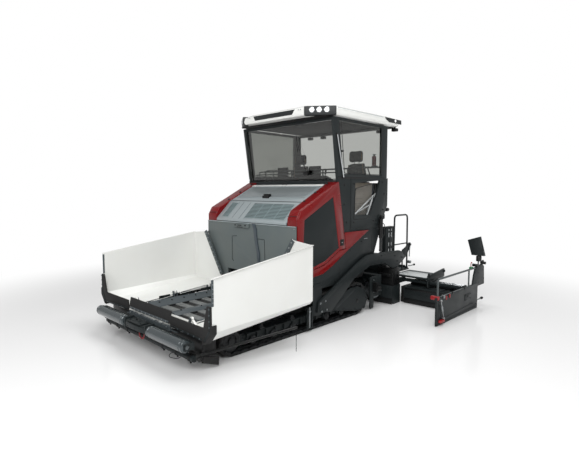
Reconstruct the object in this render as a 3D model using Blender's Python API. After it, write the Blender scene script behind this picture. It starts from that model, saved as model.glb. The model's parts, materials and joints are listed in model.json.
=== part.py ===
"""Tracked asphalt paver with an extending screed.

+X is the machine's left side, -Y its front (the hopper), +Z up, and the ground is Z = 0.
The origin is on the ground in the middle of the machine's length and width.
"""
import math

import bmesh
import bpy
from mathutils import Matrix, Vector

# Whole machine
BODY_HALF_WIDTH = 1.25
SKIN = 0.05
GAP = 0.0003
RUN_GAP = 0.006
OVERRUN = 0.02
SINK = 0.004

# Tracks
SPROCKET_RADIUS = 0.325
IDLER_RADIUS = 0.235
TRACK_OUTER = BODY_HALF_WIDTH
SHOE_WIDTH = 0.305
SHOE_COUNT = 46
PAD_HEIGHT = 0.025
CHAIN_DEPTH = 0.075
IDLER_Y = -2.38
SPROCKET_Y = 0.735
WHEEL_WIDTH = 0.11
ROLLER_RADIUS = 0.07
ROLLER_COUNT = 6
TRACK_BEAM_HEIGHT = 0.13
TRACK_BEAM_WIDTH = 0.16
CROSS_BEAM_FRONT_Y = -1.90
CROSS_BEAM_REAR_Y = 0.05
CROSS_BEAM_SIZE = 0.12
COVER_REAR_Y = 1.08
COVER_FRONT_Y = -0.15
COVER_LOW = 0.09
COVER_TOP = 0.58
COVER_THICK = 0.016
HUB_RADIUS = 0.11

# Chassis and conveyor tunnel
WING_REAR = -1.05
WING_LENGTH = 1.97
WING_FRONT = WING_REAR - WING_LENGTH
TUB_CLEARANCE = 0.345
TUB_HALF = TRACK_OUTER - SHOE_WIDTH - TUB_CLEARANCE
NOSE_LENGTH = 0.30
TUB_FRONT = WING_FRONT + NOSE_LENGTH
TUB_REAR = 1.30
TUB_LOW = 0.20
TUB_TOP = 0.40
TUNNEL_WALL = 0.035
DECK_LOW = 0.93
DECK_TOP = 1.03
DECK_FRONT = -0.985
NOSE_HALF = 0.28
NOSE_LOW = 0.24
ENGINE_HALF = 0.52
ENGINE_FRONT = -0.80
ENGINE_REAR = 0.06
ENGINE_TOP = 1.78
TANK_CLEARANCE = 0.08
TANK_HALF = BODY_HALF_WIDTH - SKIN - TANK_CLEARANCE
TANK_FRONT = 0.38
TANK_TOP = 1.85

# Hopper
HINGE_CLEARANCE = 0.095
HINGE_X = TRACK_OUTER - SHOE_WIDTH - HINGE_CLEARANCE
HINGE_Z = 0.58
HINGE_PIN = 0.014
LUG_RADIUS = 0.032
LUG_WIDTH = 0.035
LUG_FRONT = 0.22
LUG_REAR = 0.25
LUG_FIRST_Y = WING_FRONT + LUG_FRONT
LUG_COUNT = 3
LUG_PITCH = (WING_LENGTH - LUG_FRONT - LUG_REAR) / (LUG_COUNT - 1)
TAB_GAP = 0.012
NOSE_FRONT = WING_FRONT
WING_OUTER = 1.656
WING_SKIN = 0.012
WING_REACH = 0.045
WING_INNER = HINGE_X + WING_REACH
FLOOR_FRONT_Z = 0.455
FLOOR_REAR_Z = 0.615
FLOOR_INNER_REAR_Z = 0.60
FLOOR_EDGE_FRONT = 1.55
FLOOR_EDGE_REAR = 1.60
SIDE_LOW_FRONT = 0.594
SIDE_LOW_REAR = 0.673
SIDE_TOP_FRONT = 1.318
SIDE_TOP_REAR = 1.58
FLANGE = 0.024
FLANGE_HEIGHT = 0.02
REAR_CORNER_X = BODY_HALF_WIDTH
REAR_CORNER_Z = 1.62
REAR_LOW_X = 0.73
REAR_LOW_Z = 0.80
SEAL_WIDTH = 0.07
SEAL_THICK = 0.012
STRIP_INNER = 0.655
STRIP_LOW = 0.48
STRIP_TOP = 0.64
STRIP_UPRIGHT = 0.17
STRIP_UPRIGHT_TOP = 0.95
STRIP_THICK = 0.028
FLAP_HALF = 0.635
FLAP_LOW = 0.51
FLAP_HEIGHT = 0.18
FLAP_LEAN = 0.037
FLAP_THICK = 0.016
FLAP_REACH = 0.025
FLAP_FRONT = WING_FRONT - FLAP_REACH
GUARD_INNER = 0.585
GUARD_TOP = 0.525
GUARD_LOW = 0.462
GUARD_CENTRE = 0.14
GUARD_SETBACK = 0.40
GUARD_FRONT = WING_FRONT + GUARD_SETBACK
HOPPER_FLOOR_THICK = 0.012
SLAT_HALF = 0.57
SLAT_COUNT = 28
SLAT_BED = 0.012
SLAT_HEIGHT = 0.03
HOPPER_WALL_TOP = 1.845
HOPPER_WALL_INSET = 0.01
HOPPER_WALL_HALF = BODY_HALF_WIDTH - HOPPER_WALL_INSET
HOPPER_WALL_THICK = 0.02
HOPPER_WALL_LOW = 0.72

# Push rollers, front bar and guide rod
ROLLER_Z = 0.385
PUSH_RADIUS = 0.085
ROLLER_REACH = 0.195
ROLLER_Y = WING_FRONT - ROLLER_REACH
PUSH_INNER = 0.38
PUSH_OUTER = 1.34
PUSH_SHAFT = 0.03
PUSH_BEAM_SETBACK = 0.102
PUSH_BEAM_Y = ROLLER_Y + PUSH_BEAM_SETBACK
PUSH_BEAM_DEPTH = 0.022
PUSH_BEAM_HEIGHT = 0.10
PUSH_END = 0.02
PUSH_BLOCK_HALF = 0.32
PUSH_PIVOT_SETBACK = 0.06
PUSH_PIVOT_Y = WING_FRONT + PUSH_PIVOT_SETBACK
PUSH_PIVOT_RADIUS = 0.05
BAR_REACH = 0.055
BAR_Y = WING_FRONT - BAR_REACH
BAR_Z = 0.205
BAR_RADIUS = 0.022
BAR_HALF = 1.44
BAR_ARM_X = 0.50
ROD_INSET = 0.04
ROD_FOOT_Z = 0.25
ROD_CLEARANCE = 0.214
ROD_HEAD_Y = -1.65
ROD_HEAD_Z = 0.42
ROD_RADIUS = 0.012
CHAIN_RADIUS = 0.005
CHAIN_CLEARANCE = 0.03

# Hood
RAIL_INSET = 0.025
RAIL_WIDTH = 0.225
RAIL_OUTER = BODY_HALF_WIDTH - RAIL_INSET
RAIL_INNER = RAIL_OUTER - RAIL_WIDTH
DOOR_PROUD = 0.015
DOOR_OUTER = BODY_HALF_WIDTH + DOOR_PROUD
DOOR_PANEL_RECESS = 0.007
DOOR_PANEL_OUTER = DOOR_OUTER - DOOR_PANEL_RECESS
DOOR_PANEL_TOP = 2.33
HOOD_FRONT = -0.98
HOOD_CORNER_Y = -0.85
HOOD_CORNER_Z = 2.13
HOOD_SHOULDER_Z = 1.97
HOOD_REAR_Y = 0.11
HOOD_REAR_Z = 2.61
HOOD_FOOT_Y = 0.345
HOOD_FOOT_Z = 1.345
LID_LOW_Y = -0.965
LID_LOW_Z = 1.90
LID_STEP_Y = -0.615
LID_STEP_Z = 2.235
LID_TOP_Y = 0.05
LID_TOP_Z = 2.565
LID_THICK = 0.025
LID_CLEARANCE = 0.007
LID_HALF = RAIL_INNER - LID_CLEARANCE
LID_PIN = 0.009

# Body sides and trim
SIDE_FRONT = -0.985
SIDE_LOW = 0.70
SIDE_TOP = 1.66
SIDE_REAR = 1.53
TRIM_PROUD = 0.018
TRIM_OUTER = BODY_HALF_WIDTH + TRIM_PROUD
TRIM_REAR = 1.1016
BELLY_FRONT = 1.0098
BELLY_FRONT_Z = 0.91
BELLY_REAR_Z = 1.155
TRIM_LOW_FRONT = 0.93
TRIM_HIGH_FRONT = 1.06

# Cab
PLATFORM_TOP = 1.95
PLATFORM_REAR = 1.78
PANEL_SPLIT_Y = 0.495
PANEL_TOP = 2.66
PANEL_REAR = 1.78
PANEL_KNEE = 1.6376
PANEL_KNEE_RISE = 0.24
PANEL_REAR_RISE = 0.47
PANEL_PEAK_RISE = 0.04
SILL_RISE = 0.045
PILLAR_HEIGHT = 1.10
PILLAR_TOP_Z = PANEL_TOP + PILLAR_HEIGHT
PILLAR_TOP_Y = -0.04
PILLAR_FOOT_Y = 0.115
PILLAR_DEPTH = 0.15
PILLAR_WIDTH = 0.06
REAR_POST_FRONT = 1.54
REAR_POST_REAR = 1.74
HEADER = 0.05
GLASS = 0.008
EAVES = 0.05
ROOF_HALF = BODY_HALF_WIDTH + EAVES
ROOF_FRONT = -0.37
ROOF_REAR = 2.30
ROOF_SEAT = 0.03
ROOF_HEIGHT = 0.20
ROOF_WALL = 0.13
ROOF_CORNER = 0.44
ROOF_LOW = PILLAR_TOP_Z + ROOF_SEAT
ROOF_TOP = ROOF_LOW + ROOF_HEIGHT
ROOF_CROWN_LOW = ROOF_LOW + ROOF_WALL
ROOF_CORNER_X = ROOF_HALF - ROOF_CORNER
ROOF_CORNER_Y = -0.03
ROOF_LIP = 0.05
CONSOLE_HALF = 0.78
CONSOLE_FRONT = 0.34
CONSOLE_DEPTH = 0.22
CONSOLE_TOP = 2.60
SEAT_X = 0.78
SEAT_Y = 1.12
SEAT_WIDTH = 0.48
SEAT_DEPTH = 0.48
SEAT_CUSHION_TOP = 2.52
SEAT_CUSHION_THICK = 0.14
SEAT_BACK_HEIGHT = 0.50
SEAT_BACK_TOP = SEAT_CUSHION_TOP + SEAT_BACK_HEIGHT
SEAT_BACK_THICK = 0.12
HEADREST_HEIGHT = 0.26
HEADREST_TOP = SEAT_BACK_TOP + HEADREST_HEIGHT
HEADREST_WIDTH = 0.26
PEDESTAL_WIDTH = 0.34

# Tow arms and lift cylinders
ARM_CLEARANCE = 0.025
ARM_INNER = BODY_HALF_WIDTH + ARM_CLEARANCE
ARM_THICK = 0.04
ARM_FRONT = -0.526
ARM_LENGTH = 2.971
ARM_LOW = 0.248
ARM_HEIGHT = 0.926
TOW_Y = -0.44
TOW_Z = 0.375
TOW_PIN = 0.035
POST_FRONT = -0.60
POST_DEPTH = 0.24
POST_LOW = 0.24
POST_PROUD = 0.019
POST_OUTER = BODY_HALF_WIDTH + POST_PROUD
LIFT_X = ARM_INNER + ARM_THICK / 2
LIFT_Y = 1.48
LIFT_TOP_Z = 1.90
LIFT_EYE_Z = 1.22
LIFT_BARREL = 0.43
LIFT_RADIUS = 0.042
LIFT_ROD_RADIUS = 0.030
LIFT_EYE = 0.035
BRACKET_HEIGHT = 0.10
BRACKET_RISE = 0.018

# Augers
AUGER_Y = 1.56
AUGER_Z = 0.33
AUGER_RADIUS = 0.17
AUGER_SHAFT = 0.04
AUGER_INNER = 0.14
AUGER_OUTER = 1.20
AUGER_TURNS = 3
AUGER_STEPS = 14
AUGER_SIDES = 7
FLIGHT_THICK = 0.018
AUGER_BEAM_LOW = 0.56
AUGER_BEAM_TOP = 0.68
RETAINER_Y = 1.29
RETAINER_DEPTH = 0.12
RETAINER_TOP = 0.66
RETAINER_LOW = 0.02
RETAINER_THICK = 0.03
RETAINER_HALF = AUGER_OUTER + RETAINER_THICK

# Screed
BASE_HALF = 1.34
BASE_FRONT = 1.90
BASE_REAR = 2.22
BASE_TOP = 0.40
PLATE_CHAMFER = 0.06
HEAD_HALF = 1.0
HEAD_FRONT = 2.02
HEAD_REAR = 2.20
HEAD_TOP = 1.02
DECK_Z = 0.62
DECK_THICK = 0.03
DECK_DEPTH = 0.85
DECK_REAR = HEAD_REAR + DECK_DEPTH
EXT_INNER = 1.42
EXT_OUTER = 2.70
EXT_FRONT = 2.24
EXT_REAR = 2.92
EXT_TOP = 0.36
TUBE_Y = 2.40
TUBE_Z = 0.48
TUBE_INNER = 1.26
SLEEVE_HALF = 0.054
SLEEVE_WIDTH = 0.065
TUBE_RADIUS = 0.04
MID_INNER = 1.10
MID_OUTER = 1.96
MID_THICK = 0.03
TRAY_FRONT = 2.32
TRAY_REAR = DECK_REAR
TRAY_LIP = 0.05
GATE_THICK = 0.035
GATE_OUTER = EXT_OUTER + GATE_THICK
GATE_FRONT = 1.10
GATE_REAR = 2.95
GATE_TOP = 0.46
GATE_BEAM = 0.06
GATE_RAIL_Z = 0.85
GATE_RAIL_SHARE = 0.4
GATE_POST_SHARE = 0.3846153846
TOWER_FRONT = 2.68
TOWER_LENGTH = 0.62
TOWER_REAR = TOWER_FRONT + TOWER_LENGTH
TOWER_TOP = 0.90
POST_Z = 1.10
DISPLAY_TOP = 1.52
DISPLAY_WIDTH = 0.26
DISPLAY_THICK = 0.04
BOX_X = 0.92
BOX_WIDTH = 0.12
BOX_FRONT = 2.22
BOX_REAR = 2.55
BOX_LOW = 1.02
BOX_TOP = 1.62
HANDRAIL_X = 1.05
HANDRAIL_FRONT = 2.40
HANDRAIL_LENGTH = 0.60
HANDRAIL_REAR = HANDRAIL_FRONT + HANDRAIL_LENGTH
HANDRAIL_TOP = 1.89
HANDRAIL_RADIUS = 0.018

ROUND = 20
SMALL_ROUND = 12
FLAT_ANGLE = math.radians(35.0)

# Shares of the sizes that the outlines follow: (along, up)
COVER_SHARES = ((0.70, 1.00), (0.91, 0.81), (1.0, 0.39), (0.92, 0.02), (0.67, 0.0), (0.0, 0.34),
                (0.23, 0.84))
ARM_SHARES = ((0.0, 0.06), (0.13, 0.0), (0.365, 0.555), (0.54, 0.75), (0.73, 0.735), (0.83, 0.58),
              (0.90, 0.58), (1.0, 0.79), (0.96, 0.93), (0.915, 0.97), (0.55, 1.0), (0.50, 0.985),
              (0.40, 0.86), (0.01, 0.25))
PANEL_SHARES = ((0.09, 0.025), (0.30, 0.025), (0.54, 0.085), (0.84, 0.245), (0.706, 1.0), (0.126, 0.69))
SWOOSH_SHARES = ((0.0, 0.0), (0.30, 0.0), (0.54, 0.19), (0.86, 0.97), (1.0, 1.0))
TRIM_LOW_SHARES = ((0.0, 0.0), (0.18, 0.0), (0.32, 0.04), (0.44, 0.19), (0.66, 0.52), (1.0, 1.0))
WINDOW_SHARES = ((0.11, 0.93), (0.78, 0.99), (0.71, 0.76), (0.50, 0.30), (0.11, 0.31))
PANEL_INSET_SHARE = 0.0006
EAR_SHARE = 0.7
SHOE_SHARES = ((0.04, 0), (0.96, 0), (0.96, 1), (1.04, 1))
SLAT_SHARE = 0.62
SLAT_END_SHARE = 0.98
GUARD_SHARES = ((0.0, 0.0), (1.0, 0.0), (1.0, 0.8), (0.85, 1.0), (0.15, 1.0), (0.0, 0.5))
SEAL_INNER_SHARE = 0.35
SEAL_OUTER_SHARE = 0.65
TOWER_SHARES = ((0.0, 0.0), (1.0, 0.0), (0.94, 0.85), (0.80, 1.0), (0.25, 0.93), (0.12, 0.55))

COLOURS = {
    "off_white": (0.78, 0.79, 0.77, 0.0, 0.35),
    "red": (0.27, 0.006, 0.01, 0.0, 0.3),
    "anthracite": (0.03, 0.036, 0.038, 0.1, 0.45),
    "mid_grey": (0.14, 0.16, 0.165, 0.2, 0.5),
    "silver": (0.47, 0.52, 0.53, 0.6, 0.35),
    "black": (0.012, 0.012, 0.013, 0.0, 0.6),
    "rubber": (0.018, 0.018, 0.018, 0.0, 0.8),
    "steel": (0.4, 0.4, 0.4, 1.0, 0.3),
    "glass": (0.35, 0.38, 0.38, 0.0, 0.05),
    "seat": (0.03, 0.033, 0.03, 0.0, 0.9),
}


def clear_scene():
    """Remove everything that a new file starts with."""
    for item in list(bpy.data.objects):
        bpy.data.objects.remove(item, do_unlink=True)


def make_collection(name):
    """Add a collection to the scene."""
    group = bpy.data.collections.new(name)
    bpy.context.scene.collection.children.link(group)
    return group


def make_material(name):
    """Make one of the named colours."""
    red, green, blue, metallic, roughness = COLOURS[name]
    material = bpy.data.materials.new(name)
    material.use_nodes = True
    shader = material.node_tree.nodes["Principled BSDF"]
    shader.inputs["Base Color"].default_value = (red, green, blue, 1.0)
    shader.inputs["Metallic"].default_value = metallic
    shader.inputs["Roughness"].default_value = roughness
    return material


def new_object(mesh, name="piece"):
    """Put a mesh or curve in the scene."""
    piece = bpy.data.objects.new(name, mesh)
    bpy.context.scene.collection.objects.link(piece)
    return piece


def mesh_from(builder):
    """Make a mesh by a function that fills a bmesh."""
    mesh = bpy.data.meshes.new("piece")
    shape = bmesh.new()
    builder(shape)
    shape.to_mesh(mesh)
    shape.free()
    return mesh


def block(low, high):
    """A box between two corners."""
    size = Vector(high) - Vector(low)
    middle = (Vector(high) + Vector(low)) / 2

    def build(shape):
        bmesh.ops.create_cube(shape, size=1.0)
        bmesh.ops.scale(shape, vec=size, verts=shape.verts)
        bmesh.ops.translate(shape, vec=middle, verts=shape.verts)

    return new_object(mesh_from(build))


def rod(start, end, radius, sides=SMALL_ROUND):
    """A round bar between two points."""
    along = Vector(end) - Vector(start)
    turn = Vector((0.0, 0.0, 1.0)).rotation_difference(along).to_matrix().to_4x4()
    place = Matrix.Translation((Vector(start) + Vector(end)) / 2) @ turn

    def build(shape):
        bmesh.ops.create_cone(shape, cap_ends=True, segments=sides, radius1=radius, radius2=radius,
                              depth=along.length, matrix=place)

    return new_object(mesh_from(build))


def bore_radius(radius, sides=SMALL_ROUND):
    """How wide a many-sided hole is, for a pin of this radius to turn in it."""
    return radius / math.cos(math.pi / sides) + GAP


def evaluated_mesh(piece):
    """The mesh that a piece has after its modifiers."""
    bpy.context.view_layer.update()
    return bpy.data.meshes.new_from_object(piece.evaluated_get(bpy.context.evaluated_depsgraph_get()))


def weld(mesh):
    """Merge doubled points and face outwards."""
    shape = bmesh.new()
    shape.from_mesh(mesh)
    bmesh.ops.remove_doubles(shape, verts=shape.verts, dist=GAP / 10)
    bmesh.ops.recalc_face_normals(shape, faces=shape.faces)
    shape.to_mesh(mesh)
    shape.free()


def curve_to_piece(curve, place):
    """Turn a filled curve into a placed mesh piece."""
    source = new_object(curve)
    mesh = evaluated_mesh(source)
    bpy.data.objects.remove(source, do_unlink=True)
    weld(mesh)
    mesh.transform(place)
    if place.determinant() < 0:
        mesh.flip_normals()
    mesh.materials.clear()
    return new_object(mesh)


PLANES = {
    "X": Matrix(((0, 0, 1, 0), (1, 0, 0, 0), (0, 1, 0, 0), (0, 0, 0, 1))),
    "Y": Matrix(((1, 0, 0, 0), (0, 0, 1, 0), (0, 1, 0, 0), (0, 0, 0, 1))),
    "Z": Matrix.Identity(4),
}


def prism(normal, low, high, *outlines):
    """A flat outline, with any holes after it, drawn out along one axis from low to high."""
    curve = bpy.data.curves.new("outline", "CURVE")
    curve.dimensions = "2D"
    curve.fill_mode = "BOTH"
    curve.extrude = (high - low) / 2
    for outline in outlines:
        spline = curve.splines.new("POLY")
        spline.points.add(len(outline) - 1)
        for point, (across, up) in zip(spline.points, outline):
            point.co = (across, up, 0.0, 1.0)
        spline.use_cyclic_u = True
    return curve_to_piece(curve, PLANES[normal] @ Matrix.Translation((0.0, 0.0, (high + low) / 2)))


def pipe(points, radius, resolution=2):
    """A bent tube along a run of points."""
    curve = bpy.data.curves.new("path", "CURVE")
    curve.dimensions = "3D"
    curve.bevel_depth = radius
    curve.bevel_resolution = resolution
    curve.use_fill_caps = True
    spline = curve.splines.new("POLY")
    spline.points.add(len(points) - 1)
    for point, place in zip(spline.points, points):
        point.co = (*place, 1.0)
    return curve_to_piece(curve, Matrix.Identity(4))


def loft(sections):
    """A closed body through rings of equal length, given as lists of points."""
    def build(shape):
        rings = [[shape.verts.new(point) for point in section] for section in sections]
        count = len(rings[0])
        for near, far in zip(rings, rings[1:]):
            for index in range(count):
                after = (index + 1) % count
                shape.faces.new((near[index], near[after], far[after], far[index]))
        shape.faces.new(rings[0])
        shape.faces.new(rings[-1])
        bmesh.ops.recalc_face_normals(shape, faces=shape.faces)

    return new_object(mesh_from(build))


def circle(centre, radius, sides=ROUND):
    """Outline points round a centre."""
    turns = [2 * math.pi * step / sides for step in range(sides)]
    return [(centre[0] + radius * math.cos(turn), centre[1] + radius * math.sin(turn)) for turn in turns]


def spread(shares, start, end, low, high):
    """Outline points from shares of a length and a height."""
    return [(start + across * (end - start), low + up * (high - low)) for across, up in shares]


def boolean(base, others, operation, solver="EXACT"):
    """Apply one boolean operation after another and remove the tools."""
    for other in others:
        step = base.modifiers.new(operation, "BOOLEAN")
        step.operation = operation
        step.solver = solver
        step.object = other
    mesh = evaluated_mesh(base)
    base.modifiers.clear()
    base.data = mesh
    for other in others:
        bpy.data.objects.remove(other, do_unlink=True)
    return base


def joined(*pieces, solver="EXACT"):
    """The union of pieces that overlap."""
    return boolean(pieces[0], pieces[1:], "UNION", solver)


def cut(base, *cutters, solver="EXACT"):
    """A piece less its cutters."""
    return boolean(base, cutters, "DIFFERENCE", solver)


def mirrored(piece):
    """The same piece on the machine's other side."""
    mesh = piece.data.copy()
    mesh.transform(Matrix.Scale(-1.0, 4, (1.0, 0.0, 0.0)))
    mesh.flip_normals()
    return new_object(mesh)


class Machine:
    """Holds the collection, the materials and the pivots that the pieces hang from."""

    def __init__(self, name):
        """Start the assembly with its root."""
        self.group = make_collection(name)
        self.materials = {}
        self.root = self.pivot("paver_origin", (0.0, 0.0, 0.0), None)

    def pivot(self, name, place, parent):
        """Add an empty on a joint's axis."""
        empty = bpy.data.objects.new(name, None)
        self.group.objects.link(empty)
        empty.parent = parent
        base = parent.matrix_world.translation if parent else Vector((0.0, 0.0, 0.0))
        empty.location = Vector(place) - base
        bpy.context.view_layer.update()
        return empty

    def add(self, piece, name, material, pivot=None):
        """Name a piece, colour it and hang it on its pivot or on the root."""
        if material not in self.materials:
            self.materials[material] = make_material(material)
        parent = pivot or self.root
        centre = sum((Vector(corner) for corner in piece.bound_box), Vector()) / 8
        base = parent.matrix_world.translation
        place = base if pivot else centre
        piece.data.transform(Matrix.Translation(-place))
        piece.name = name
        piece.data.name = name
        piece.parent = parent
        piece.location = place - base
        piece.data.materials.clear()
        piece.data.materials.append(self.materials[material])
        piece.data.shade_smooth()
        piece.data.set_sharp_from_angle(angle=FLAT_ANGLE)
        for owner in list(piece.users_collection):
            owner.objects.unlink(piece)
        self.group.objects.link(piece)

    def add_pair(self, piece, name, material, pivots=(None, None)):
        """Add a left piece and its mirrored twin."""
        twin = mirrored(piece)
        self.add(piece, name + "_left", material, pivots[0])
        self.add(twin, name + "_right", material, pivots[1])


def track_turns():
    """The direction of the top run's normal, which is where each end wheel's arc meets it."""
    run = Vector((SPROCKET_Y - IDLER_Y, SPROCKET_RADIUS - IDLER_RADIUS))
    return math.atan2(run.y, run.x) + math.acos((IDLER_RADIUS - SPROCKET_RADIUS) / run.length)


def track_path(distance):
    """Wheel centre or ground point, outward direction and reach at a distance along the loop."""
    run = SPROCKET_Y - IDLER_Y
    top = track_turns()
    arc_idler = IDLER_RADIUS * (1.5 * math.pi - top)
    arc_sprocket = SPROCKET_RADIUS * (top + math.pi / 2)
    distance %= 2 * run + arc_idler + arc_sprocket
    if distance < run:
        return (SPROCKET_Y - distance, IDLER_RADIUS), -math.pi / 2, IDLER_RADIUS
    distance -= run
    if distance < arc_idler:
        return (IDLER_Y, IDLER_RADIUS), 1.5 * math.pi - distance / IDLER_RADIUS, IDLER_RADIUS
    distance -= arc_idler
    if distance < run:
        along = (math.sin(top), -math.cos(top))
        return (IDLER_Y + along[0] * distance, IDLER_RADIUS + along[1] * distance), top, IDLER_RADIUS
    distance -= run
    return (SPROCKET_Y, SPROCKET_RADIUS), top - distance / SPROCKET_RADIUS, SPROCKET_RADIUS


def track_length():
    """The loop's outer length."""
    top = track_turns()
    run = SPROCKET_Y - IDLER_Y
    return 2 * run + IDLER_RADIUS * (1.5 * math.pi - top) + SPROCKET_RADIUS * (top + math.pi / 2)


def loop_point(distance, depth):
    """The point at a distance along the loop and a depth under its outer face."""
    (across, up), turn, reach = track_path(distance)
    return (across + math.cos(turn) * (reach - depth), up + math.sin(turn) * (reach - depth))


def track_loop():
    """One track with its shoes in its outline."""
    pitch = track_length() / SHOE_COUNT
    outer = []
    for shoe in range(SHOE_COUNT):
        for share, low in SHOE_SHARES:
            outer.append(loop_point((shoe + share) * pitch, PAD_HEIGHT * low))
    inner = [loop_point(step * pitch / 2, CHAIN_DEPTH) for step in range(2 * SHOE_COUNT)]
    return prism("X", TRACK_OUTER - SHOE_WIDTH, TRACK_OUTER, outer, inner)


def build_tracks(machine):
    """Tracks, beams, wheels, rollers and drive covers."""
    middle = TRACK_OUTER - SHOE_WIDTH / 2
    low = CHAIN_DEPTH + ROLLER_RADIUS
    machine.add_pair(track_loop(), "track", "rubber")
    beam = block((middle - TRACK_BEAM_WIDTH / 2, IDLER_Y, low),
                 (middle + TRACK_BEAM_WIDTH / 2, SPROCKET_Y, low + TRACK_BEAM_HEIGHT))
    pieces = [beam]
    for place, radius in ((IDLER_Y, IDLER_RADIUS), (SPROCKET_Y, SPROCKET_RADIUS)):
        pieces.append(rod((middle - WHEEL_WIDTH, place, radius), (middle + WHEEL_WIDTH, place, radius),
                          radius - CHAIN_DEPTH - SINK, ROUND))
    step = (SPROCKET_Y - IDLER_Y) / (ROLLER_COUNT + 1)
    for index in range(ROLLER_COUNT):
        place = IDLER_Y + (index + 1) * step
        centre = CHAIN_DEPTH + ROLLER_RADIUS + GAP
        pieces.append(rod((middle - WHEEL_WIDTH, place, centre), (middle + WHEEL_WIDTH, place, centre),
                          ROLLER_RADIUS))
    for place in (CROSS_BEAM_FRONT_Y, CROSS_BEAM_REAR_Y):
        pieces.append(block((TUB_HALF + GAP, place - CROSS_BEAM_SIZE / 2, low + SINK),
                            (middle, place + CROSS_BEAM_SIZE / 2, low + CROSS_BEAM_SIZE)))
    inner = TRACK_OUTER + GAP
    cover = prism("X", inner, inner + COVER_THICK,
                  spread(COVER_SHARES, COVER_FRONT_Y, COVER_REAR_Y, COVER_LOW, COVER_TOP))
    hub = rod((middle, SPROCKET_Y, SPROCKET_RADIUS), (inner + COVER_THICK / 2, SPROCKET_Y, SPROCKET_RADIUS),
              HUB_RADIUS)
    machine.add_pair(joined(*pieces, hub, cover), "track_frame", "anthracite")


def build_chassis(machine):
    """Tub, tunnel walls, deck, body sides, tow posts and the engine."""
    tub = block((-TUB_HALF, TUB_FRONT, TUB_LOW), (TUB_HALF, TUB_REAR, TUB_TOP))
    nose = block((-NOSE_HALF, NOSE_FRONT, NOSE_LOW),
                 (NOSE_HALF, TUB_FRONT + SINK, ROLLER_Z - PUSH_BEAM_HEIGHT / 2 - RUN_GAP))
    pin = rod((0.0, PUSH_PIVOT_Y, NOSE_LOW + SINK), (0.0, PUSH_PIVOT_Y, TUB_TOP - RUN_GAP),
              PUSH_PIVOT_RADIUS, ROUND)
    pieces = [tub, nose, pin]
    for side in (-1, 1):
        ends = sorted((side * TUB_HALF, side * (TUB_HALF - TUNNEL_WALL)))
        pieces.append(block((ends[0] - side * SINK, DECK_FRONT, TUB_TOP - SINK),
                            (ends[1] - side * SINK, TUB_REAR - SINK, DECK_LOW + SINK)))
    width = BODY_HALF_WIDTH - SKIN - GAP
    pieces.append(block((-width, DECK_FRONT + SINK, DECK_LOW), (width, TUB_REAR + SINK, DECK_TOP)))
    side = body_side()
    post = block((BODY_HALF_WIDTH + 2 * GAP, POST_FRONT, POST_LOW),
                 (POST_OUTER - GAP, POST_FRONT + POST_DEPTH, SIDE_LOW + OVERRUN))
    hanger = block((BODY_HALF_WIDTH - SINK, POST_FRONT + SINK, SIDE_LOW + SINK),
                   (POST_OUTER, POST_FRONT + POST_DEPTH - SINK, SIDE_LOW + 5 * OVERRUN))
    pin = rod((BODY_HALF_WIDTH + SINK, TOW_Y, TOW_Z), (ARM_INNER + ARM_THICK + SINK, TOW_Y, TOW_Z), TOW_PIN,
              ROUND)
    for part in (side, post, hanger, pin):
        pieces += [part, mirrored(part)]
    machine.add(joined(*pieces), "chassis_frame", "anthracite")
    machine.add(block((-ENGINE_HALF, ENGINE_FRONT, DECK_TOP + GAP), (ENGINE_HALF, ENGINE_REAR, ENGINE_TOP)),
                "engine_block", "mid_grey")


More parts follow.
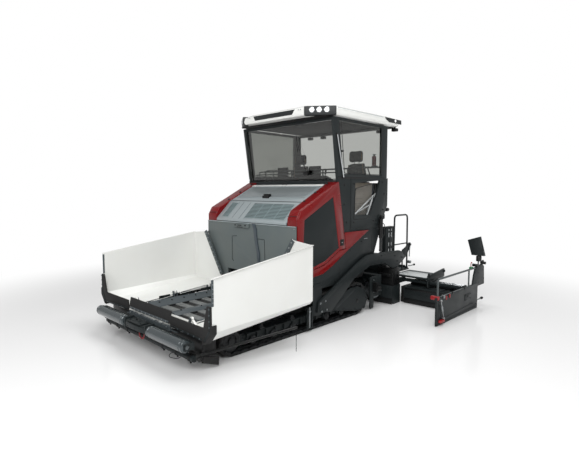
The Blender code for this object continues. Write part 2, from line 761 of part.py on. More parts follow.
def build_front(machine):
    """Push beam and rollers, the lower bar and the guide rod with its chain."""
    push = machine.pivot("push_pivot", (0.0, PUSH_PIVOT_Y, ROLLER_Z), machine.root)
    height = PUSH_BEAM_HEIGHT / 2
    low = ROLLER_Z - height
    high = ROLLER_Z + height
    end = PUSH_OUTER + RUN_GAP
    pieces = [block((-end - PUSH_END, PUSH_BEAM_Y - PUSH_BEAM_DEPTH / 2, low),
                    (end + PUSH_END, PUSH_BEAM_Y + PUSH_BEAM_DEPTH / 2, high))]
    pieces.append(block((-PUSH_BLOCK_HALF, ROLLER_Y - PUSH_RADIUS / 2, low - SINK),
                        (PUSH_BLOCK_HALF, PUSH_BEAM_Y + SINK, high + SINK)))
    boss_top = TUB_TOP - RUN_GAP
    reach = prism("Z", low + SINK, boss_top, circle((0.0, PUSH_PIVOT_Y), 2 * PUSH_PIVOT_RADIUS))
    web = block((-2 * PUSH_PIVOT_RADIUS + SINK, PUSH_BEAM_Y, low + 2 * SINK),
                (2 * PUSH_PIVOT_RADIUS - SINK, PUSH_PIVOT_Y, boss_top - SINK))
    pieces += [reach, web]
    for side in (-1, 1):
        ends = sorted((side * end, side * (end + PUSH_END)))
        pieces.append(block((ends[0], ROLLER_Y - PUSH_RADIUS / 2, low + SINK),
                            (ends[1] - SINK * (side > 0), PUSH_BEAM_Y, high - SINK)))
    beam = joined(*pieces)
    hole = rod((0.0, PUSH_PIVOT_Y, low - OVERRUN), (0.0, PUSH_PIVOT_Y, high + OVERRUN),
               bore_radius(PUSH_PIVOT_RADIUS, ROUND), ROUND)
    shaft = rod((-end - OVERRUN * 2, ROLLER_Y, ROLLER_Z), (end + OVERRUN * 2, ROLLER_Y, ROLLER_Z),
                bore_radius(PUSH_SHAFT, ROUND), ROUND)
    machine.add(cut(beam, hole, shaft), "push_beam", "anthracite", push)
    for side, name in ((1, "left"), (-1, "right")):
        spin = machine.pivot("push_roller_axis_" + name, (0.0, ROLLER_Y, ROLLER_Z), push)
        drum = rod((side * PUSH_INNER, ROLLER_Y, ROLLER_Z), (side * PUSH_OUTER, ROLLER_Y, ROLLER_Z),
                   PUSH_RADIUS, ROUND)
        axle = rod((side * (PUSH_BLOCK_HALF - OVERRUN), ROLLER_Y, ROLLER_Z),
                   (side * (end + PUSH_END), ROLLER_Y, ROLLER_Z), PUSH_SHAFT, ROUND)
        machine.add(joined(drum, axle), "push_roller_" + name, "mid_grey", spin)
    bar = rod((-BAR_HALF, BAR_Y, BAR_Z), (BAR_HALF, BAR_Y, BAR_Z), BAR_RADIUS)
    arms = [block((place - BAR_RADIUS, BAR_Y, BAR_Z - BAR_RADIUS / 2),
                  (place + BAR_RADIUS, TUB_FRONT - GAP, BAR_Z + BAR_RADIUS / 2))
            for place in (-BAR_ARM_X, BAR_ARM_X)]
    machine.add(joined(bar, *arms, solver="MANIFOLD"), "front_bar", "anthracite")
    foot = (BAR_HALF - ROD_INSET, BAR_Y, ROD_FOOT_Z)
    head = (WING_OUTER + ROD_CLEARANCE, ROD_HEAD_Y, ROD_HEAD_Z)
    guide = rod(foot, head, ROD_RADIUS)
    hang = (head[0], head[1] - ROD_RADIUS)
    chain = rod((*hang, CHAIN_CLEARANCE), (*hang, ROD_HEAD_Z), CHAIN_RADIUS)
    pin = rod((foot[0], foot[1], BAR_Z + BAR_RADIUS + GAP), (foot[0], foot[1], foot[2] + SINK),
              ROD_RADIUS * 1.5)
    clip = prism("Z", BAR_Z + BAR_RADIUS + GAP, BAR_Z + BAR_RADIUS * 1.5,
                 circle((foot[0], foot[1]), ROD_RADIUS * 2.5))
    swivel = machine.pivot("guide_rod_swivel", foot, machine.root)
    machine.add(joined(guide, chain, pin, clip, solver="MANIFOLD"), "guide_rod_left", "steel", swivel)


def lug_places():
    """Where the hinge lugs stand along each wing."""
    return [LUG_FIRST_Y + index * LUG_PITCH for index in range(LUG_COUNT)]


def wing_section(place, inner_z, floor_z, edge, side_low, side_top, inset):
    """A wing's section at one place along it; inset is the skin for its inner face."""
    low = floor_z + inset
    return [(WING_INNER - (OVERRUN if inset else 0), place, inner_z + inset),
            (edge - inset / 2, place, low), (WING_OUTER - inset, place, side_low + inset / 2),
            (WING_OUTER - inset, place, side_top + (OVERRUN * 3 if inset else 0)),
            (WING_INNER - (OVERRUN if inset else 0), place, side_top + (OVERRUN * 3 if inset else 0))]


def wing_body():
    """A wing's shell with its rear wall, top flange and hinge lugs."""
    outer = loft((wing_section(WING_FRONT, FLOOR_FRONT_Z, FLOOR_FRONT_Z, FLOOR_EDGE_FRONT, SIDE_LOW_FRONT,
                               SIDE_TOP_FRONT, 0),
                  wing_section(WING_REAR, FLOOR_INNER_REAR_Z, FLOOR_REAR_Z, FLOOR_EDGE_REAR, SIDE_LOW_REAR,
                               SIDE_TOP_REAR, 0)))
    inner = loft((wing_section(WING_FRONT - OVERRUN, FLOOR_FRONT_Z, FLOOR_FRONT_Z, FLOOR_EDGE_FRONT,
                               SIDE_LOW_FRONT, SIDE_TOP_FRONT, WING_SKIN),
                  wing_section(WING_REAR - WING_SKIN, FLOOR_INNER_REAR_Z, FLOOR_REAR_Z, FLOOR_EDGE_REAR,
                               SIDE_LOW_REAR, SIDE_TOP_REAR, WING_SKIN)))
    shell = cut(outer, inner, solver="MANIFOLD")
    wall = prism("Y", WING_REAR - WING_SKIN * 1.2, WING_REAR - SINK / 4,
                 [(WING_INNER + WING_SKIN, FLOOR_INNER_REAR_Z + WING_SKIN / 2),
                  (WING_OUTER - WING_SKIN / 2, SIDE_LOW_REAR + OVERRUN),
                  (WING_OUTER - WING_SKIN / 2, SIDE_TOP_REAR - SINK), (REAR_CORNER_X, REAR_CORNER_Z),
                  (REAR_LOW_X, REAR_LOW_Z)])
    trimmer = prism("Y", WING_REAR - OVERRUN, WING_REAR + OVERRUN,
                    [(WING_INNER - OVERRUN, FLOOR_INNER_REAR_Z + WING_SKIN),
                     (WING_INNER + WING_SKIN, FLOOR_INNER_REAR_Z + WING_SKIN),
                     (REAR_LOW_X + 2 * OVERRUN, REAR_LOW_Z),
                     (REAR_CORNER_X + OVERRUN, REAR_CORNER_Z + OVERRUN * 2),
                     (WING_INNER - OVERRUN, REAR_CORNER_Z + OVERRUN * 2)])
    shell = cut(shell, trimmer, solver="MANIFOLD")
    lip = WING_OUTER + FLANGE
    skin = WING_OUTER - WING_SKIN / 2
    ends = ((WING_FRONT + SINK, SIDE_TOP_FRONT), (WING_REAR - SINK, SIDE_TOP_REAR))
    flange = loft([[(skin, place, top - FLANGE_HEIGHT), (lip, place, top - SINK),
                    (lip, place, top + SINK), (skin, place, top + SINK)] for place, top in ends])
    pieces = [shell, wall, flange]
    for place in lug_places():
        half = LUG_WIDTH / 2
        along = (place - WING_FRONT) / (WING_REAR - WING_FRONT)
        floor = FLOOR_FRONT_Z + along * (FLOOR_INNER_REAR_Z - FLOOR_FRONT_Z) + WING_SKIN / 2
        eye = prism("Y", place - half, place + half, circle((HINGE_X, HINGE_Z), LUG_RADIUS))
        arm = prism("Y", place - half + SINK / 4, place + half - SINK / 4,
                    [(HINGE_X, HINGE_Z + LUG_RADIUS / 2), (HINGE_X - LUG_RADIUS / 2, HINGE_Z),
                     (WING_INNER + SINK, floor), (WING_INNER + LUG_RADIUS * 3, floor + SINK * 3)])
        pieces += [eye, arm]
    body = joined(*pieces, solver="MANIFOLD")
    pin = rod((HINGE_X, WING_FRONT, HINGE_Z), (HINGE_X, WING_REAR, HINGE_Z), bore_radius(HINGE_PIN))
    return cut(body, pin, solver="MANIFOLD")


def build_wings(machine):
    """Both wings with their front strips."""
    pivots = [machine.pivot("wing_hinge_" + name, (side * HINGE_X, WING_REAR, HINGE_Z), machine.root)
              for side, name in ((1, "left"), (-1, "right"))]
    machine.add_pair(joined(wing_body(), wing_seal(), solver="MANIFOLD"), "hopper_wing", "off_white",
                     pivots)
    front = WING_FRONT - GAP
    strip = prism("Y", front - STRIP_THICK, front,
                  [(STRIP_INNER, STRIP_LOW), (FLOOR_EDGE_FRONT - STRIP_UPRIGHT / 2, FLOOR_FRONT_Z),
                   (FLOOR_EDGE_FRONT, FLOOR_FRONT_Z), (WING_OUTER, SIDE_LOW_FRONT + OVERRUN),
                   (WING_OUTER, STRIP_UPRIGHT_TOP), (WING_OUTER - STRIP_UPRIGHT / 2, STRIP_UPRIGHT_TOP),
                   (WING_OUTER - STRIP_UPRIGHT, STRIP_TOP), (STRIP_INNER, STRIP_TOP)])
    machine.add_pair(strip, "wing_strip", "rubber", pivots)


def wing_seal():
    """The seal along the rear wall's sloping edge."""
    run = Vector((REAR_CORNER_X - REAR_LOW_X, REAR_CORNER_Z - REAR_LOW_Z)).normalized()
    across = Vector((-run.y, run.x))
    back = WING_REAR - WING_SKIN * 1.2 - GAP
    points = []
    low = Vector((REAR_LOW_X, REAR_LOW_Z))
    high = Vector((REAR_CORNER_X, REAR_CORNER_Z))
    for foot, share in ((low, -SEAL_INNER_SHARE), (high, -SEAL_INNER_SHARE), (high, SEAL_OUTER_SHARE),
                        (low, SEAL_OUTER_SHARE)):
        spot = foot + across * SEAL_WIDTH * share
        points.append((spot.x, spot.y))
    return prism("Y", back - SEAL_THICK, back + SINK / 2, points)


def build_hopper(machine):
    """Floor with guards and hinge tabs, slats, rear wall and front flap."""
    low = TUB_TOP + GAP
    high = low + HOPPER_FLOOR_THICK
    ear = LUG_RADIUS * 0.9
    plate = block((-HINGE_X + LUG_RADIUS * 2, WING_FRONT + SINK, low),
                  (HINGE_X - LUG_RADIUS * 2, DECK_FRONT - OVERRUN * 2, high))
    pieces = [plate]
    rear = DECK_FRONT - OVERRUN * 2
    for side in (-1, 1):
        outline = [(side * across, up) for across, up in
                   spread(GUARD_SHARES, GUARD_INNER, HINGE_X - LUG_RADIUS * 1.5, high - SINK, GUARD_TOP)]
        pieces.append(prism("Y", GUARD_FRONT, rear - SINK, outline))
    centre = prism("Y", GUARD_FRONT + SINK, rear - 2 * SINK,
                   [(-GUARD_CENTRE, GUARD_LOW), (GUARD_CENTRE, GUARD_LOW), (GUARD_CENTRE / 2, GUARD_TOP),
                    (-GUARD_CENTRE / 2, GUARD_TOP)])
    foot = block((-GUARD_CENTRE / 2, GUARD_FRONT + 2 * SINK, high - SINK),
                 (GUARD_CENTRE / 2, GUARD_FRONT + OVERRUN, GUARD_LOW + SINK))
    sill = block((-FLAP_HALF, FLAP_FRONT + SINK, low + SINK / 2),
                 (FLAP_HALF, WING_FRONT + 2 * SINK, FLAP_LOW - GAP))
    pieces += [centre, foot, sill]
    for side in (-1, 1):
        for place in lug_places():
            for turn in (-1, 1):
                start = place + turn * (LUG_WIDTH / 2 + RUN_GAP)
                ends = sorted((start, start + turn * TAB_GAP))
                slant = ear * EAR_SHARE
                foot = HINGE_X - LUG_RADIUS * 2.5
                tab = [(HINGE_X + ear, HINGE_Z), (HINGE_X + slant, HINGE_Z + slant),
                       (HINGE_X - slant, HINGE_Z + slant), (foot, high + SINK), (foot, low + SINK),
                       (HINGE_X - LUG_RADIUS * 1.4, low + SINK), (HINGE_X + slant, HINGE_Z - slant)]
                tab = [(side * across, up) for across, up in tab]
                pieces.append(prism("Y", ends[0], ends[1], tab))
            reach = LUG_WIDTH / 2 + RUN_GAP + TAB_GAP / 2
            pieces.append(rod((side * HINGE_X, place - reach, HINGE_Z),
                              (side * HINGE_X, place + reach, HINGE_Z), HINGE_PIN))
    machine.add(joined(*pieces), "hopper_floor", "mid_grey")
    bed = high + GAP
    rows = []
    start = GUARD_FRONT + OVERRUN * 2
    pitch = (TUB_REAR - start) / SLAT_COUNT
    for index in range(SLAT_COUNT):
        base = start + index * pitch
        rows += [(base, bed + SLAT_BED), (base + pitch * SLAT_SHARE, bed + SLAT_BED),
                 (base + pitch * SLAT_SHARE, bed + SLAT_HEIGHT),
                 (base + pitch * SLAT_END_SHARE, bed + SLAT_HEIGHT)]
    outline = [(start + GAP, bed)] + rows[1:] + [(TUB_REAR, bed + SLAT_BED), (TUB_REAR, bed)]
    comb = prism("X", -SLAT_HALF + TUNNEL_WALL, SLAT_HALF - TUNNEL_WALL, outline)
    machine.add(comb, "conveyor_slats", "anthracite")
    inner = TUB_HALF + SINK
    wall = prism("Y", DECK_FRONT - GAP - HOPPER_WALL_THICK, DECK_FRONT - GAP,
                 [(-HOPPER_WALL_HALF, HOPPER_WALL_LOW), (-inner, HOPPER_WALL_LOW), (-inner, DECK_LOW),
                  (inner, DECK_LOW), (inner, HOPPER_WALL_LOW), (HOPPER_WALL_HALF, HOPPER_WALL_LOW),
                  (HOPPER_WALL_HALF, HOPPER_WALL_TOP), (-HOPPER_WALL_HALF, HOPPER_WALL_TOP)])
    machine.add(wall, "hopper_rear_wall", "mid_grey")
    hinge = machine.pivot("flap_hinge", (0.0, FLAP_FRONT, FLAP_LOW), machine.root)
    flap = prism("X", -FLAP_HALF, FLAP_HALF,
                 [(FLAP_FRONT, FLAP_LOW), (FLAP_FRONT + FLAP_THICK, FLAP_LOW),
                  (FLAP_FRONT + FLAP_THICK + FLAP_LEAN, FLAP_LOW + FLAP_HEIGHT),
                  (FLAP_FRONT + FLAP_LEAN, FLAP_LOW + FLAP_HEIGHT)])
    machine.add(flap, "front_flap", "rubber", hinge)


def swoosh_top():
    """The curved line where the body side's red trim ends and the side door begins."""
    return spread(SWOOSH_SHARES, HOOD_FRONT, HOOD_FOOT_Y, TRIM_HIGH_FRONT, HOOD_FOOT_Z)


def hood_outline():
    """The outline that the rails and the door frames share."""
    low = [(across, up + RUN_GAP) for across, up in reversed(swoosh_top())]
    return [(HOOD_FRONT, HOOD_SHOULDER_Z), (HOOD_CORNER_Y - SKIN, HOOD_CORNER_Z - SKIN / 2),
            (HOOD_CORNER_Y, HOOD_CORNER_Z), (HOOD_REAR_Y, HOOD_REAR_Z)] + low


def build_hood(machine):
    """Rails, side doors and the lid."""
    panel = spread(PANEL_SHARES, HOOD_FRONT, HOOD_FOOT_Y, TRIM_HIGH_FRONT + OVERRUN, DOOR_PANEL_TOP)
    rail = prism("X", RAIL_INNER, RAIL_OUTER, hood_outline(), panel)
    machine.add_pair(rail, "hood_rail", "red")
    hinges = [machine.pivot("side_door_hinge_" + name, (side * DOOR_OUTER, HOOD_FRONT, DECK_TOP),
                            machine.root) for side, name in ((1, "left"), (-1, "right"))]
    frame = prism("X", RAIL_OUTER + GAP, DOOR_OUTER, hood_outline(), panel)
    machine.add_pair(frame, "door_frame", "red", hinges)
    middle = (sum(point[0] for point in panel) / len(panel), sum(point[1] for point in panel) / len(panel))
    inset = [(across + (middle[0] - across) * PANEL_INSET_SHARE, up + (middle[1] - up) * PANEL_INSET_SHARE)
             for across, up in panel]
    machine.add_pair(prism("X", RAIL_OUTER + GAP, DOOR_PANEL_OUTER, inset), "door_panel", "anthracite",
                     hinges)
    axis = (LID_TOP_Y - LID_THICK / 2, LID_TOP_Z - LID_THICK * 0.75)
    lid_hinge = machine.pivot("lid_hinge", (0.0, *axis), machine.root)
    pin = rod((-RAIL_INNER + GAP, *axis), (RAIL_INNER - GAP, *axis), LID_PIN)
    lid = prism("X", -LID_HALF, LID_HALF,
                [(LID_LOW_Y, LID_LOW_Z), (LID_STEP_Y, LID_STEP_Z), (LID_TOP_Y, LID_TOP_Z),
                 (LID_TOP_Y, LID_TOP_Z - LID_THICK), (LID_STEP_Y + LID_THICK / 2, LID_STEP_Z - LID_THICK),
                 (LID_LOW_Y + LID_THICK, LID_LOW_Z)])
    machine.add(joined(lid, pin), "hood_lid", "silver", lid_hinge)


def trim_top():
    """The top edge that the dark side and the trim share, from the cab forward."""
    corner = [(HOOD_FOOT_Y - SKIN + 2 * RUN_GAP, SIDE_TOP), (HOOD_FOOT_Y + RUN_GAP, HOOD_FOOT_Z)]
    return corner + list(reversed(swoosh_top()))[1:]


def body_side():
    """The dark side under the trim."""
    inner = BODY_HALF_WIDTH - SKIN
    return prism("X", inner - SINK, BODY_HALF_WIDTH,
                 [(SIDE_FRONT, SIDE_LOW), (PANEL_SPLIT_Y, SIDE_LOW), (BELLY_FRONT, BELLY_FRONT_Z),
                  (TUB_REAR, BELLY_REAR_Z), (SIDE_REAR, SIDE_TOP)] + trim_top())


def build_trim(machine):
    """The red trim that sweeps up to the cab."""
    trim = prism("X", BODY_HALF_WIDTH + GAP, TRIM_OUTER - SINK,
                 spread(TRIM_LOW_SHARES, HOOD_FRONT, TRIM_REAR, TRIM_LOW_FRONT, SIDE_TOP)
                 + trim_top())
    machine.add_pair(trim, "side_trim", "red")


def build_cab(machine):
    """Platform, side panels, frame, glass and seats."""
    inner = BODY_HALF_WIDTH - SKIN
    tank = block((-TANK_HALF, TANK_FRONT, DECK_TOP + GAP), (TANK_HALF, TUB_REAR, TANK_TOP + SINK))
    floor = block((-inner + GAP, PILLAR_FOOT_Y + PILLAR_DEPTH, TANK_TOP),
                  (inner - GAP, PLATFORM_REAR, PLATFORM_TOP))
    desk = block((-CONSOLE_HALF, CONSOLE_FRONT, PLATFORM_TOP - SINK),
                 (CONSOLE_HALF, CONSOLE_FRONT + CONSOLE_DEPTH, CONSOLE_TOP))
    stand = block((SEAT_X - PEDESTAL_WIDTH / 2, SEAT_Y - PEDESTAL_WIDTH / 2, PLATFORM_TOP - SINK),
                  (SEAT_X + PEDESTAL_WIDTH / 2, SEAT_Y + PEDESTAL_WIDTH / 2,
                   SEAT_CUSHION_TOP - SEAT_CUSHION_THICK - GAP))
    machine.add(joined(floor, tank, desk, stand, mirrored(stand)), "platform", "anthracite")
    panel = [(PANEL_SPLIT_Y, SIDE_TOP + SINK), (SIDE_REAR, SIDE_TOP + SINK),
             (PANEL_KNEE, SIDE_TOP + PANEL_KNEE_RISE), (PANEL_REAR, SIDE_TOP + PANEL_REAR_RISE),
             (PANEL_REAR, PANEL_TOP + PANEL_PEAK_RISE), (PANEL_SPLIT_Y, PANEL_TOP)]
    window = spread(WINDOW_SHARES, PANEL_SPLIT_Y, PANEL_REAR, SIDE_TOP, PANEL_TOP)
    side = prism("X", inner, BODY_HALF_WIDTH, panel, window)
    strip = [(HOOD_REAR_Y + SINK * 2, HOOD_REAR_Z), (HOOD_FOOT_Y - SKIN + SINK, SIDE_TOP + SINK),
             (PANEL_SPLIT_Y + SINK, SIDE_TOP + SINK), (PANEL_SPLIT_Y + SINK, PANEL_TOP),
             (HOOD_REAR_Y + SINK * 2, PANEL_TOP)]
    strip = prism("X", inner + SINK / 4, BODY_HALF_WIDTH - SINK / 2, strip)
    machine.add_pair(joined(side, strip, *lift_bracket()), "cab_side", "anthracite")
    outer = BODY_HALF_WIDTH
    post = outer - PILLAR_WIDTH
    sill = PANEL_TOP + SILL_RISE
    pieces = []
    for low, high in ((post, outer), (-outer, -post)):
        pieces.append(prism("X", low, high,
                            [(PILLAR_FOOT_Y, sill), (PILLAR_FOOT_Y + PILLAR_DEPTH, sill),
                             (PILLAR_TOP_Y + PILLAR_DEPTH, PILLAR_TOP_Z), (PILLAR_TOP_Y, PILLAR_TOP_Z)]))
        pieces.append(block((low, REAR_POST_FRONT, sill), (high, REAR_POST_REAR, PILLAR_TOP_Z)))
        pieces.append(block((low + SINK / 4, PILLAR_TOP_Y + SINK, PILLAR_TOP_Z - HEADER),
                            (high - SINK / 4, REAR_POST_REAR - SINK, PILLAR_TOP_Z + SINK)))
        pieces.append(block((low + SINK / 2, PILLAR_FOOT_Y + SINK, sill),
                            (high - SINK / 2, REAR_POST_REAR - SINK, sill + HEADER)))
    pieces.append(block((-post - SINK, PILLAR_TOP_Y + 2 * SINK, PILLAR_TOP_Z - HEADER + SINK),
                        (post + SINK, PILLAR_TOP_Y + PILLAR_DEPTH / 2, PILLAR_TOP_Z + 2 * SINK)))
    pieces.append(block((-post - SINK, REAR_POST_REAR - HEADER, PILLAR_TOP_Z - HEADER + SINK),
                        (post + SINK, REAR_POST_REAR - 2 * SINK, PILLAR_TOP_Z + 2 * SINK)))
    pieces.append(block((-post - SINK, PILLAR_FOOT_Y + 2 * SINK, sill + SINK / 2),
                        (post + SINK, PILLAR_FOOT_Y + PILLAR_DEPTH / 2, sill + HEADER - SINK / 2)))
    pieces.append(block((-RAIL_INNER + GAP, PILLAR_FOOT_Y, DECK_TOP + GAP),
                        (RAIL_INNER - GAP, PILLAR_FOOT_Y + PILLAR_DEPTH - GAP, sill + SINK)))
    machine.add(joined(*pieces), "cab_frame", "anthracite")
    low = sill + HEADER + GAP
    high = PILLAR_TOP_Z - HEADER - GAP
    lean = (PILLAR_TOP_Y - PILLAR_FOOT_Y) / (PILLAR_TOP_Z - sill)
    near = PILLAR_FOOT_Y + lean * (low - sill) + PILLAR_DEPTH / 4
    far = PILLAR_FOOT_Y + lean * (high - sill) + PILLAR_DEPTH / 4
    machine.add(prism("X", -post + GAP, post - GAP,
                      [(near, low), (near + GLASS, low), (far + GLASS, high), (far, high)]), "windscreen",
                "glass")
    gap = GAP * 4
    pane = prism("X", outer - PILLAR_WIDTH / 2, outer - PILLAR_WIDTH / 2 + GLASS,
                 [(PILLAR_FOOT_Y + PILLAR_DEPTH + lean * (low - sill) + gap, low),
                  (REAR_POST_FRONT - gap, low), (REAR_POST_FRONT - gap, high),
                  (PILLAR_TOP_Y + PILLAR_DEPTH - lean * (PILLAR_TOP_Z - high) + gap, high)])
    machine.add_pair(pane, "side_glass", "glass")
    machine.add_pair(seat_body(), "seat", "seat")
    build_roof(machine)


def seat_body():
    """Cushion, back and headrest as one soft solid."""
    half = SEAT_WIDTH / 2
    back = SEAT_Y + SEAT_DEPTH / 2
    cushion = block((SEAT_X - half, SEAT_Y - SEAT_DEPTH / 2, SEAT_CUSHION_TOP - SEAT_CUSHION_THICK),
                    (SEAT_X + half, back, SEAT_CUSHION_TOP))
    rest = block((SEAT_X - half + SINK, back - SINK, SEAT_CUSHION_TOP - SEAT_CUSHION_THICK / 2),
                 (SEAT_X + half - SINK, back + SEAT_BACK_THICK, SEAT_BACK_TOP))
    head = block((SEAT_X - HEADREST_WIDTH / 2, back + SINK, SEAT_BACK_TOP - SINK),
                 (SEAT_X + HEADREST_WIDTH / 2, back + SEAT_BACK_THICK - SINK, HEADREST_TOP))
    return joined(cushion, rest, head)


def inset_ring(outline, height, inset):
    """The roof's outline drawn in towards its middle, at a height."""
    middle = Vector((0.0, (ROOF_FRONT + ROOF_REAR) / 2, 0.0))
    points = []
    for point in outline:
        inward = (middle - Vector(point)).normalized() * inset
        points.append((point[0] + inward.x, point[1] + inward.y, height))
    return points


def build_roof(machine):
    """The roof's shell and its lining."""
    lip = ROOF_LIP
    low = [(-ROOF_HALF, ROOF_CORNER_Y, 0), (-ROOF_CORNER_X, ROOF_FRONT, 0), (ROOF_CORNER_X, ROOF_FRONT, 0),
           (ROOF_HALF, ROOF_CORNER_Y, 0), (ROOF_HALF, ROOF_REAR - lip * 4, 0),
           (ROOF_HALF - lip * 4, ROOF_REAR, 0), (-ROOF_HALF + lip * 4, ROOF_REAR, 0),
           (-ROOF_HALF, ROOF_REAR - lip * 4, 0)]
    rings = ((ROOF_LOW + GAP, lip / 2), (ROOF_LOW + lip, 0), (ROOF_CROWN_LOW, lip / 2), (ROOF_TOP, lip * 4))
    shell = loft([inset_ring(low, height, inset) for height, inset in rings])
    machine.add(shell, "roof", "off_white")
    lining = block((-ROOF_HALF + lip * 3, ROOF_FRONT + lip * 4, PILLAR_TOP_Z + 2 * SINK + GAP),
                   (ROOF_HALF - lip * 3, ROOF_REAR - lip * 3, ROOF_LOW))
    machine.add(lining, "roof_lining", "black")


def auger_ring(share):
    """The shaft with the flight's edge on it, at one share of the auger's length."""
    turn = 2 * math.pi * AUGER_TURNS * share
    half = math.pi * AUGER_TURNS * FLIGHT_THICK / (AUGER_OUTER - AUGER_INNER)
    corners = [(-half, AUGER_SHAFT), (-half, AUGER_RADIUS), (half, AUGER_RADIUS), (half, AUGER_SHAFT)]
    step = (2 * math.pi - 2 * half) / AUGER_SIDES
    corners += [(half + index * step, AUGER_SHAFT) for index in range(1, AUGER_SIDES)]
    across = AUGER_INNER + share * (AUGER_OUTER - AUGER_INNER)
    return [(across, AUGER_Y + math.cos(turn + angle) * radius, AUGER_Z + math.sin(turn + angle) * radius)
            for angle, radius in corners]


def auger_body():
    """One auger as a twisted loft."""
    steps = AUGER_TURNS * AUGER_STEPS
    return loft([auger_ring(step / steps) for step in range(steps + 1)])


def build_augers(machine):
    """The augers' frame and both augers."""
    centre = block((-AUGER_INNER + GAP, AUGER_Y - AUGER_SHAFT * 2, AUGER_Z - AUGER_SHAFT * 2),
                   (AUGER_INNER - GAP, AUGER_Y + AUGER_SHAFT * 2, AUGER_BEAM_LOW + SINK))
    beam = block((-RETAINER_HALF, AUGER_Y - AUGER_SHAFT * 2 + SINK, AUGER_BEAM_LOW),
                 (RETAINER_HALF, AUGER_Y + AUGER_SHAFT * 2 - SINK, AUGER_BEAM_TOP))
    stem = block((-TUB_HALF + TUNNEL_WALL * 2, TUB_REAR + 2 * SINK + GAP, AUGER_BEAM_LOW + SINK),
                 (TUB_HALF - TUNNEL_WALL * 2, AUGER_Y, AUGER_BEAM_TOP - SINK))
    riser = block((-AUGER_INNER * 2, TUB_REAR + SINK + GAP, AUGER_BEAM_LOW + 2 * SINK),
                  (AUGER_INNER * 2, TUB_REAR + OVERRUN * 3, DECK_TOP - SINK))
    pieces = [beam, centre, stem, riser]
    for side in (-1, 1):
        ends = sorted((side * (AUGER_OUTER + GAP), side * RETAINER_HALF))
        pieces.append(block((ends[0], RETAINER_Y - RETAINER_DEPTH / 2, RETAINER_LOW),
                            (ends[1] - SINK / 2 * (side > 0), RETAINER_Y + RETAINER_DEPTH / 2,
                             RETAINER_TOP)))
        pieces.append(block((ends[0] + SINK / 2 * (side < 0), RETAINER_Y, AUGER_Z - AUGER_SHAFT * 2),
                            (ends[1] - SINK / 2, AUGER_Y + AUGER_SHAFT * 2 - 2 * SINK,
                             AUGER_BEAM_TOP - 2 * SINK)))
    machine.add(joined(*pieces), "auger_frame", "anthracite")
    pivots = [machine.pivot("auger_axis_" + name, (side * AUGER_INNER, AUGER_Y, AUGER_Z), machine.root)
              for side, name in ((1, "left"), (-1, "right"))]
    machine.add_pair(auger_body(), "auger", "anthracite", pivots)


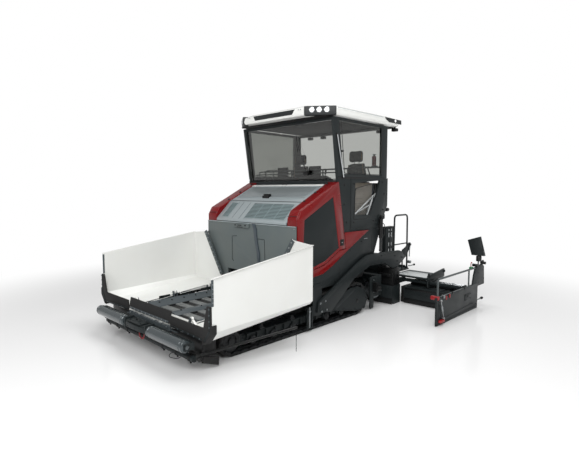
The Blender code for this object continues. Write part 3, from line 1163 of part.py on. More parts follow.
def build_screed(machine):
    """Tow arms and the base screed with its deck, boxes and handrails."""
    tow = machine.pivot("tow_point", (0.0, TOW_Y, TOW_Z), machine.root)
    outline = spread(ARM_SHARES, ARM_FRONT, ARM_FRONT + ARM_LENGTH, ARM_LOW, ARM_LOW + ARM_HEIGHT)
    arm = prism("X", ARM_INNER, ARM_INNER + ARM_THICK, outline)
    lug = prism("X", ARM_INNER + SINK / 4, ARM_INNER + ARM_THICK - SINK / 4,
                [(LIFT_Y - LIFT_EYE * 1.5, ARM_LOW + ARM_HEIGHT * 0.9),
                 (LIFT_Y + LIFT_EYE * 1.5, ARM_LOW + ARM_HEIGHT * 0.9),
                 (LIFT_Y + LIFT_EYE / 2, LIFT_EYE_Z - LIFT_EYE - RUN_GAP),
                 (LIFT_Y - LIFT_EYE / 2, LIFT_EYE_Z - LIFT_EYE - RUN_GAP)])
    hole = rod((ARM_INNER - OVERRUN, TOW_Y, TOW_Z), (ARM_INNER + ARM_THICK + OVERRUN, TOW_Y, TOW_Z),
               bore_radius(TOW_PIN, ROUND), ROUND)
    arm = cut(joined(arm, lug), hole)
    base = prism("X", -BASE_HALF, BASE_HALF,
                 [(BASE_FRONT, PLATE_CHAMFER), (BASE_FRONT + PLATE_CHAMFER, 0.0), (BASE_REAR, 0.0),
                  (BASE_REAR, BASE_TOP), (BASE_FRONT, BASE_TOP)])
    head = block((-HEAD_HALF, HEAD_FRONT, BASE_TOP - SINK), (HEAD_HALF, HEAD_REAR, HEAD_TOP))
    tie = block((-ARM_INNER - SINK, HEAD_FRONT + SINK, HEAD_TOP - HEADER * 3),
                (ARM_INNER + SINK, HEAD_REAR - SINK, HEAD_TOP - SINK))
    deck = block((-MID_INNER + OVERRUN, HEAD_REAR - SINK, DECK_Z - DECK_THICK),
                 (MID_INNER - OVERRUN, DECK_REAR, DECK_Z))
    box = [block((place - BOX_WIDTH / 2, BOX_FRONT - HEADER, HEAD_TOP - 2 * HEADER),
                 (place + BOX_WIDTH / 2, BOX_REAR, BOX_TOP)) for place in (-BOX_X, BOX_X)]
    foot = DECK_Z - DECK_THICK / 2
    hoop = ((HANDRAIL_FRONT, foot), (HANDRAIL_FRONT, HANDRAIL_TOP), (HANDRAIL_REAR, HANDRAIL_TOP),
            (HANDRAIL_REAR, foot))
    rails = [pipe([(place, along, up) for along, up in hoop], HANDRAIL_RADIUS)
             for place in (-HANDRAIL_X, HANDRAIL_X)]
    sleeve = block((BASE_HALF - SLEEVE_WIDTH, BASE_REAR - OVERRUN, TUBE_Z - SLEEVE_HALF),
                   (BASE_HALF - SINK, TUBE_Y + SLEEVE_HALF, TUBE_Z + SLEEVE_HALF))
    foot = block((BASE_HALF - SLEEVE_WIDTH - SINK, BASE_REAR - 2 * OVERRUN, BASE_TOP - SINK),
                 (BASE_HALF - 2 * SINK, BASE_REAR - SINK, TUBE_Z + SLEEVE_HALF - SINK))
    bore = rod((BASE_HALF - 2 * SLEEVE_WIDTH, TUBE_Y, TUBE_Z), (BASE_HALF + OVERRUN, TUBE_Y, TUBE_Z),
               TUBE_RADIUS + GAP, ROUND)
    sleeve = cut(joined(sleeve, foot), bore)
    machine.add(joined(base, head, tie, deck, arm, mirrored(arm), sleeve, mirrored(sleeve), *box, *rails,
                       solver="MANIFOLD"), "screed_base", "anthracite", tow)
    build_extensions(machine, tow)


def build_extensions(machine, tow):
    """Sliding screeds, end gates and middle stages."""
    slides = []
    middles = []
    for side, name in ((1, "left"), (-1, "right")):
        slides.append(machine.pivot("extension_slide_" + name, (side * EXT_INNER, TUBE_Y, TUBE_Z), tow))
        middles.append(machine.pivot("stage_slide_" + name, (side * MID_INNER, TUBE_Y, TUBE_Z), tow))
    box = prism("X", EXT_INNER, EXT_OUTER - GAP,
                [(EXT_FRONT, PLATE_CHAMFER), (EXT_FRONT + PLATE_CHAMFER, 0.0), (EXT_REAR, 0.0),
                 (EXT_REAR, EXT_TOP), (EXT_FRONT, EXT_TOP)])
    post = block((EXT_OUTER - MID_THICK, TUBE_Y - TUBE_RADIUS * 2, EXT_TOP - SINK),
                 (EXT_OUTER - 2 * GAP, TUBE_Y + TUBE_RADIUS * 2, TUBE_Z + TUBE_RADIUS * 1.5))
    tube = rod((TUBE_INNER, TUBE_Y, TUBE_Z), (EXT_OUTER - MID_THICK / 2, TUBE_Y, TUBE_Z), TUBE_RADIUS,
               ROUND)
    machine.add_pair(joined(box, post, tube), "screed_extension", "anthracite", slides)
    gate = prism("X", EXT_OUTER + GAP, GATE_OUTER,
                 [(GATE_FRONT, 0.0), (GATE_REAR, 0.0), (GATE_REAR, GATE_TOP), (GATE_FRONT, GATE_TOP)])
    middle = (EXT_OUTER + GATE_OUTER) / 2
    beam = block((EXT_OUTER + 2 * GAP, GATE_FRONT - GATE_BEAM / 2, GATE_TOP - SINK),
                 (GATE_OUTER + SINK, GATE_REAR + SINK, GATE_TOP + GATE_BEAM))
    tower = prism("X", EXT_OUTER + 3 * GAP, GATE_OUTER - SINK / 4,
                  spread(TOWER_SHARES, TOWER_FRONT, TOWER_REAR, GATE_TOP - SINK, TOWER_TOP))
    rail = pipe([(middle, GATE_FRONT + GATE_BEAM, GATE_TOP + GATE_BEAM / 2),
                 (middle, GATE_FRONT + GATE_BEAM, GATE_RAIL_Z),
                 (middle, TOWER_FRONT + GATE_BEAM * 2.5, GATE_RAIL_Z)], GATE_THICK * GATE_RAIL_SHARE)
    post = pipe([(middle, TOWER_FRONT + GATE_BEAM * 5, TOWER_TOP - GATE_BEAM * 2),
                 (middle, TOWER_FRONT + GATE_BEAM * 5, POST_Z)], GATE_THICK * GATE_POST_SHARE)
    place = TOWER_FRONT + GATE_BEAM * 5
    display = block((middle - DISPLAY_WIDTH / 2, place - DISPLAY_THICK, POST_Z - SINK),
                    (middle + DISPLAY_WIDTH / 2, place + DISPLAY_THICK, DISPLAY_TOP))
    machine.add_pair(joined(gate, beam, tower, rail, post, display, solver="MANIFOLD"), "end_gate",
                     "anthracite", slides)
    tray_top = DECK_Z - DECK_THICK - 1.5 * RUN_GAP
    tray = block((MID_INNER, TRAY_FRONT, tray_top - MID_THICK), (MID_OUTER, TRAY_REAR, tray_top))
    end = prism("X", MID_OUTER - MID_THICK, MID_OUTER - SINK / 4,
                [(TRAY_FRONT - MID_THICK, TUBE_Z - TUBE_RADIUS * 2),
                 (TUBE_Y + TUBE_RADIUS * 2, TUBE_Z - TUBE_RADIUS * 2),
                 (TRAY_REAR - SINK, tray_top - MID_THICK - SINK), (TRAY_REAR - SINK, DECK_Z + TRAY_LIP * 2),
                 (TRAY_FRONT - MID_THICK, DECK_Z + TRAY_LIP / 2)])
    stage = joined(tray, end)
    bore = rod((MID_INNER, TUBE_Y, TUBE_Z), (MID_OUTER + OVERRUN, TUBE_Y, TUBE_Z), TUBE_RADIUS + GAP, ROUND)
    machine.add_pair(cut(stage, bore), "screed_stage", "mid_grey", middles)


def build_lift(machine):
    """Both lift cylinders."""
    pivots = []
    rods = []
    for side, name in ((1, "left"), (-1, "right")):
        top = machine.pivot("lift_pivot_" + name, (side * LIFT_X, LIFT_Y, LIFT_TOP_Z), machine.root)
        pivots.append(top)
        rods.append(machine.pivot("lift_eye_" + name, (side * LIFT_X, LIFT_Y, LIFT_EYE_Z), top))
    tube = prism("Z", LIFT_TOP_Z - LIFT_BARREL, LIFT_TOP_Z - LIFT_EYE,
                 circle((LIFT_X, LIFT_Y), LIFT_RADIUS))
    bore = rod((LIFT_X, LIFT_Y, LIFT_TOP_Z - LIFT_BARREL - OVERRUN),
               (LIFT_X, LIFT_Y, LIFT_TOP_Z - LIFT_EYE * 2), LIFT_ROD_RADIUS + GAP, ROUND)
    eye = rod((LIFT_X - LIFT_EYE / 2, LIFT_Y, LIFT_TOP_Z), (LIFT_X + LIFT_EYE / 2, LIFT_Y, LIFT_TOP_Z),
              LIFT_EYE + SINK)
    pin_hole = rod((LIFT_X - LIFT_EYE, LIFT_Y, LIFT_TOP_Z), (LIFT_X + LIFT_EYE, LIFT_Y, LIFT_TOP_Z),
                   bore_radius(LIFT_EYE / 2))
    machine.add_pair(cut(joined(tube, eye), bore, pin_hole), "lift_barrel", "black", pivots)
    stem = rod((LIFT_X, LIFT_Y, LIFT_EYE_Z), (LIFT_X, LIFT_Y, LIFT_TOP_Z - LIFT_BARREL + OVERRUN * 4),
               LIFT_ROD_RADIUS, ROUND)
    foot = rod((LIFT_X - LIFT_EYE / 2, LIFT_Y, LIFT_EYE_Z), (LIFT_X + LIFT_EYE / 2, LIFT_Y, LIFT_EYE_Z),
               LIFT_EYE)
    machine.add_pair(joined(stem, foot), "lift_rod", "steel", rods)


def lift_bracket():
    """The bracket and pin that a lift cylinder hangs from."""
    inner = BODY_HALF_WIDTH - SINK
    low = LIFT_TOP_Z - LIFT_EYE + BRACKET_RISE
    high = LIFT_TOP_Z + BRACKET_HEIGHT / 2
    face = LIFT_X - LIFT_EYE / 2 - GAP
    plate = block((inner, LIFT_Y - LIFT_EYE, low), (face, LIFT_Y + LIFT_EYE, high))
    pin = rod((inner + SINK, LIFT_Y, LIFT_TOP_Z), (LIFT_X + LIFT_EYE, LIFT_Y, LIFT_TOP_Z), LIFT_EYE / 2)
    return plate, pin


def main():
    """Build the machine."""
    clear_scene()
    machine = Machine("asphalt_paver")
    build_tracks(machine)
    build_chassis(machine)
    build_front(machine)
    build_wings(machine)
    build_hopper(machine)
    build_hood(machine)
    build_trim(machine)
    build_cab(machine)
    build_augers(machine)
    build_screed(machine)
    build_lift(machine)


main()
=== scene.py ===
"""Looks of a tracked asphalt paver: its finishes and fine pieces, built on the fixed CAD frame.

+X is the machine's left side, -Y its front (the hopper), +Z up, in metres.
"""

import json
import logging
import math
from dataclasses import dataclass
from enum import Enum
from typing import Iterable, Optional, Sequence, Union

import bpy
from mathutils import Matrix, Vector

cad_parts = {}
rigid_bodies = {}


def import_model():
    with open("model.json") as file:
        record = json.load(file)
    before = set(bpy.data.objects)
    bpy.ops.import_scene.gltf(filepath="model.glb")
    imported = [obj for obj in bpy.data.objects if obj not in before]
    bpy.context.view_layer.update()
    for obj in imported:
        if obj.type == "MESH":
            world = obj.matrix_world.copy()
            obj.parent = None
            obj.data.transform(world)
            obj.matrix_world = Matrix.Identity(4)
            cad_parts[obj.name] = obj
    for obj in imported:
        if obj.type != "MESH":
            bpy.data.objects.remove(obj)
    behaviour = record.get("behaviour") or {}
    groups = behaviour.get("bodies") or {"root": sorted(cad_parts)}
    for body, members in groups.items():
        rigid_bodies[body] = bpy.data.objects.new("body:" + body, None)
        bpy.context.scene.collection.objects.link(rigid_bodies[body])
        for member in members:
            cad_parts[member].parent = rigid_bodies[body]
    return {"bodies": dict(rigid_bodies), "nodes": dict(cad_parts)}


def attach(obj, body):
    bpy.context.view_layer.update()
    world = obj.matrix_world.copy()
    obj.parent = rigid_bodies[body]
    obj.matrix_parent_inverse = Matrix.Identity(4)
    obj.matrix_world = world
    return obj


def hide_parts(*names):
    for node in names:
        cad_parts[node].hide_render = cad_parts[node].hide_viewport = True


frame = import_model()

log = logging.getLogger("paver")
Point = Sequence[float]
Place = Union[Point, Matrix]

MM = 0.001
PHOTO_WIDTH = 579  # the photograph's width in pixels
PHOTO_FOCAL = 442.5  # the camera's focal length in those pixels
SMOOTH_ANGLE = math.radians(32.0)  # faces that meet at less are shaded as one
BEVEL_ANGLE = math.radians(28.0)  # edges sharper than this are rounded
FLAT_ANGLE = math.radians(1.0)  # CAD facets that meet at less are one face
MERGE = 0.01 * MM  # points nearer than this are one
CAD_MERGE = 0.02 * MM
PATTERN_START, PATTERN_END = 0.3, 0.7  # the middle range that a noise pattern really fills


class Plane(Enum):
    """The axis that a flat outline faces."""

    X = Matrix(((0, 0, 1), (1, 0, 0), (0, 1, 0)))
    Y = Matrix(((1, 0, 0), (0, 0, 1), (0, 1, 0)))
    Z = Matrix(((1, 0, 0), (0, 1, 0), (0, 0, 1)))


class Side(Enum):
    """The machine's two sides, with the sign of their X."""

    LEFT = 1
    RIGHT = -1

    @property
    def tag(self) -> str:
        """The ending that this side's names have."""
        return self.name.lower()


def begin() -> None:
    """Leave edit mode and deselect everything."""
    if bpy.context.mode != "OBJECT":
        bpy.ops.object.mode_set(mode="OBJECT")
    bpy.ops.object.select_all(action="DESELECT")


def focus(piece: bpy.types.Object) -> None:
    """Make one piece the only selected and the active one.

    Args:
        piece: The object to select.
    """
    begin()
    piece.select_set(True)
    bpy.context.view_layer.objects.active = piece


def settle(piece: bpy.types.Object, name: str) -> bpy.types.Object:
    """Bring a piece's place into its mesh and name it.

    Args:
        piece: The object to settle.
        name: Its new name.

    Returns:
        The same object, at the origin and unturned.
    """
    focus(piece)
    bpy.ops.object.transform_apply(location=True, rotation=True, scale=True)
    piece.name = name
    piece.data.name = name
    return piece


def bevelled(piece: bpy.types.Object, width: float, segments: int = 2) -> bpy.types.Object:
    """Round a piece's sharp edges.

    Args:
        piece: The object to round.
        width: The width of the rounding in metres; none at zero.
        segments: Steps across the rounding.

    Returns:
        The same object.
    """
    if width > 0:
        focus(piece)
        step = piece.modifiers.new("edges", "BEVEL")
        step.width = width
        step.segments = segments
        step.limit_method = "ANGLE"
        step.angle_limit = BEVEL_ANGLE
        step.use_clamp_overlap = True
        bpy.ops.object.modifier_apply(modifier=step.name)
    return piece


def block(name: str, low: Point, high: Point, bevel: float = 0.004) -> bpy.types.Object:
    """Make a box with softened edges between two corners.

    Args:
        name: The piece's name.
        low: Its lowest corner.
        high: Its highest corner.
        bevel: Width of its rounded edges.

    Returns:
        The new object.
    """
    begin()
    size = Vector(high) - Vector(low)
    middle = (Vector(high) + Vector(low)) / 2
    bpy.ops.mesh.primitive_cube_add(size=1.0, location=middle, scale=size)
    return bevelled(settle(bpy.context.object, name), min(bevel, 0.45 * min(size)))


def turn_to(direction: Point) -> Matrix:
    """The turn that points +Z along a direction, as a 4 by 4 matrix."""
    return Vector(direction).to_track_quat("Z", "Y").to_matrix().to_4x4()


def bar(name: str, start: Point, end: Point, radius: float, sides: int = 20,
        bevel: float = 0.0) -> bpy.types.Object:
    """Make a round bar between two points.

    Args:
        name: The piece's name.
        start: Middle of one end.
        end: Middle of the other end.
        radius: The bar's radius.
        sides: Faces round it.
        bevel: Width of the rounding at its ends.

    Returns:
        The new object.
    """
    begin()
    along = Vector(end) - Vector(start)
    middle = (Vector(start) + Vector(end)) / 2
    bpy.ops.mesh.primitive_cylinder_add(vertices=sides, radius=radius, depth=along.length, location=middle,
                                        rotation=turn_to(along).to_euler())
    return bevelled(settle(bpy.context.object, name), bevel)


def plate(name: str, plane: Plane, outline: Sequence[Point], low: float, high: float,
          bevel: float = 0.002) -> bpy.types.Object:
    """Make a flat plate from an outline.

    Args:
        name: The piece's name.
        plane: The axis that the plate faces.
        outline: Its corners as (across, up) pairs.
        low: Where it starts along that axis.
        high: Where it ends along that axis.
        bevel: Width of its rounded edges.

    Returns:
        The new object.
    """
    begin()
    bpy.ops.mesh.primitive_circle_add(vertices=len(outline), radius=1.0, fill_type="NOTHING")
    piece = bpy.context.object
    for vertex, (across, up) in zip(piece.data.vertices, outline):
        vertex.co = plane.value @ Vector((across, up, low))
    bpy.ops.object.mode_set(mode="EDIT")
    bpy.ops.mesh.select_all(action="SELECT")
    bpy.ops.mesh.edge_face_add()
    move = plane.value @ Vector((0.0, 0.0, high - low))
    bpy.ops.mesh.extrude_region_move(TRANSFORM_OT_translate={"value": move})
    bpy.ops.mesh.select_all(action="SELECT")
    bpy.ops.mesh.normals_make_consistent(inside=False)
    return bevelled(settle(piece, name), bevel)


def turned(name: str, profile: Sequence[Point], start: Point, axis: Point,
           sides: int = 32) -> bpy.types.Object:
    """Turn a profile round an axis, as on a lathe.

    Args:
        name: The piece's name.
        profile: (along, radius) pairs, from the axis and back to it.
        start: Where the axis starts.
        axis: The axis' direction.
        sides: Steps round it.

    Returns:
        The new object.
    """
    begin()
    bpy.ops.mesh.primitive_circle_add(vertices=len(profile), radius=1.0, fill_type="NOTHING")
    piece = bpy.context.object
    for vertex, (along, radius) in zip(piece.data.vertices, profile):
        vertex.co = (radius, 0.0, along)
    bpy.ops.object.mode_set(mode="EDIT")
    bpy.ops.mesh.select_all(action="SELECT")
    bpy.ops.mesh.spin(steps=sides, angle=2 * math.pi, center=(0, 0, 0), axis=(0, 0, 1))
    bpy.ops.mesh.select_all(action="SELECT")
    bpy.ops.mesh.remove_doubles(threshold=MERGE)
    bpy.ops.mesh.normals_make_consistent(inside=False)
    begin()
    piece.data.transform(Matrix.Translation(start) @ turn_to(axis))
    return settle(piece, name)


def rounded(points: Sequence[Point], corner: float, steps: int = 5) -> list[Vector]:
    """Round the corners of a run of points.

    Args:
        points: The run's points.
        corner: How far from a corner its rounding starts.
        steps: Points in each rounding.

    Returns:
        The points of the rounded run.
    """
    run = [Vector(point) for point in points]
    path = [run[0]]
    for before, here, after in zip(run, run[1:], run[2:]):
        reach = min(corner, (before - here).length / 2, (after - here).length / 2)
        enter = here + (before - here).normalized() * reach
        leave = here + (after - here).normalized() * reach
        for step in range(steps + 1):
            share = step / steps
            path.append(enter * (1 - share) ** 2 + here * 2 * share * (1 - share) + leave * share ** 2)
    return path + [run[-1]]


def tube(name: str, points: Sequence[Point], radius: float, corner: float = 0.05,
         closed: bool = False) -> bpy.types.Object:
    """Make a bent round tube.

    Args:
        name: The piece's name.
        points: The corners that its middle line follows.
        radius: The tube's radius.
        corner: How far from a corner its bend starts.
        closed: Whether its end meets its start.

    Returns:
        The new object.
    """
    begin()
    bpy.ops.curve.primitive_nurbs_path_add()
    piece = bpy.context.object
    piece.location = (0.0, 0.0, 0.0)
    curve = piece.data
    curve.splines.clear()
    path = [Vector(point) for point in points] if corner <= 0 else rounded(points, corner)
    spline = curve.splines.new("POLY")
    spline.points.add(len(path) - 1)
    for point, place in zip(spline.points, path):
        point.co = (*place, 1.0)
    spline.use_cyclic_u = closed
    curve.bevel_depth = radius
    curve.bevel_resolution = 3
    curve.use_fill_caps = True
    focus(piece)
    bpy.ops.object.convert(target="MESH")
    return settle(bpy.context.object, name)


def merged(name: str, *pieces: bpy.types.Object) -> bpy.types.Object:
    """Join pieces into one object.

    Args:
        name: The joined piece's name.
        pieces: The objects to join.

    Returns:
        The joined object.
    """
    focus(pieces[0])
    for piece in pieces[1:]:
        piece.select_set(True)
    if len(pieces) > 1:
        bpy.ops.object.join()
    return settle(bpy.context.view_layer.objects.active, name)


def copies(name: str, piece: bpy.types.Object, places: Iterable[Place]) -> bpy.types.Object:
    """Copy a piece modelled at the origin to many places and join the copies.

    Args:
        name: The joined piece's name.
        piece: The pattern, which is used up.
        places: A point or a matrix for each copy.

    Returns:
        The joined object.
    """
    made = []
    for place in places:
        matrix = place if isinstance(place, Matrix) else Matrix.Translation(Vector(place))
        mesh = piece.data.copy()
        mesh.transform(matrix)
        twin = bpy.data.objects.new(name, mesh)
        bpy.context.scene.collection.objects.link(twin)
        made.append(twin)
    bpy.data.objects.remove(piece, do_unlink=True)
    return merged(name, *made)


def flipped(piece: bpy.types.Object, name: str) -> bpy.types.Object:
    """Copy a piece to the machine's other side.

    Args:
        piece: The piece to copy.
        name: The copy's name.

    Returns:
        The new object, its faces still outwards.
    """
    mesh = piece.data.copy()
    mesh.transform(Matrix.Scale(-1.0, 4, (1.0, 0.0, 0.0)))
    mesh.flip_normals()
    twin = bpy.data.objects.new(name, mesh)
    bpy.context.scene.collection.objects.link(twin)
    return twin


def bolts(name: str, places: Iterable[Point], facing: Point, radius: float = 0.013) -> bpy.types.Object:
    """Make hexagon bolt heads on washers.

    Args:
        name: The piece's name.
        places: Where each bolt sits on its face.
        facing: The direction that the heads face.
        radius: A head's radius.

    Returns:
        The joined bolts.
    """
    washer = bar("washer", (0, 0, -0.2 * radius), (0, 0, 0.25 * radius), 1.45 * radius, 14)
    head = bar("head", (0, 0, 0.2 * radius), (0, 0, 1.0 * radius), radius, 6, 0.14 * radius)
    pattern = merged("bolt", washer, head)
    turn = turn_to(facing)
    return copies(name, pattern, [Matrix.Translation(Vector(place)) @ turn for place in places])


def softened(node: str, name: str, width: float, segments: int = 3) -> bpy.types.Object:
    """Copy a CAD node's shape with its edges rounded, to stand for it.

    Args:
        node: The CAD node to copy.
        name: The new piece's name.
        width: Width of the rounded edges.
        segments: Steps across the rounding.

    Returns:
        The new object, not yet dressed.
    """
    source = frame["nodes"][node]
    piece = bpy.data.objects.new(name, source.data.copy())
    bpy.context.scene.collection.objects.link(piece)
    piece.data.transform(source.matrix_world)
    piece.data.materials.clear()
    focus(piece)
    bpy.ops.object.mode_set(mode="EDIT")
    bpy.ops.mesh.select_all(action="SELECT")
    bpy.ops.mesh.remove_doubles(threshold=CAD_MERGE)
    bpy.ops.mesh.dissolve_limited(angle_limit=FLAT_ANGLE)
    begin()
    bevelled(piece, width, segments)
    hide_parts(node)
    return settle(piece, name)


def linear(colour: str) -> tuple[float, float, float, float]:
    """Turn an sRGB hex colour into linear red, green, blue and alpha.

    Args:
        colour: The colour as #RRGGBB.

    Returns:
        Linear red, green and blue, and alpha 1.
    """
    parts = [int(colour[index:index + 2], 16) / 255 for index in (1, 3, 5)]
    red, green, blue = (part / 12.92 if part <= 0.04045 else ((part + 0.055) / 1.055) ** 2.4
                        for part in parts)
    return red, green, blue, 1.0


def add_node(tree: bpy.types.NodeTree, kind: str, settings: Optional[dict] = None,
             values: Optional[dict] = None, links: Optional[dict] = None) -> bpy.types.Node:
    """Add a shader node.

    Args:
        tree: The material's node tree.
        kind: The node's type.
        settings: Properties to set on it.
        values: Values by input name or number.
        links: Output sockets by input name or number.

    Returns:
        The new node.
    """
    node = tree.nodes.new(kind)
    for key, value in (settings or {}).items():
        setattr(node, key, value)
    for key, value in (values or {}).items():
        node.inputs[key].default_value = value
    for key, socket in (links or {}).items():
        tree.links.new(socket, node.inputs[key])
    return node


@dataclass(frozen=True)
class Finish:
    """What every finish has: a name, a colour and how rough it is."""

    name: str
    colour: str
    roughness: float = 0.5
    metallic: float = 0.0

    def material(self) -> bpy.types.Material:
        """The finish's material, made at its first use."""
        found = bpy.data.materials.get(self.name)
        if found:
            return found
        made = bpy.data.materials.new(self.name)
        made.use_nodes = True
        shader = made.node_tree.nodes["Principled BSDF"]
        shader.inputs["Metallic"].default_value = self.metallic
        shader.inputs["Roughness"].default_value = self.roughness
        shader.inputs["Base Color"].default_value = linear(self.colour)
        self.wire(made.node_tree, shader)
        return made

    def wire(self, tree: bpy.types.NodeTree, shader: bpy.types.Node) -> None:
        """Add the finish's own pattern nodes."""

    @staticmethod
    def spots(tree: bpy.types.NodeTree, size: float, detail: float = 3.0,
              stretch: Point = (1.0, 1.0, 1.0)) -> bpy.types.NodeSocket:
        """Draw irregular spots on the object's own coordinates.

        Args:
            tree: The material's node tree.
            size: Size of the spots in metres.
            detail: How fine they go.
            stretch: Scale along each axis.

        Returns:
            The pattern's value.
        """
        place = add_node(tree, "ShaderNodeTexCoord").outputs["Object"]
        scaled = add_node(tree, "ShaderNodeMapping", None, {"Scale": stretch}, {"Vector": place})
        noise = add_node(tree, "ShaderNodeTexNoise", None, {"Scale": 1.0 / size, "Detail": detail},
                         {"Vector": scaled.outputs[0]})
        return noise.outputs[0]

    @staticmethod
    def glossed(tree: bpy.types.NodeTree, shader: bpy.types.Node, pattern: bpy.types.NodeSocket, low: float,
                high: float) -> None:
        """Let the roughness follow a pattern.

        Args:
            tree: The material's node tree.
            shader: The shader to feed.
            pattern: The pattern.
            low: Roughness where it is low.
            high: Roughness where it is high.
        """
        node = add_node(tree, "ShaderNodeMapRange", None, {1: PATTERN_START, 2: PATTERN_END, 3: low, 4: high},
                        {0: pattern})
        tree.links.new(node.outputs[0], shader.inputs["Roughness"])

    @staticmethod
    def raised(tree: bpy.types.NodeTree, shader: bpy.types.Node, pattern: bpy.types.NodeSocket, depth: float,
               strength: float = 1.0) -> None:
        """Raise the surface by a pattern.

        Args:
            tree: The material's node tree.
            shader: The shader to feed.
            pattern: The pattern.
            depth: Its height in metres.
            strength: How much of it shows.
        """
        node = add_node(tree, "ShaderNodeBump", None, {"Strength": strength, "Distance": depth},
                        {"Height": pattern})
        tree.links.new(node.outputs[0], shader.inputs["Normal"])

    def blended(self, tree: bpy.types.NodeTree, shader: bpy.types.Node, share: bpy.types.NodeSocket,
                other: str) -> None:
        """Mix the finish's colour with another by a share.

        Args:
            tree: The material's node tree.
            shader: The shader to feed.
            share: The second colour's share.
            other: The second colour.
        """
        mix = add_node(tree, "ShaderNodeMix", {"data_type": "RGBA"},
                       {6: linear(self.colour), 7: linear(other)}, {0: share})
        tree.links.new(mix.outputs[2], shader.inputs["Base Color"])

    def shaded(self, tree: bpy.types.NodeTree, shader: bpy.types.Node, pattern: bpy.types.NodeSocket,
               other: str, high: float) -> None:
        """Mix the finish's colour towards another where a pattern is high.

        Args:
            tree: The material's node tree.
            shader: The shader to feed.
            pattern: The pattern that mixes them.
            other: The second colour.
            high: Share of it where the pattern is high.
        """
        share = add_node(tree, "ShaderNodeMapRange", None,
                         {1: PATTERN_START, 2: PATTERN_END, 3: 0.0, 4: high}, {0: pattern})
        self.blended(tree, shader, share.outputs[0], other)


@dataclass(frozen=True)
class Paint(Finish):
    """Sprayed two-pack paint on plate: smooth, glossy, with a faint orange peel and a breath of dust."""

    dust: str = "#9A9488"
    dust_share: float = 0.10
    coat: float = 0.5
    peel: float = 1.0
    specular: float = 0.3
    coat_roughness: float = 0.12
    cloud_size: float = 500 * MM
    peel_size: float = 14 * MM
    peel_depth: float = 0.25 * MM

    def wire(self, tree: bpy.types.NodeTree, shader: bpy.types.Node) -> None:
        """Orange peel is 2 to 4 mm across; it is drawn at 14 mm to show. Dust lies in 0.5 m clouds.

        Args:
            tree: The material's node tree.
            shader: The shader to feed.
        """
        clouds = self.spots(tree, self.cloud_size, 5.0)
        self.shaded(tree, shader, clouds, self.dust, self.dust_share)
        self.glossed(tree, shader, clouds, self.roughness * 0.85, min(1.0, self.roughness * 1.25))
        shader.inputs["Specular IOR Level"].default_value = self.specular
        shader.inputs["Coat Weight"].default_value = self.coat
        shader.inputs["Coat Roughness"].default_value = self.coat_roughness
        self.raised(tree, shader, self.spots(tree, self.peel_size, 1.0), self.peel_depth * self.peel, 0.4)


@dataclass(frozen=True)
class BareMetal(Finish):
    """Machined or plated metal: bright, with fine drawn lines and duller handled spots."""

    grain: Point = (1.0, 1.0, 1.0)
    stain: str = "#55524C"
    stain_share: float = 0.25
    stain_size: float = 60 * MM
    line_pitch: float = 4 * MM
    line_depth: float = 0.1 * MM

    def wire(self, tree: bpy.types.NodeTree, shader: bpy.types.Node) -> None:
        """Drawing lines are under 1 mm apart; they are drawn 4 mm apart so that they show.

        Args:
            tree: The material's node tree.
            shader: The shader to feed.
        """
        self.shaded(tree, shader, self.spots(tree, self.stain_size, 4.0), self.stain, self.stain_share)
        lines = self.spots(tree, self.line_pitch, 2.0, self.grain)
        self.glossed(tree, shader, lines, self.roughness * 0.8, min(1.0, self.roughness * 1.5))
        self.raised(tree, shader, lines, self.line_depth, 0.3)


@dataclass(frozen=True)
class WornSteel(Finish):
    """Hot-rolled wear steel in the mix's path: dark mill skin rubbed bright along its runs."""

    bright: str = "#8B9194"
    rub_size: float = 30 * MM
    rub_depth: float = 0.6 * MM
    run: Point = (2.5, 0.35, 2.5)

    def wire(self, tree: bpy.types.NodeTree, shader: bpy.types.Node) -> None:
        """Rub marks are 5 to 20 mm wide and run along Y, so the pattern is stretched that way.

        Args:
            tree: The material's node tree.
            shader: The shader to feed.
        """
        rub = self.spots(tree, self.rub_size, 6.0, self.run)
        self.shaded(tree, shader, rub, self.bright, 0.8)
        self.glossed(tree, shader, rub, self.roughness * 1.2, self.roughness * 0.7)
        self.raised(tree, shader, rub, self.rub_depth, 0.4)


@dataclass(frozen=True)
class Rubber(Finish):
    """Vulcanised natural rubber with cord ply: matt, faintly grainy, greyed by dust where it is rubbed."""

    bloom: str = "#4A4844"
    bloom_size: float = 180 * MM
    grain_size: float = 6 * MM
    grain_depth: float = 0.5 * MM

    def wire(self, tree: bpy.types.NodeTree, shader: bpy.types.Node) -> None:
        """Moulding grain is about 1 mm; it is drawn at 6 mm."""
        self.shaded(tree, shader, self.spots(tree, self.bloom_size, 5.0), self.bloom, 0.45)
        self.raised(tree, shader, self.spots(tree, self.grain_size, 3.0), self.grain_depth, 0.5)


@dataclass(frozen=True)
class MouldedPlastic(Finish):
    """Injection moulded ABS with a spark-eroded grain that scatters its gloss."""

    grain_size: float = 5 * MM
    grain_depth: float = 0.2 * MM

    def wire(self, tree: bpy.types.NodeTree, shader: bpy.types.Node) -> None:
        """The eroded grain is 0.5 mm; it is drawn at 5 mm.

        Args:
            tree: The material's node tree.
            shader: The shader to feed.
        """
        grain = self.spots(tree, self.grain_size, 2.0)
        self.glossed(tree, shader, grain, self.roughness * 0.85, min(1.0, self.roughness * 1.2))
        self.raised(tree, shader, grain, self.grain_depth, 0.4)


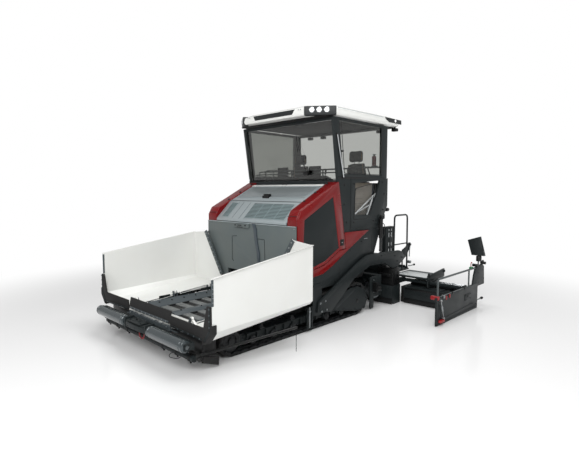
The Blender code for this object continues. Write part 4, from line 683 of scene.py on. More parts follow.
@dataclass(frozen=True)
class TreadPlate(Finish):
    """Chequered walkway steel: raised lozenges at 30 mm on painted plate, rubbed paler on their tops."""

    rubbed: str = "#7C8588"
    rubbed_share: float = 0.35
    wave_scale: float = 10.5
    height: float = 2.5 * MM

    def wire(self, tree: bpy.types.NodeTree, shader: bpy.types.Node) -> None:
        """Lozenges are 25 mm long at a 30 mm pitch, drawn by two crossed waves.

        Args:
            tree: The material's node tree.
            shader: The shader to feed.
        """
        place = add_node(tree, "ShaderNodeTexCoord").outputs["Object"]
        waves = []
        for angle in (45.0, -45.0):
            mapping = add_node(tree, "ShaderNodeMapping", None, {"Rotation": (0, 0, math.radians(angle))},
                               {"Vector": place})
            wave = add_node(tree, "ShaderNodeTexWave", {"wave_profile": "SIN"},
                            {"Scale": self.wave_scale, "Distortion": 0.0}, {"Vector": mapping.outputs[0]})
            waves.append(wave.outputs[1])
        crossed = add_node(tree, "ShaderNodeMath", {"operation": "MULTIPLY"}, None,
                           {0: waves[0], 1: waves[1]})
        tops = add_node(tree, "ShaderNodeMapRange", None, {1: 0.45, 2: 0.6, 3: 0.0, 4: 1.0},
                        {0: crossed.outputs[0]}).outputs[0]
        share = add_node(tree, "ShaderNodeMapRange", None, {1: 0.0, 2: 1.0, 3: 0.0, 4: self.rubbed_share},
                         {0: tops})
        self.blended(tree, shader, share.outputs[0], self.rubbed)
        self.raised(tree, shader, tops, self.height, 0.8)


@dataclass(frozen=True)
class PunchedSheet(Finish):
    """Punched cooling sheet: rows of 9 mm holes, dark through the holes and bright between them."""

    holes: str = "#2A3032"
    pitch: float = 24 * MM
    depth: float = 2.0 * MM

    def wire(self, tree: bpy.types.NodeTree, shader: bpy.types.Node) -> None:
        """The real pitch is 12 mm; it is drawn at 24 mm so that the holes show.

        Args:
            tree: The material's node tree.
            shader: The shader to feed.
        """
        place = add_node(tree, "ShaderNodeTexCoord").outputs["Object"]
        cells = add_node(tree, "ShaderNodeTexVoronoi", {"feature": "F1", "distance": "EUCLIDEAN"},
                         {"Scale": 1.0 / self.pitch, "Randomness": 0.0}, {"Vector": place})
        share = add_node(tree, "ShaderNodeMapRange", None, {1: 0.34, 2: 0.42, 3: 1.0, 4: 0.0},
                         {0: cells.outputs["Distance"]}).outputs[0]
        self.blended(tree, shader, share, self.holes)
        shader.inputs["Coat Weight"].default_value = 0.1
        metal = add_node(tree, "ShaderNodeMapRange", None, {1: 0.0, 2: 1.0, 3: 1.0, 4: 0.0}, {0: share})
        self.raised(tree, shader, metal.outputs[0], self.depth, 0.6)


@dataclass(frozen=True)
class Glazing(Finish):
    """Tinted laminated safety glass: clear and grey, with faint wipe streaks."""

    streak: float = 120 * MM
    run: Point = (1.0, 1.0, 0.3)

    def wire(self, tree: bpy.types.NodeTree, shader: bpy.types.Node) -> None:
        """Streaks are a few centimetres wide and run downwards.

        Args:
            tree: The material's node tree.
            shader: The shader to feed.
        """
        shader.inputs["IOR"].default_value = 1.45
        shader.inputs["Transmission Weight"].default_value = 1.0
        self.glossed(tree, shader, self.spots(tree, self.streak, 4.0, self.run), 0.01, 0.05)


@dataclass(frozen=True)
class ClearPane(Finish):
    """Thin untinted safety glass: nearly invisible but for its gloss."""

    cover: float = 0.12
    streak: float = 120 * MM
    run: Point = (1.0, 1.0, 0.3)

    def wire(self, tree: bpy.types.NodeTree, shader: bpy.types.Node) -> None:
        """Streaks are a few centimetres wide and run downwards."""
        shader.inputs["Alpha"].default_value = self.cover
        self.glossed(tree, shader, self.spots(tree, self.streak, 4.0, self.run), 0.05, 0.12)


@dataclass(frozen=True)
class Lens(Finish):
    """A lit work lamp behind a clear ribbed lens: white in the middle, with moulded ribs 8 mm apart."""

    glow: float = 1.0
    rib_scale: float = 20.0
    rib_height: float = 1.0 * MM

    def wire(self, tree: bpy.types.NodeTree, shader: bpy.types.Node) -> None:
        """The ribs run up and down.

        Args:
            tree: The material's node tree.
            shader: The shader to feed.
        """
        shader.inputs["Emission Color"].default_value = linear(self.colour)
        shader.inputs["Emission Strength"].default_value = self.glow
        shader.inputs["Coat Weight"].default_value = 1.0
        place = add_node(tree, "ShaderNodeTexCoord").outputs["Object"]
        ribs = add_node(tree, "ShaderNodeTexWave", None, {"Scale": self.rib_scale}, {"Vector": place})
        self.raised(tree, shader, ribs.outputs[1], self.rib_height, 0.6)


@dataclass(frozen=True)
class Cloth(Finish):
    """Woven seat cloth: matt, with crossed threads and a soft sheen at grazing angles."""

    thread: float = 7 * MM
    thread_depth: float = 0.8 * MM
    wear: str = "#45443E"
    wear_size: float = 40 * MM

    def wire(self, tree: bpy.types.NodeTree, shader: bpy.types.Node) -> None:
        """Threads are 0.8 mm; they are drawn at 7 mm so that they show.

        Args:
            tree: The material's node tree.
            shader: The shader to feed.
        """
        shader.inputs["Sheen Weight"].default_value = 0.12
        place = add_node(tree, "ShaderNodeTexCoord").outputs["Object"]
        waves = []
        for direction in ("X", "Z"):
            wave = add_node(tree, "ShaderNodeTexWave", {"bands_direction": direction},
                            {"Scale": 0.314 / self.thread, "Distortion": 0.6}, {"Vector": place})
            waves.append(wave.outputs[1])
        weave = add_node(tree, "ShaderNodeMath", {"operation": "MAXIMUM"}, None, {0: waves[0], 1: waves[1]})
        self.shaded(tree, shader, self.spots(tree, self.wear_size, 4.0), self.wear, 0.3)
        self.raised(tree, shader, weave.outputs[0], self.thread_depth, 0.6)


# Two-pack white on the hopper's wings, the sills and the roof
WHITE = Paint("hopper_white_paint", "#E6E7E4", 0.34, 0.0, "#D6D4CD", 0.2, 0.5)
# Deep red on the hood's rails, the doors' frames and the swoosh
RED = Paint("deep_red_paint", "#74070A", 0.28, 0.0, "#58090C", 0.3, 0.25, 0.6, 0.2)
# Anthracite on the tub, the tow arms and the screed
DARK = Paint("anthracite_paint", "#1E2324", 0.45, 0.0, "#2C3031", 0.3, 0.08, 0.6, 0.16)
# Mid grey on the hopper's rear wall
WALL = Paint("hopper_wall_grey_paint", "#5C6566", 0.45, 0.1, "#70746F", 0.35, 0.15)
# Mid grey on the conveyor's guards and the clamp bars
GUARD = Paint("conveyor_guard_paint", "#424A4E", 0.5, 0.1, "#565A5C", 0.4, 0.1)
# Silver on the hood's lid and its trims
SILVER = Paint("silver_lid_paint", "#98A2A5", 0.42, 0.2, "#A9ADAC", 0.3, 0.15)
# Satin black on brackets, cases and seams
BLACK = Paint("black_satin_paint", "#0C0D0E", 0.42, 0.0, "#242423", 0.25, 0.1, 1.0, 0.25)
# Moulded inserts of the roof's corners and front
INSERT = MouldedPlastic("dark_roof_insert_plastic", "#15191B", 0.5)
# Black mouldings: knobs, seals, consoles and seat shells
PLASTIC = MouldedPlastic("black_moulded_plastic", "#0F1011", 0.55)
# Red grips, stop buttons and the towing eye
RED_PLASTIC = MouldedPlastic("red_grip_plastic", "#8E0F14", 0.4)
# The tower's green knob
GREEN_PLASTIC = MouldedPlastic("green_knob_plastic", "#1E7A4C", 0.35)
# Hard chrome on guide tubes and assist rods
CHROME = BareMetal("hard_chrome_tube", "#C9CCCE", 0.16, 1.0, (1.0, 1.0, 0.2), "#8E9092", 0.2)
# Zinc plating on bolts, pins and levers
ZINC = BareMetal("zinc_plated_steel", "#9A9FA1", 0.38, 0.9)
# Lift rods, darkened by their oil film
ROD = BareMetal("dark_lift_rod_steel", "#2B2E30", 0.3, 0.6)
# Cast and rolled steel of links, sprockets and rollers
CASTING = WornSteel("track_link_steel", "#0E0F10", 0.6, 0.3, "#26292B")
# The conveyor's slats, rubbed by the mix
SLAT = WornSteel("conveyor_slat_steel", "#626565", 0.5, 0.2, "#7E8180")
# The bitumen film on the conveyor's bed
BED = Rubber("conveyor_bed_bitumen_film", "#070707", 0.6, 0.0, "#121211")
# The augers' hard-faced flights
FLIGHT = WornSteel("auger_flight_steel", "#4A4E50", 0.42, 0.8)
# Rubber of the track's pads and the platform's mat
PAD = Rubber("track_pad_rubber", "#101111", 0.85, 0.0, "#262523")
# Rubber of the hopper's strips and flaps
FLAP = Rubber("hopper_flap_rubber", "#101010", 0.8, 0.0, "#1C1B1B")
# Walkway plate on the screed's deck and stages
TREAD = TreadPlate("walkway_tread_plate", "#3A4244", 0.5, 0.5)
# The punched sheet over the cooler
PUNCHED = PunchedSheet("punched_cooling_sheet", "#9AA2A4", 0.4, 0.3)
# Tinted laminated glass of the cab
GLASS = Glazing("tinted_cab_glass", "#A9ABA7", 0.02)
# Clear glass of the low side window
PANE = ClearPane("clear_low_pane", "#60666A", 0.06)
# Lenses of the work lamps
LAMP = Lens("work_lamp_lens", "#FFFFFF", 0.15)
# Blank covers of the displays
SCREEN = Paint("display_cover_black", "#060707", 0.3, 0.0, "#0C0D0D", 0.1, 0.2, 0.2, 0.2)
# Satin grey on the guard rails
SATIN = Paint("satin_rail_paint", "#4C5253", 0.32, 0.3, "#5C6262", 0.3, 0.2)
# Dark paint on the cab's frame and side panels
FRAME = Paint("cab_frame_paint", "#202526", 0.42, 0.0, "#2E3232", 0.3, 0.08, 0.6, 0.16)
# Dark paint on the doors' panels and the lockers
DARK_PANEL = Paint("door_panel_paint", "#1C2122", 0.48, 0.0, "#2A2E2F", 0.3, 0.08, 0.6, 0.16)
# Felt lining under the roof
LINING = MouldedPlastic("roof_lining_felt", "#070708", 0.9)
# Painted blades of the hood's grilles
LOUVRE = Paint("louvre_grey_paint", "#7F9092", 0.4, 0.2, "#93A0A1", 0.3, 0.2)
# The dark gap behind those blades
LOUVRE_SHADOW = MouldedPlastic("louvre_gap_shadow", "#3E4B4D", 0.7)
# Tan plastic of the locker behind the low window
TAN = MouldedPlastic("locker_tan_plastic", "#7D766A", 0.5)
# Pale steel of slots, frames and plates
PALE_SLOT = Paint("pale_steel_slot", "#C9CDCE", 0.4, 0.2)
# Woven cloth of the seats' pads
SEAT = Cloth("seat_cloth", "#23282B", 0.9)
# Tan edging of the seats
PIPING = Cloth("seat_edge_cloth", "#9A7A55", 0.85)
# Polished grey paint of the push rollers
ROLLER = Paint("push_roller_grey_paint", "#3D4548", 0.2, 0.3, "#4A5052", 0.2, 0.6, 0.12, 0.5)
# Grey strips over the wings' rear seals
SEAL_STRIP = Paint("seal_strip_grey_paint", "#3F484B", 0.5, 0.1, "#5A6062")
# The dark upright band on the hopper's rear wall: a raised strip whose dark grey is painted shade where a
# panel edge stands proud
SHADED_UPRIGHT = Paint("upright_dark_paint", "#39434A", 0.4, 0.1, "#5A6266")

# The finish of a CAD node that stays, by the start of its material's name
SLOT_FINISHES = {"anthracite": DARK, "off_white": WHITE, "red": RED, "rubber": FLAP, "silver": SILVER,
                 "mid_grey": WALL, "black": BLACK, "steel": CHROME, "glass": GLASS, "seat": SEAT}


def dress(piece: bpy.types.Object, finish: Finish, body: str = "chassis",
          stands: Optional[str] = None) -> bpy.types.Object:
    """Give a finished piece its material and the body that it rides on.

    Args:
        piece: The piece.
        finish: Its finish.
        body: The CAD body that it moves with.
        stands: The CAD node that it stands for, where it does.

    Returns:
        The same object.
    """
    piece.data.materials.clear()
    piece.data.materials.append(finish.material())
    focus(piece)
    bpy.ops.object.shade_smooth_by_angle(angle=SMOOTH_ANGLE)
    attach(piece, body)
    if stands:
        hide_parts(stands)
    log.info("%s: %s on %s, %d faces", piece.name, finish.name, body, len(piece.data.polygons))
    return piece


def side_body(base: str, side: Side) -> str:
    """The body for one side: base itself where it serves both sides, else base with the side's ending."""
    return base if base in frame["bodies"] else f"{base}_{side.tag}"


def dress_pair(piece: bpy.types.Object, finish: Finish, body: str = "chassis",
               stands: Optional[str] = None) -> None:
    """Dress a left piece and its mirrored twin on the right.

    Args:
        piece: The left piece; its name gets the side's ending.
        finish: Their finish.
        body: The body, with no side's ending where each side has its own.
        stands: The CAD nodes that they stand for, without the side's ending.
    """
    base = piece.name
    twin = flipped(piece, f"{base}_right")
    piece.name = f"{base}_left"
    for side, item in ((Side.LEFT, piece), (Side.RIGHT, twin)):
        dress(item, finish, side_body(body, side), stands and f"{stands}_{side.tag}")


def soften_pair(node: str, finish: Finish, body: str, width: float, segments: int = 3) -> None:
    """Stand softened copies in for a left and a right CAD node.

    Args:
        node: The nodes' name without the side.
        finish: The finish of both.
        body: Their body, with no side's ending where each side has its own.
        width: Width of the rounded edges.
        segments: Steps across the rounding.
    """
    for side in Side:
        piece = softened(f"{node}_{side.tag}", f"{node}_skin_{side.tag}", width, segments)
        dress(piece, finish, side_body(body, side))


def soften(node: str, finish: Finish, body: str, width: float, segments: int = 3) -> None:
    """Stand a softened copy in for one CAD node.

    Args:
        node: The node's name.
        finish: Its finish.
        body: Its body.
        width: Width of the rounded edges.
        segments: Steps across the rounding.
    """
    dress(softened(node, f"{node}_skin", width, segments), finish, body)


@dataclass
class Crawler:
    """One track as a run of shoes, with the rollers, the sprocket and the drive cover's details."""

    shoes: int = 46
    idler_y: float = -2.38
    sprocket_y: float = 0.735
    idler_radius: float = 0.235
    sprocket_radius: float = 0.325
    middle: float = 1.0975
    shoe_width: float = 0.305
    pad_depth: float = 0.025
    chain_depth: float = 0.073
    cover_face: float = 1.2663
    teeth: int = 13
    rollers: int = 6
    roller_z: float = 0.1453
    beam_top: float = 0.275
    carriers: Sequence[float] = (-1.75, -1.05, -0.35)
    ribs: int = 13
    rib_pitch: float = 0.2

    def length(self) -> float:
        """The loop's outer length."""
        top = self.top_turn()
        run = self.sprocket_y - self.idler_y
        arcs = self.idler_radius * (1.5 * math.pi - top) + self.sprocket_radius * (top + math.pi / 2)
        return 2 * run + arcs

    def top_turn(self) -> float:
        """The direction that the sloping top run faces."""
        run = Vector((self.sprocket_y - self.idler_y, self.sprocket_radius - self.idler_radius))
        return math.atan2(run.y, run.x) + math.acos((self.idler_radius - self.sprocket_radius) / run.length)

    def place(self, distance: float) -> Matrix:
        """The frame of a shoe: X across the track, Y along it, Z outwards, at the outer face.

        Args:
            distance: How far along the loop, from the sprocket's foot forwards.

        Returns:
            The shoe's matrix.
        """
        top = self.top_turn()
        run = self.sprocket_y - self.idler_y
        arc = self.idler_radius * (1.5 * math.pi - top)
        if distance < run:
            turn, spot = -math.pi / 2, Vector((self.sprocket_y - distance, 0.0))
        elif distance < run + arc:
            turn = 1.5 * math.pi - (distance - run) / self.idler_radius
            spot = Vector((self.idler_y + math.cos(turn) * self.idler_radius,
                           self.idler_radius * (1 + math.sin(turn))))
        elif distance < 2 * run + arc:
            turn = top
            along = Vector((math.sin(top), -math.cos(top))) * (distance - run - arc)
            spot = Vector((self.idler_y, self.idler_radius)) + along
            spot += Vector((math.cos(top), math.sin(top))) * self.idler_radius
        else:
            turn = top - (distance - 2 * run - arc) / self.sprocket_radius
            spot = Vector((self.sprocket_y + math.cos(turn) * self.sprocket_radius,
                           self.sprocket_radius * (1 + math.sin(turn))))
        out = Vector((0.0, math.cos(turn), math.sin(turn)))
        across = Vector((1.0, 0.0, 0.0))
        along = out.cross(across)
        columns = Matrix((across, along, out)).transposed().to_4x4()
        return Matrix.Translation((self.middle, spot.x, spot.y)) @ columns

    def chord(self, distance: float, reach: float) -> Matrix:
        """Where a flat shoe lies, with both its ends on the loop's outline.

        Args:
            distance: Distance of the shoe's middle along the loop.
            reach: Half of the shoe's length.

        Returns:
            The shoe's matrix.
        """
        start, end = self.place(distance - reach), self.place(distance + reach)
        across = self.place(distance).col[0].to_3d().normalized()
        along = (end.translation - start.translation).normalized()
        turn = Matrix((across, along, across.cross(along))).transposed().to_4x4()
        return Matrix.Translation((start.translation + end.translation) / 2) @ turn

    def build_loop(self) -> None:
        """Make the pads, plates and links of both loops from one shoe each."""
        half = self.shoe_width / 2
        step = self.length() / self.shoes
        deep = self.pad_depth
        spots = [self.chord(index * step + step / 2, step / 2) for index in range(self.shoes)]
        pad = block("pad", (-half + 0.004, -0.44 * step, -deep), (half - 0.004, 0.44 * step, 0.0), 0.009)
        groove = [block("bar", (-half + 0.006, offset - 0.006, -deep), (half - 0.006, offset + 0.006, 0.0),
                        0.003) for offset in (-0.455 * step, 0.455 * step)]
        pads = copies("track_pads", merged("pad", pad, *groove), spots)
        shoe = [block("plate", (-half, -0.48 * step, -deep - 0.014), (half, 0.48 * step, -deep + 0.002),
                      0.003)]
        for side in (-1, 1):
            link = plate("link", Plane.X,
                         [(-0.55 * step, -0.064), (-0.30 * step, -deep - 0.012), (0.42 * step, -deep - 0.012),
                          (0.56 * step, -0.05), (0.40 * step, -0.073), (0.18 * step, -0.060),
                          (-0.18 * step, -0.060), (-0.40 * step, -0.073)], side * 0.07 - 0.016, side * 0.07
                         + 0.016, 0.003)
            shoe.append(link)
            shoe.append(bar("boss", (side * 0.10, -0.48 * step, -0.055), (side * 0.05, -0.48 * step, -0.055),
                            0.017, 10))
            shoe.append(block("end", (side * (half - 0.018) - 0.016, -0.3 * step, -deep - 0.03),
                              (side * (half - 0.018) + 0.016, 0.3 * step, -deep - 0.01), 0.004))
        shoes = copies("track_shoes", merged("shoe", *shoe), spots)
        dress_pair(pads, PAD, "chassis", "track")
        dress_pair(shoes, CASTING)

    def build_wheels(self) -> None:
        """Make the toothed sprocket, the spoked idler and the flanged rollers over their CAD wheels."""
        pieces = []
        radius = self.sprocket_radius - self.chain_depth
        tooth = plate("tooth", Plane.X, [(-0.034, 0.0), (-0.014, 0.034), (0.014, 0.034), (0.034, 0.0)], -0.03,
                      0.03, 0.004)
        turns = [Matrix.Translation((self.middle, self.sprocket_y, self.sprocket_radius))
                 @ Matrix.Rotation(2 * math.pi * index / self.teeth, 4, "X")
                 @ Matrix.Translation((0.0, 0.0, radius - 0.008)) for index in range(self.teeth)]
        pieces.append(copies("teeth", tooth, turns))
        y, z, reach = self.idler_y, self.idler_radius, self.idler_radius - self.chain_depth - 0.004
        profile = [(0.0, 0.0), (0.0, 0.05), (0.02, 0.055), (0.02, reach * 0.55), (0.0, reach * 0.62),
                   (0.0, reach - 0.012), (0.008, reach), (0.03, reach), (0.03, 0.0)]
        pieces.append(turned("idler_disc", profile, (self.middle + 0.142, y, z), (-1, 0, 0), 36))
        pieces.append(bolts("idler_bolts",
                            [(self.middle + 0.142, y + 0.085 * math.cos(turn), z + 0.085 * math.sin(turn))
                             for turn in [index * math.pi / 3 for index in range(6)]], (1, 0, 0), 0.011))
        for index in range(self.rollers):
            y = self.idler_y + (index + 1) * (self.sprocket_y - self.idler_y) / (self.rollers + 1)
            profile = [(0.0, 0.0), (0.0, 0.03), (0.012, 0.034), (0.012, 0.052), (0.02, 0.066), (0.05, 0.0705),
                       (0.06, 0.0705), (0.06, 0.0)]
            pieces.append(turned("roller_end", profile, (self.middle + 0.135, y, self.roller_z), (-1, 0, 0),
                                 24))
        for y in self.carriers:
            pieces.append(block("carrier", (self.middle - 0.05, y - 0.05, self.beam_top - 0.004),
                                (self.middle + 0.12, y + 0.05, self.beam_top + 0.03), 0.006))
            profile = [(0.0, 0.0), (0.0, 0.030), (0.01, 0.038), (0.20, 0.038), (0.21, 0.030), (0.21, 0.0)]
            height = self.beam_top + 0.035 + (0.02 if y > -0.8 else 0.0)
            pieces.append(turned("carrier_roller", profile, (self.middle - 0.105, y, height), (1, 0, 0), 20))
        dress_pair(merged("track_wheels", *pieces), CASTING)

    def build_beam(self) -> None:
        """Add the beam's ribs and guards and the track tensioner's rod and fork."""
        outer = self.middle + 0.08
        pieces = [block("rail", (outer, self.idler_y + 0.25, 0.19),
                        (outer + 0.012, self.sprocket_y - 0.2, 0.25), 0.003)]
        for index in range(self.ribs):
            y = self.idler_y + 0.32 + index * self.rib_pitch
            pieces.append(block("rib", (outer + 0.008, y - 0.008, 0.150), (outer + 0.05, y + 0.008, 0.270),
                                0.003))
        pieces.append(block("ledge", (outer, self.idler_y + 0.30, 0.262),
                            (outer + 0.058, self.sprocket_y - 0.35, 0.274), 0.003))
        pieces.append(tube("tension_rod", [(self.middle + 0.05, self.idler_y + 0.02, 0.235),
                                           (self.middle + 0.05, self.idler_y + 0.30, 0.235)], 0.022, 0.0))
        pieces.append(block("fork", (self.middle - 0.13, self.idler_y - 0.03, 0.21),
                            (self.middle + 0.13, self.idler_y + 0.05, 0.26), 0.008))
        dress_pair(merged("track_beam_ribs", *pieces), DARK)

    def build_cover(self) -> None:
        """Dress the drive cover: its raised facet, axle socket, rim and bolts."""
        face = self.cover_face
        facet = plate("facet", Plane.X,
                      [(0.02, 0.47), (0.50, 0.575), (0.70, 0.565), (0.62, 0.50), (0.10, 0.26), (-0.08, 0.265),
                       (0.30, 0.44)], face - 0.002, face + 0.005, 0.003)
        rim = tube("rim", [(face, -0.13, 0.262), (face, 0.67, 0.105), (face, 0.97, 0.10), (face, 1.07, 0.28),
                           (face, 0.96, 0.48), (face, 0.71, 0.568), (face, 0.14, 0.49), (face, -0.13, 0.262)],
                   0.006, 0.03)
        dress_pair(merged("drive_cover_relief", facet, rim), DARK)
        socket = block("socket", (face - 0.004, 0.690, 0.247), (face + 0.004, 0.760, 0.325), 0.003)
        ring = turned("ring", [(0.0, 0.0), (0.0, 0.021), (0.006, 0.019), (0.006, 0.0)],
                      (face + 0.003, 0.742, 0.305), (1, 0, 0), 20)
        dress_pair(merged("drive_cover_socket", socket, ring), BLACK)
        spots = [(face, y, z) for y,
                 z in ((0.97, 0.42), (1.02, 0.30), (0.93, 0.14), (0.66, 0.135), (0.30, 0.205), (0.02, 0.27),
                       (0.20, 0.475), (0.66, 0.545))]
        dress_pair(bolts("drive_cover_bolts", spots, (1, 0, 0), 0.011), DARK)

    def build(self) -> None:
        """Build both crawlers."""
        self.build_loop()
        self.build_wheels()
        self.build_beam()
        self.build_cover()


@dataclass
class PushFront:
    """The push rollers, their block, the lower bar with its clips, the towing eye and the guide rod."""

    roller_y: float = -3.215
    roller_z: float = 0.385
    roller_radius: float = 0.085
    inner: float = 0.38
    outer: float = 1.34
    bar_y: float = -3.075
    bar_z: float = 0.205
    clip_places: Sequence[float] = (-1.25, -0.92, -0.55, 0.55, 0.92, 1.25)
    chain_pitch: float = 0.026
    rod_foot: Point = (1.40, -3.075, 0.25)
    rod_head: Point = (1.87, -1.65, 0.42)

    def build_rollers(self) -> None:
        """Turn each roller with its end collars and grooves."""
        reach, radius = self.outer - self.inner, self.roller_radius
        profile = [(0.0, 0.0), (0.0, 0.045), (0.006, radius - 0.014), (0.016, radius - 0.003), (0.05, radius),
                   (0.055, radius - 0.005), (0.065, radius - 0.005), (0.07, radius), (reach - 0.075, radius),
                   (reach - 0.07, radius - 0.006), (reach - 0.058, radius - 0.006), (reach - 0.053, radius),
                   (reach - 0.016, radius - 0.003), (reach - 0.006, radius - 0.014), (reach, 0.045),
                   (reach, 0.0)]
        for side in Side:
            place = (side.value * self.inner, self.roller_y, self.roller_z)
            roller = turned(f"push_roller_drum_{side.tag}", profile, place, (side.value, 0, 0), 48)
            shaft = bar("shaft", (side.value * 0.30, self.roller_y, self.roller_z),
                        (side.value * (self.outer + 0.026), self.roller_y, self.roller_z), 0.030, 24, 0.003)
            drum = merged(f"push_roller_drum_{side.tag}", roller, shaft)
            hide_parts(f"push_roller_{side.tag}")
            dress(drum, ROLLER, f"push_roller_{side.tag}")

    def build_beam(self) -> None:
        """Soften the beam and add the block's plates, lifting lug and bolts."""
        soften("push_beam", DARK, "push_beam", 0.006, 2)
        pieces = [block("cover", (-0.20, -3.285, 0.445), (0.20, -3.12, 0.462), 0.006),
                  block("cheek", (-0.335, -3.27, 0.30), (-0.305, -3.11, 0.47), 0.008),
                  block("cheek", (0.305, -3.27, 0.30), (0.335, -3.11, 0.47), 0.008),
                  plate("nose", Plane.Z, [(-0.30, -3.26), (-0.22, -3.295), (0.22, -3.295), (0.30, -3.26)],
                        0.345, 0.425, 0.006),
                  tube("lug", [(-0.05, -3.20, 0.46), (-0.05, -3.20, 0.497), (0.05, -3.20, 0.497),
                               (0.05, -3.20, 0.46)], 0.008, 0.02)]
        dress(merged("push_block_plates", *pieces), DARK, "push_beam")
        spots = [(x, -3.289, z) for x in (-0.18, -0.06, 0.06, 0.18) for z in (0.365, 0.405)]
        tops = bolts("tops", [(x, y, 0.462) for x in (-0.16, 0.16) for y in (-3.25, -3.15)], (0, 0, 1), 0.012)
        ends = bolts("ends", [(side.value * (self.outer + 0.026), self.roller_y + 0.045 * math.cos(turn),
                               self.roller_z + 0.03 * math.sin(turn)) for side in Side
                              for turn in (0.8, 2.4, 3.9, 5.5)], (1, 0, 0), 0.008)
        dress(merged("push_block_bolts", bolts("fronts", spots, (0, -1, 0), 0.010), tops, ends), DARK,
              "push_beam")

    def build_latches(self) -> None:
        """Add the flap's latch levers and the sockets under the wings' strips."""
        pieces, bright = [], []
        for side in (-1, 1):
            for x in (0.22, 0.42):
                x *= side
                pieces.append(block("ear", (x - 0.012, -3.050, 0.455), (x + 0.012, -3.02, 0.487), 0.004))
                bright.append(bar("pin", (x - 0.03, -3.038, 0.472), (x + 0.03, -3.038, 0.472), 0.008, 14,
                                  0.002))
            x = 0.56 * side
            pieces.append(block("hook", (x - 0.035, -3.050, 0.44), (x + 0.035, -3.024, 0.487), 0.006))
            bright.append(bar("eye", (x, -3.058, 0.458), (x, -3.02, 0.458), 0.011, 16, 0.002))
        dress(merged("flap_latch_ears", *pieces), GUARD)
        dress(merged("flap_latch_pins", *bright), ZINC)

    def build_bar(self) -> None:
        """Soften the lower bar and add its clips, end fittings and wire handle."""
        soften("front_bar", DARK, "chassis", 0.004, 2)
        clips = []
        y, z = self.bar_y - 0.015, self.bar_z - 0.023
        sleeve = tube("front_bar_sleeve", [(-1.34, y, z), (1.34, y, z)], 0.040, 0.0)
        dress(sleeve, DARK)
        for x in self.clip_places:
            profile = [(0.0, 0.0), (0.0, 0.045), (0.005, 0.049), (0.035, 0.049), (0.04, 0.045), (0.04, 0.0)]
            clips.append(turned("collar", profile, (x - 0.02, y, z), (1, 0, 0), 20))
            clips.append(block("tongue", (x - 0.012, self.bar_y - 0.027, self.bar_z - 0.095),
                               (x + 0.012, self.bar_y - 0.003, self.bar_z - 0.05), 0.004))
        for side in (-1, 1):
            clips.append(turned("cap", [(0.0, 0.0), (0.0, 0.026), (0.05, 0.030), (0.06, 0.022), (0.06, 0.0)],
                                (side * 1.395, self.bar_y, self.bar_z), (side, 0, 0), 20))
        dress(merged("front_bar_clips", *clips), BLACK)
        loop = tube("front_bar_wire_handle",
                    [(0.90, -3.085, 0.185), (0.78, -3.13, 0.135), (0.84, -3.185, 0.115), (0.98, -3.15, 0.115),
                     (1.02, -3.09, 0.135), (0.93, -3.08, 0.185)], 0.005, 0.05)
        dress(loop, BLACK)

    def build_towing_eye(self) -> None:
        """Hang the red towing eye under the block."""
        y = self.bar_y - 0.05
        eye = tube("eye", [(-0.115, y, 0.285), (-0.125, y, 0.225), (-0.10, y, 0.165), (-0.035, y, 0.150),
                           (0.02, y, 0.185), (0.04, y, 0.245), (0.035, y, 0.285)], 0.012, 0.05)
        arms = [bar("arm", (x, y, 0.285), (x, -3.018, 0.285), 0.013, 14, 0.002) for x in (-0.115, 0.035)]
        dress(merged("towing_eye", eye, *arms), RED_PLASTIC)

    def build_deflectors(self) -> None:
        """Add the small rubber plates that keep the mix off the tracks in front."""
        flap = plate("track_deflector", Plane.Y,
                     [(1.13, 0.16), (1.36, 0.14), (1.43, 0.17), (1.43, 0.255), (1.13, 0.255)], -3.035, -3.020,
                     0.004)
        hanger = block("hanger", (1.15, -3.055, 0.225), (1.41, -3.03, 0.25), 0.004)
        guard = plate("guard", Plane.X, [(-3.015, 0.13), (-2.74, 0.03), (-2.73, 0.15), (-2.99, 0.215)], 1.392,
                      1.408, 0.003)
        dress_pair(merged("track_deflector", flap, hanger, guard), FLAP, "chassis")
        beam = block("beam", (0.60, -2.985, 0.25), (1.36, -2.93, 0.44), 0.006)
        gusset = plate("gusset", Plane.X, [(-2.94, 0.26), (-2.68, 0.36), (-2.68, 0.43), (-2.94, 0.43)], 0.96,
                       0.98, 0.003)
        scraper = block("scraper", (0.95, -2.94, 0.12), (1.25, -2.665, 0.43), 0.010)
        dress_pair(merged("front_cross_beam", beam, gusset, scraper), BLACK, "chassis")

    def build_guide_rod(self) -> None:
        """Make the guide rod with its swivel and hang its chain link by link."""
        foot, head = Vector(self.rod_foot), Vector(self.rod_head)
        rod = tube("guide_rod_tube", [foot, head], 0.019, 0.0)
        boss = turned("boss", [(0.0, 0.0), (0.0, 0.028), (0.012, 0.030), (0.045, 0.022), (0.045, 0.0)],
                      (foot.x, foot.y, self.bar_z + 0.0245), (0, 0, 1), 20)
        cap = turned("cap", [(0.0, 0.0), (0.0, 0.013), (0.03, 0.014), (0.036, 0.0)],
                     head - (head - foot).normalized() * 0.02, head - foot, 16)
        whole = merged("guide_rod_tube", rod, boss, cap)
        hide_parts("guide_rod_left")
        dress(whole, BLACK, "guide_rod")
        pitch = self.chain_pitch
        link = tube("link", [(0.0055, 0, -0.008), (0.0055, 0, 0.008), (0.0, 0, 0.0145), (-0.0055, 0, 0.008),
                             (-0.0055, 0, -0.008), (0.0, 0, -0.0145)], 0.0022, 0.0, True)
        top = head.z - 0.018
        count = int((top - 0.035) / (pitch * 0.92))
        places = [Matrix.Translation((head.x, head.y - 0.012, top - index * pitch * 0.92))
                  @ Matrix.Rotation(index % 2 * math.pi / 2, 4, "Z") for index in range(count)]
        dress(copies("guide_chain", link, places), BLACK, "guide_rod")

    def build(self) -> None:
        """Build the whole front."""
        self.build_rollers()
        self.build_beam()
        self.build_latches()
        self.build_bar()
        self.build_towing_eye()
        self.build_deflectors()
        self.build_guide_rod()


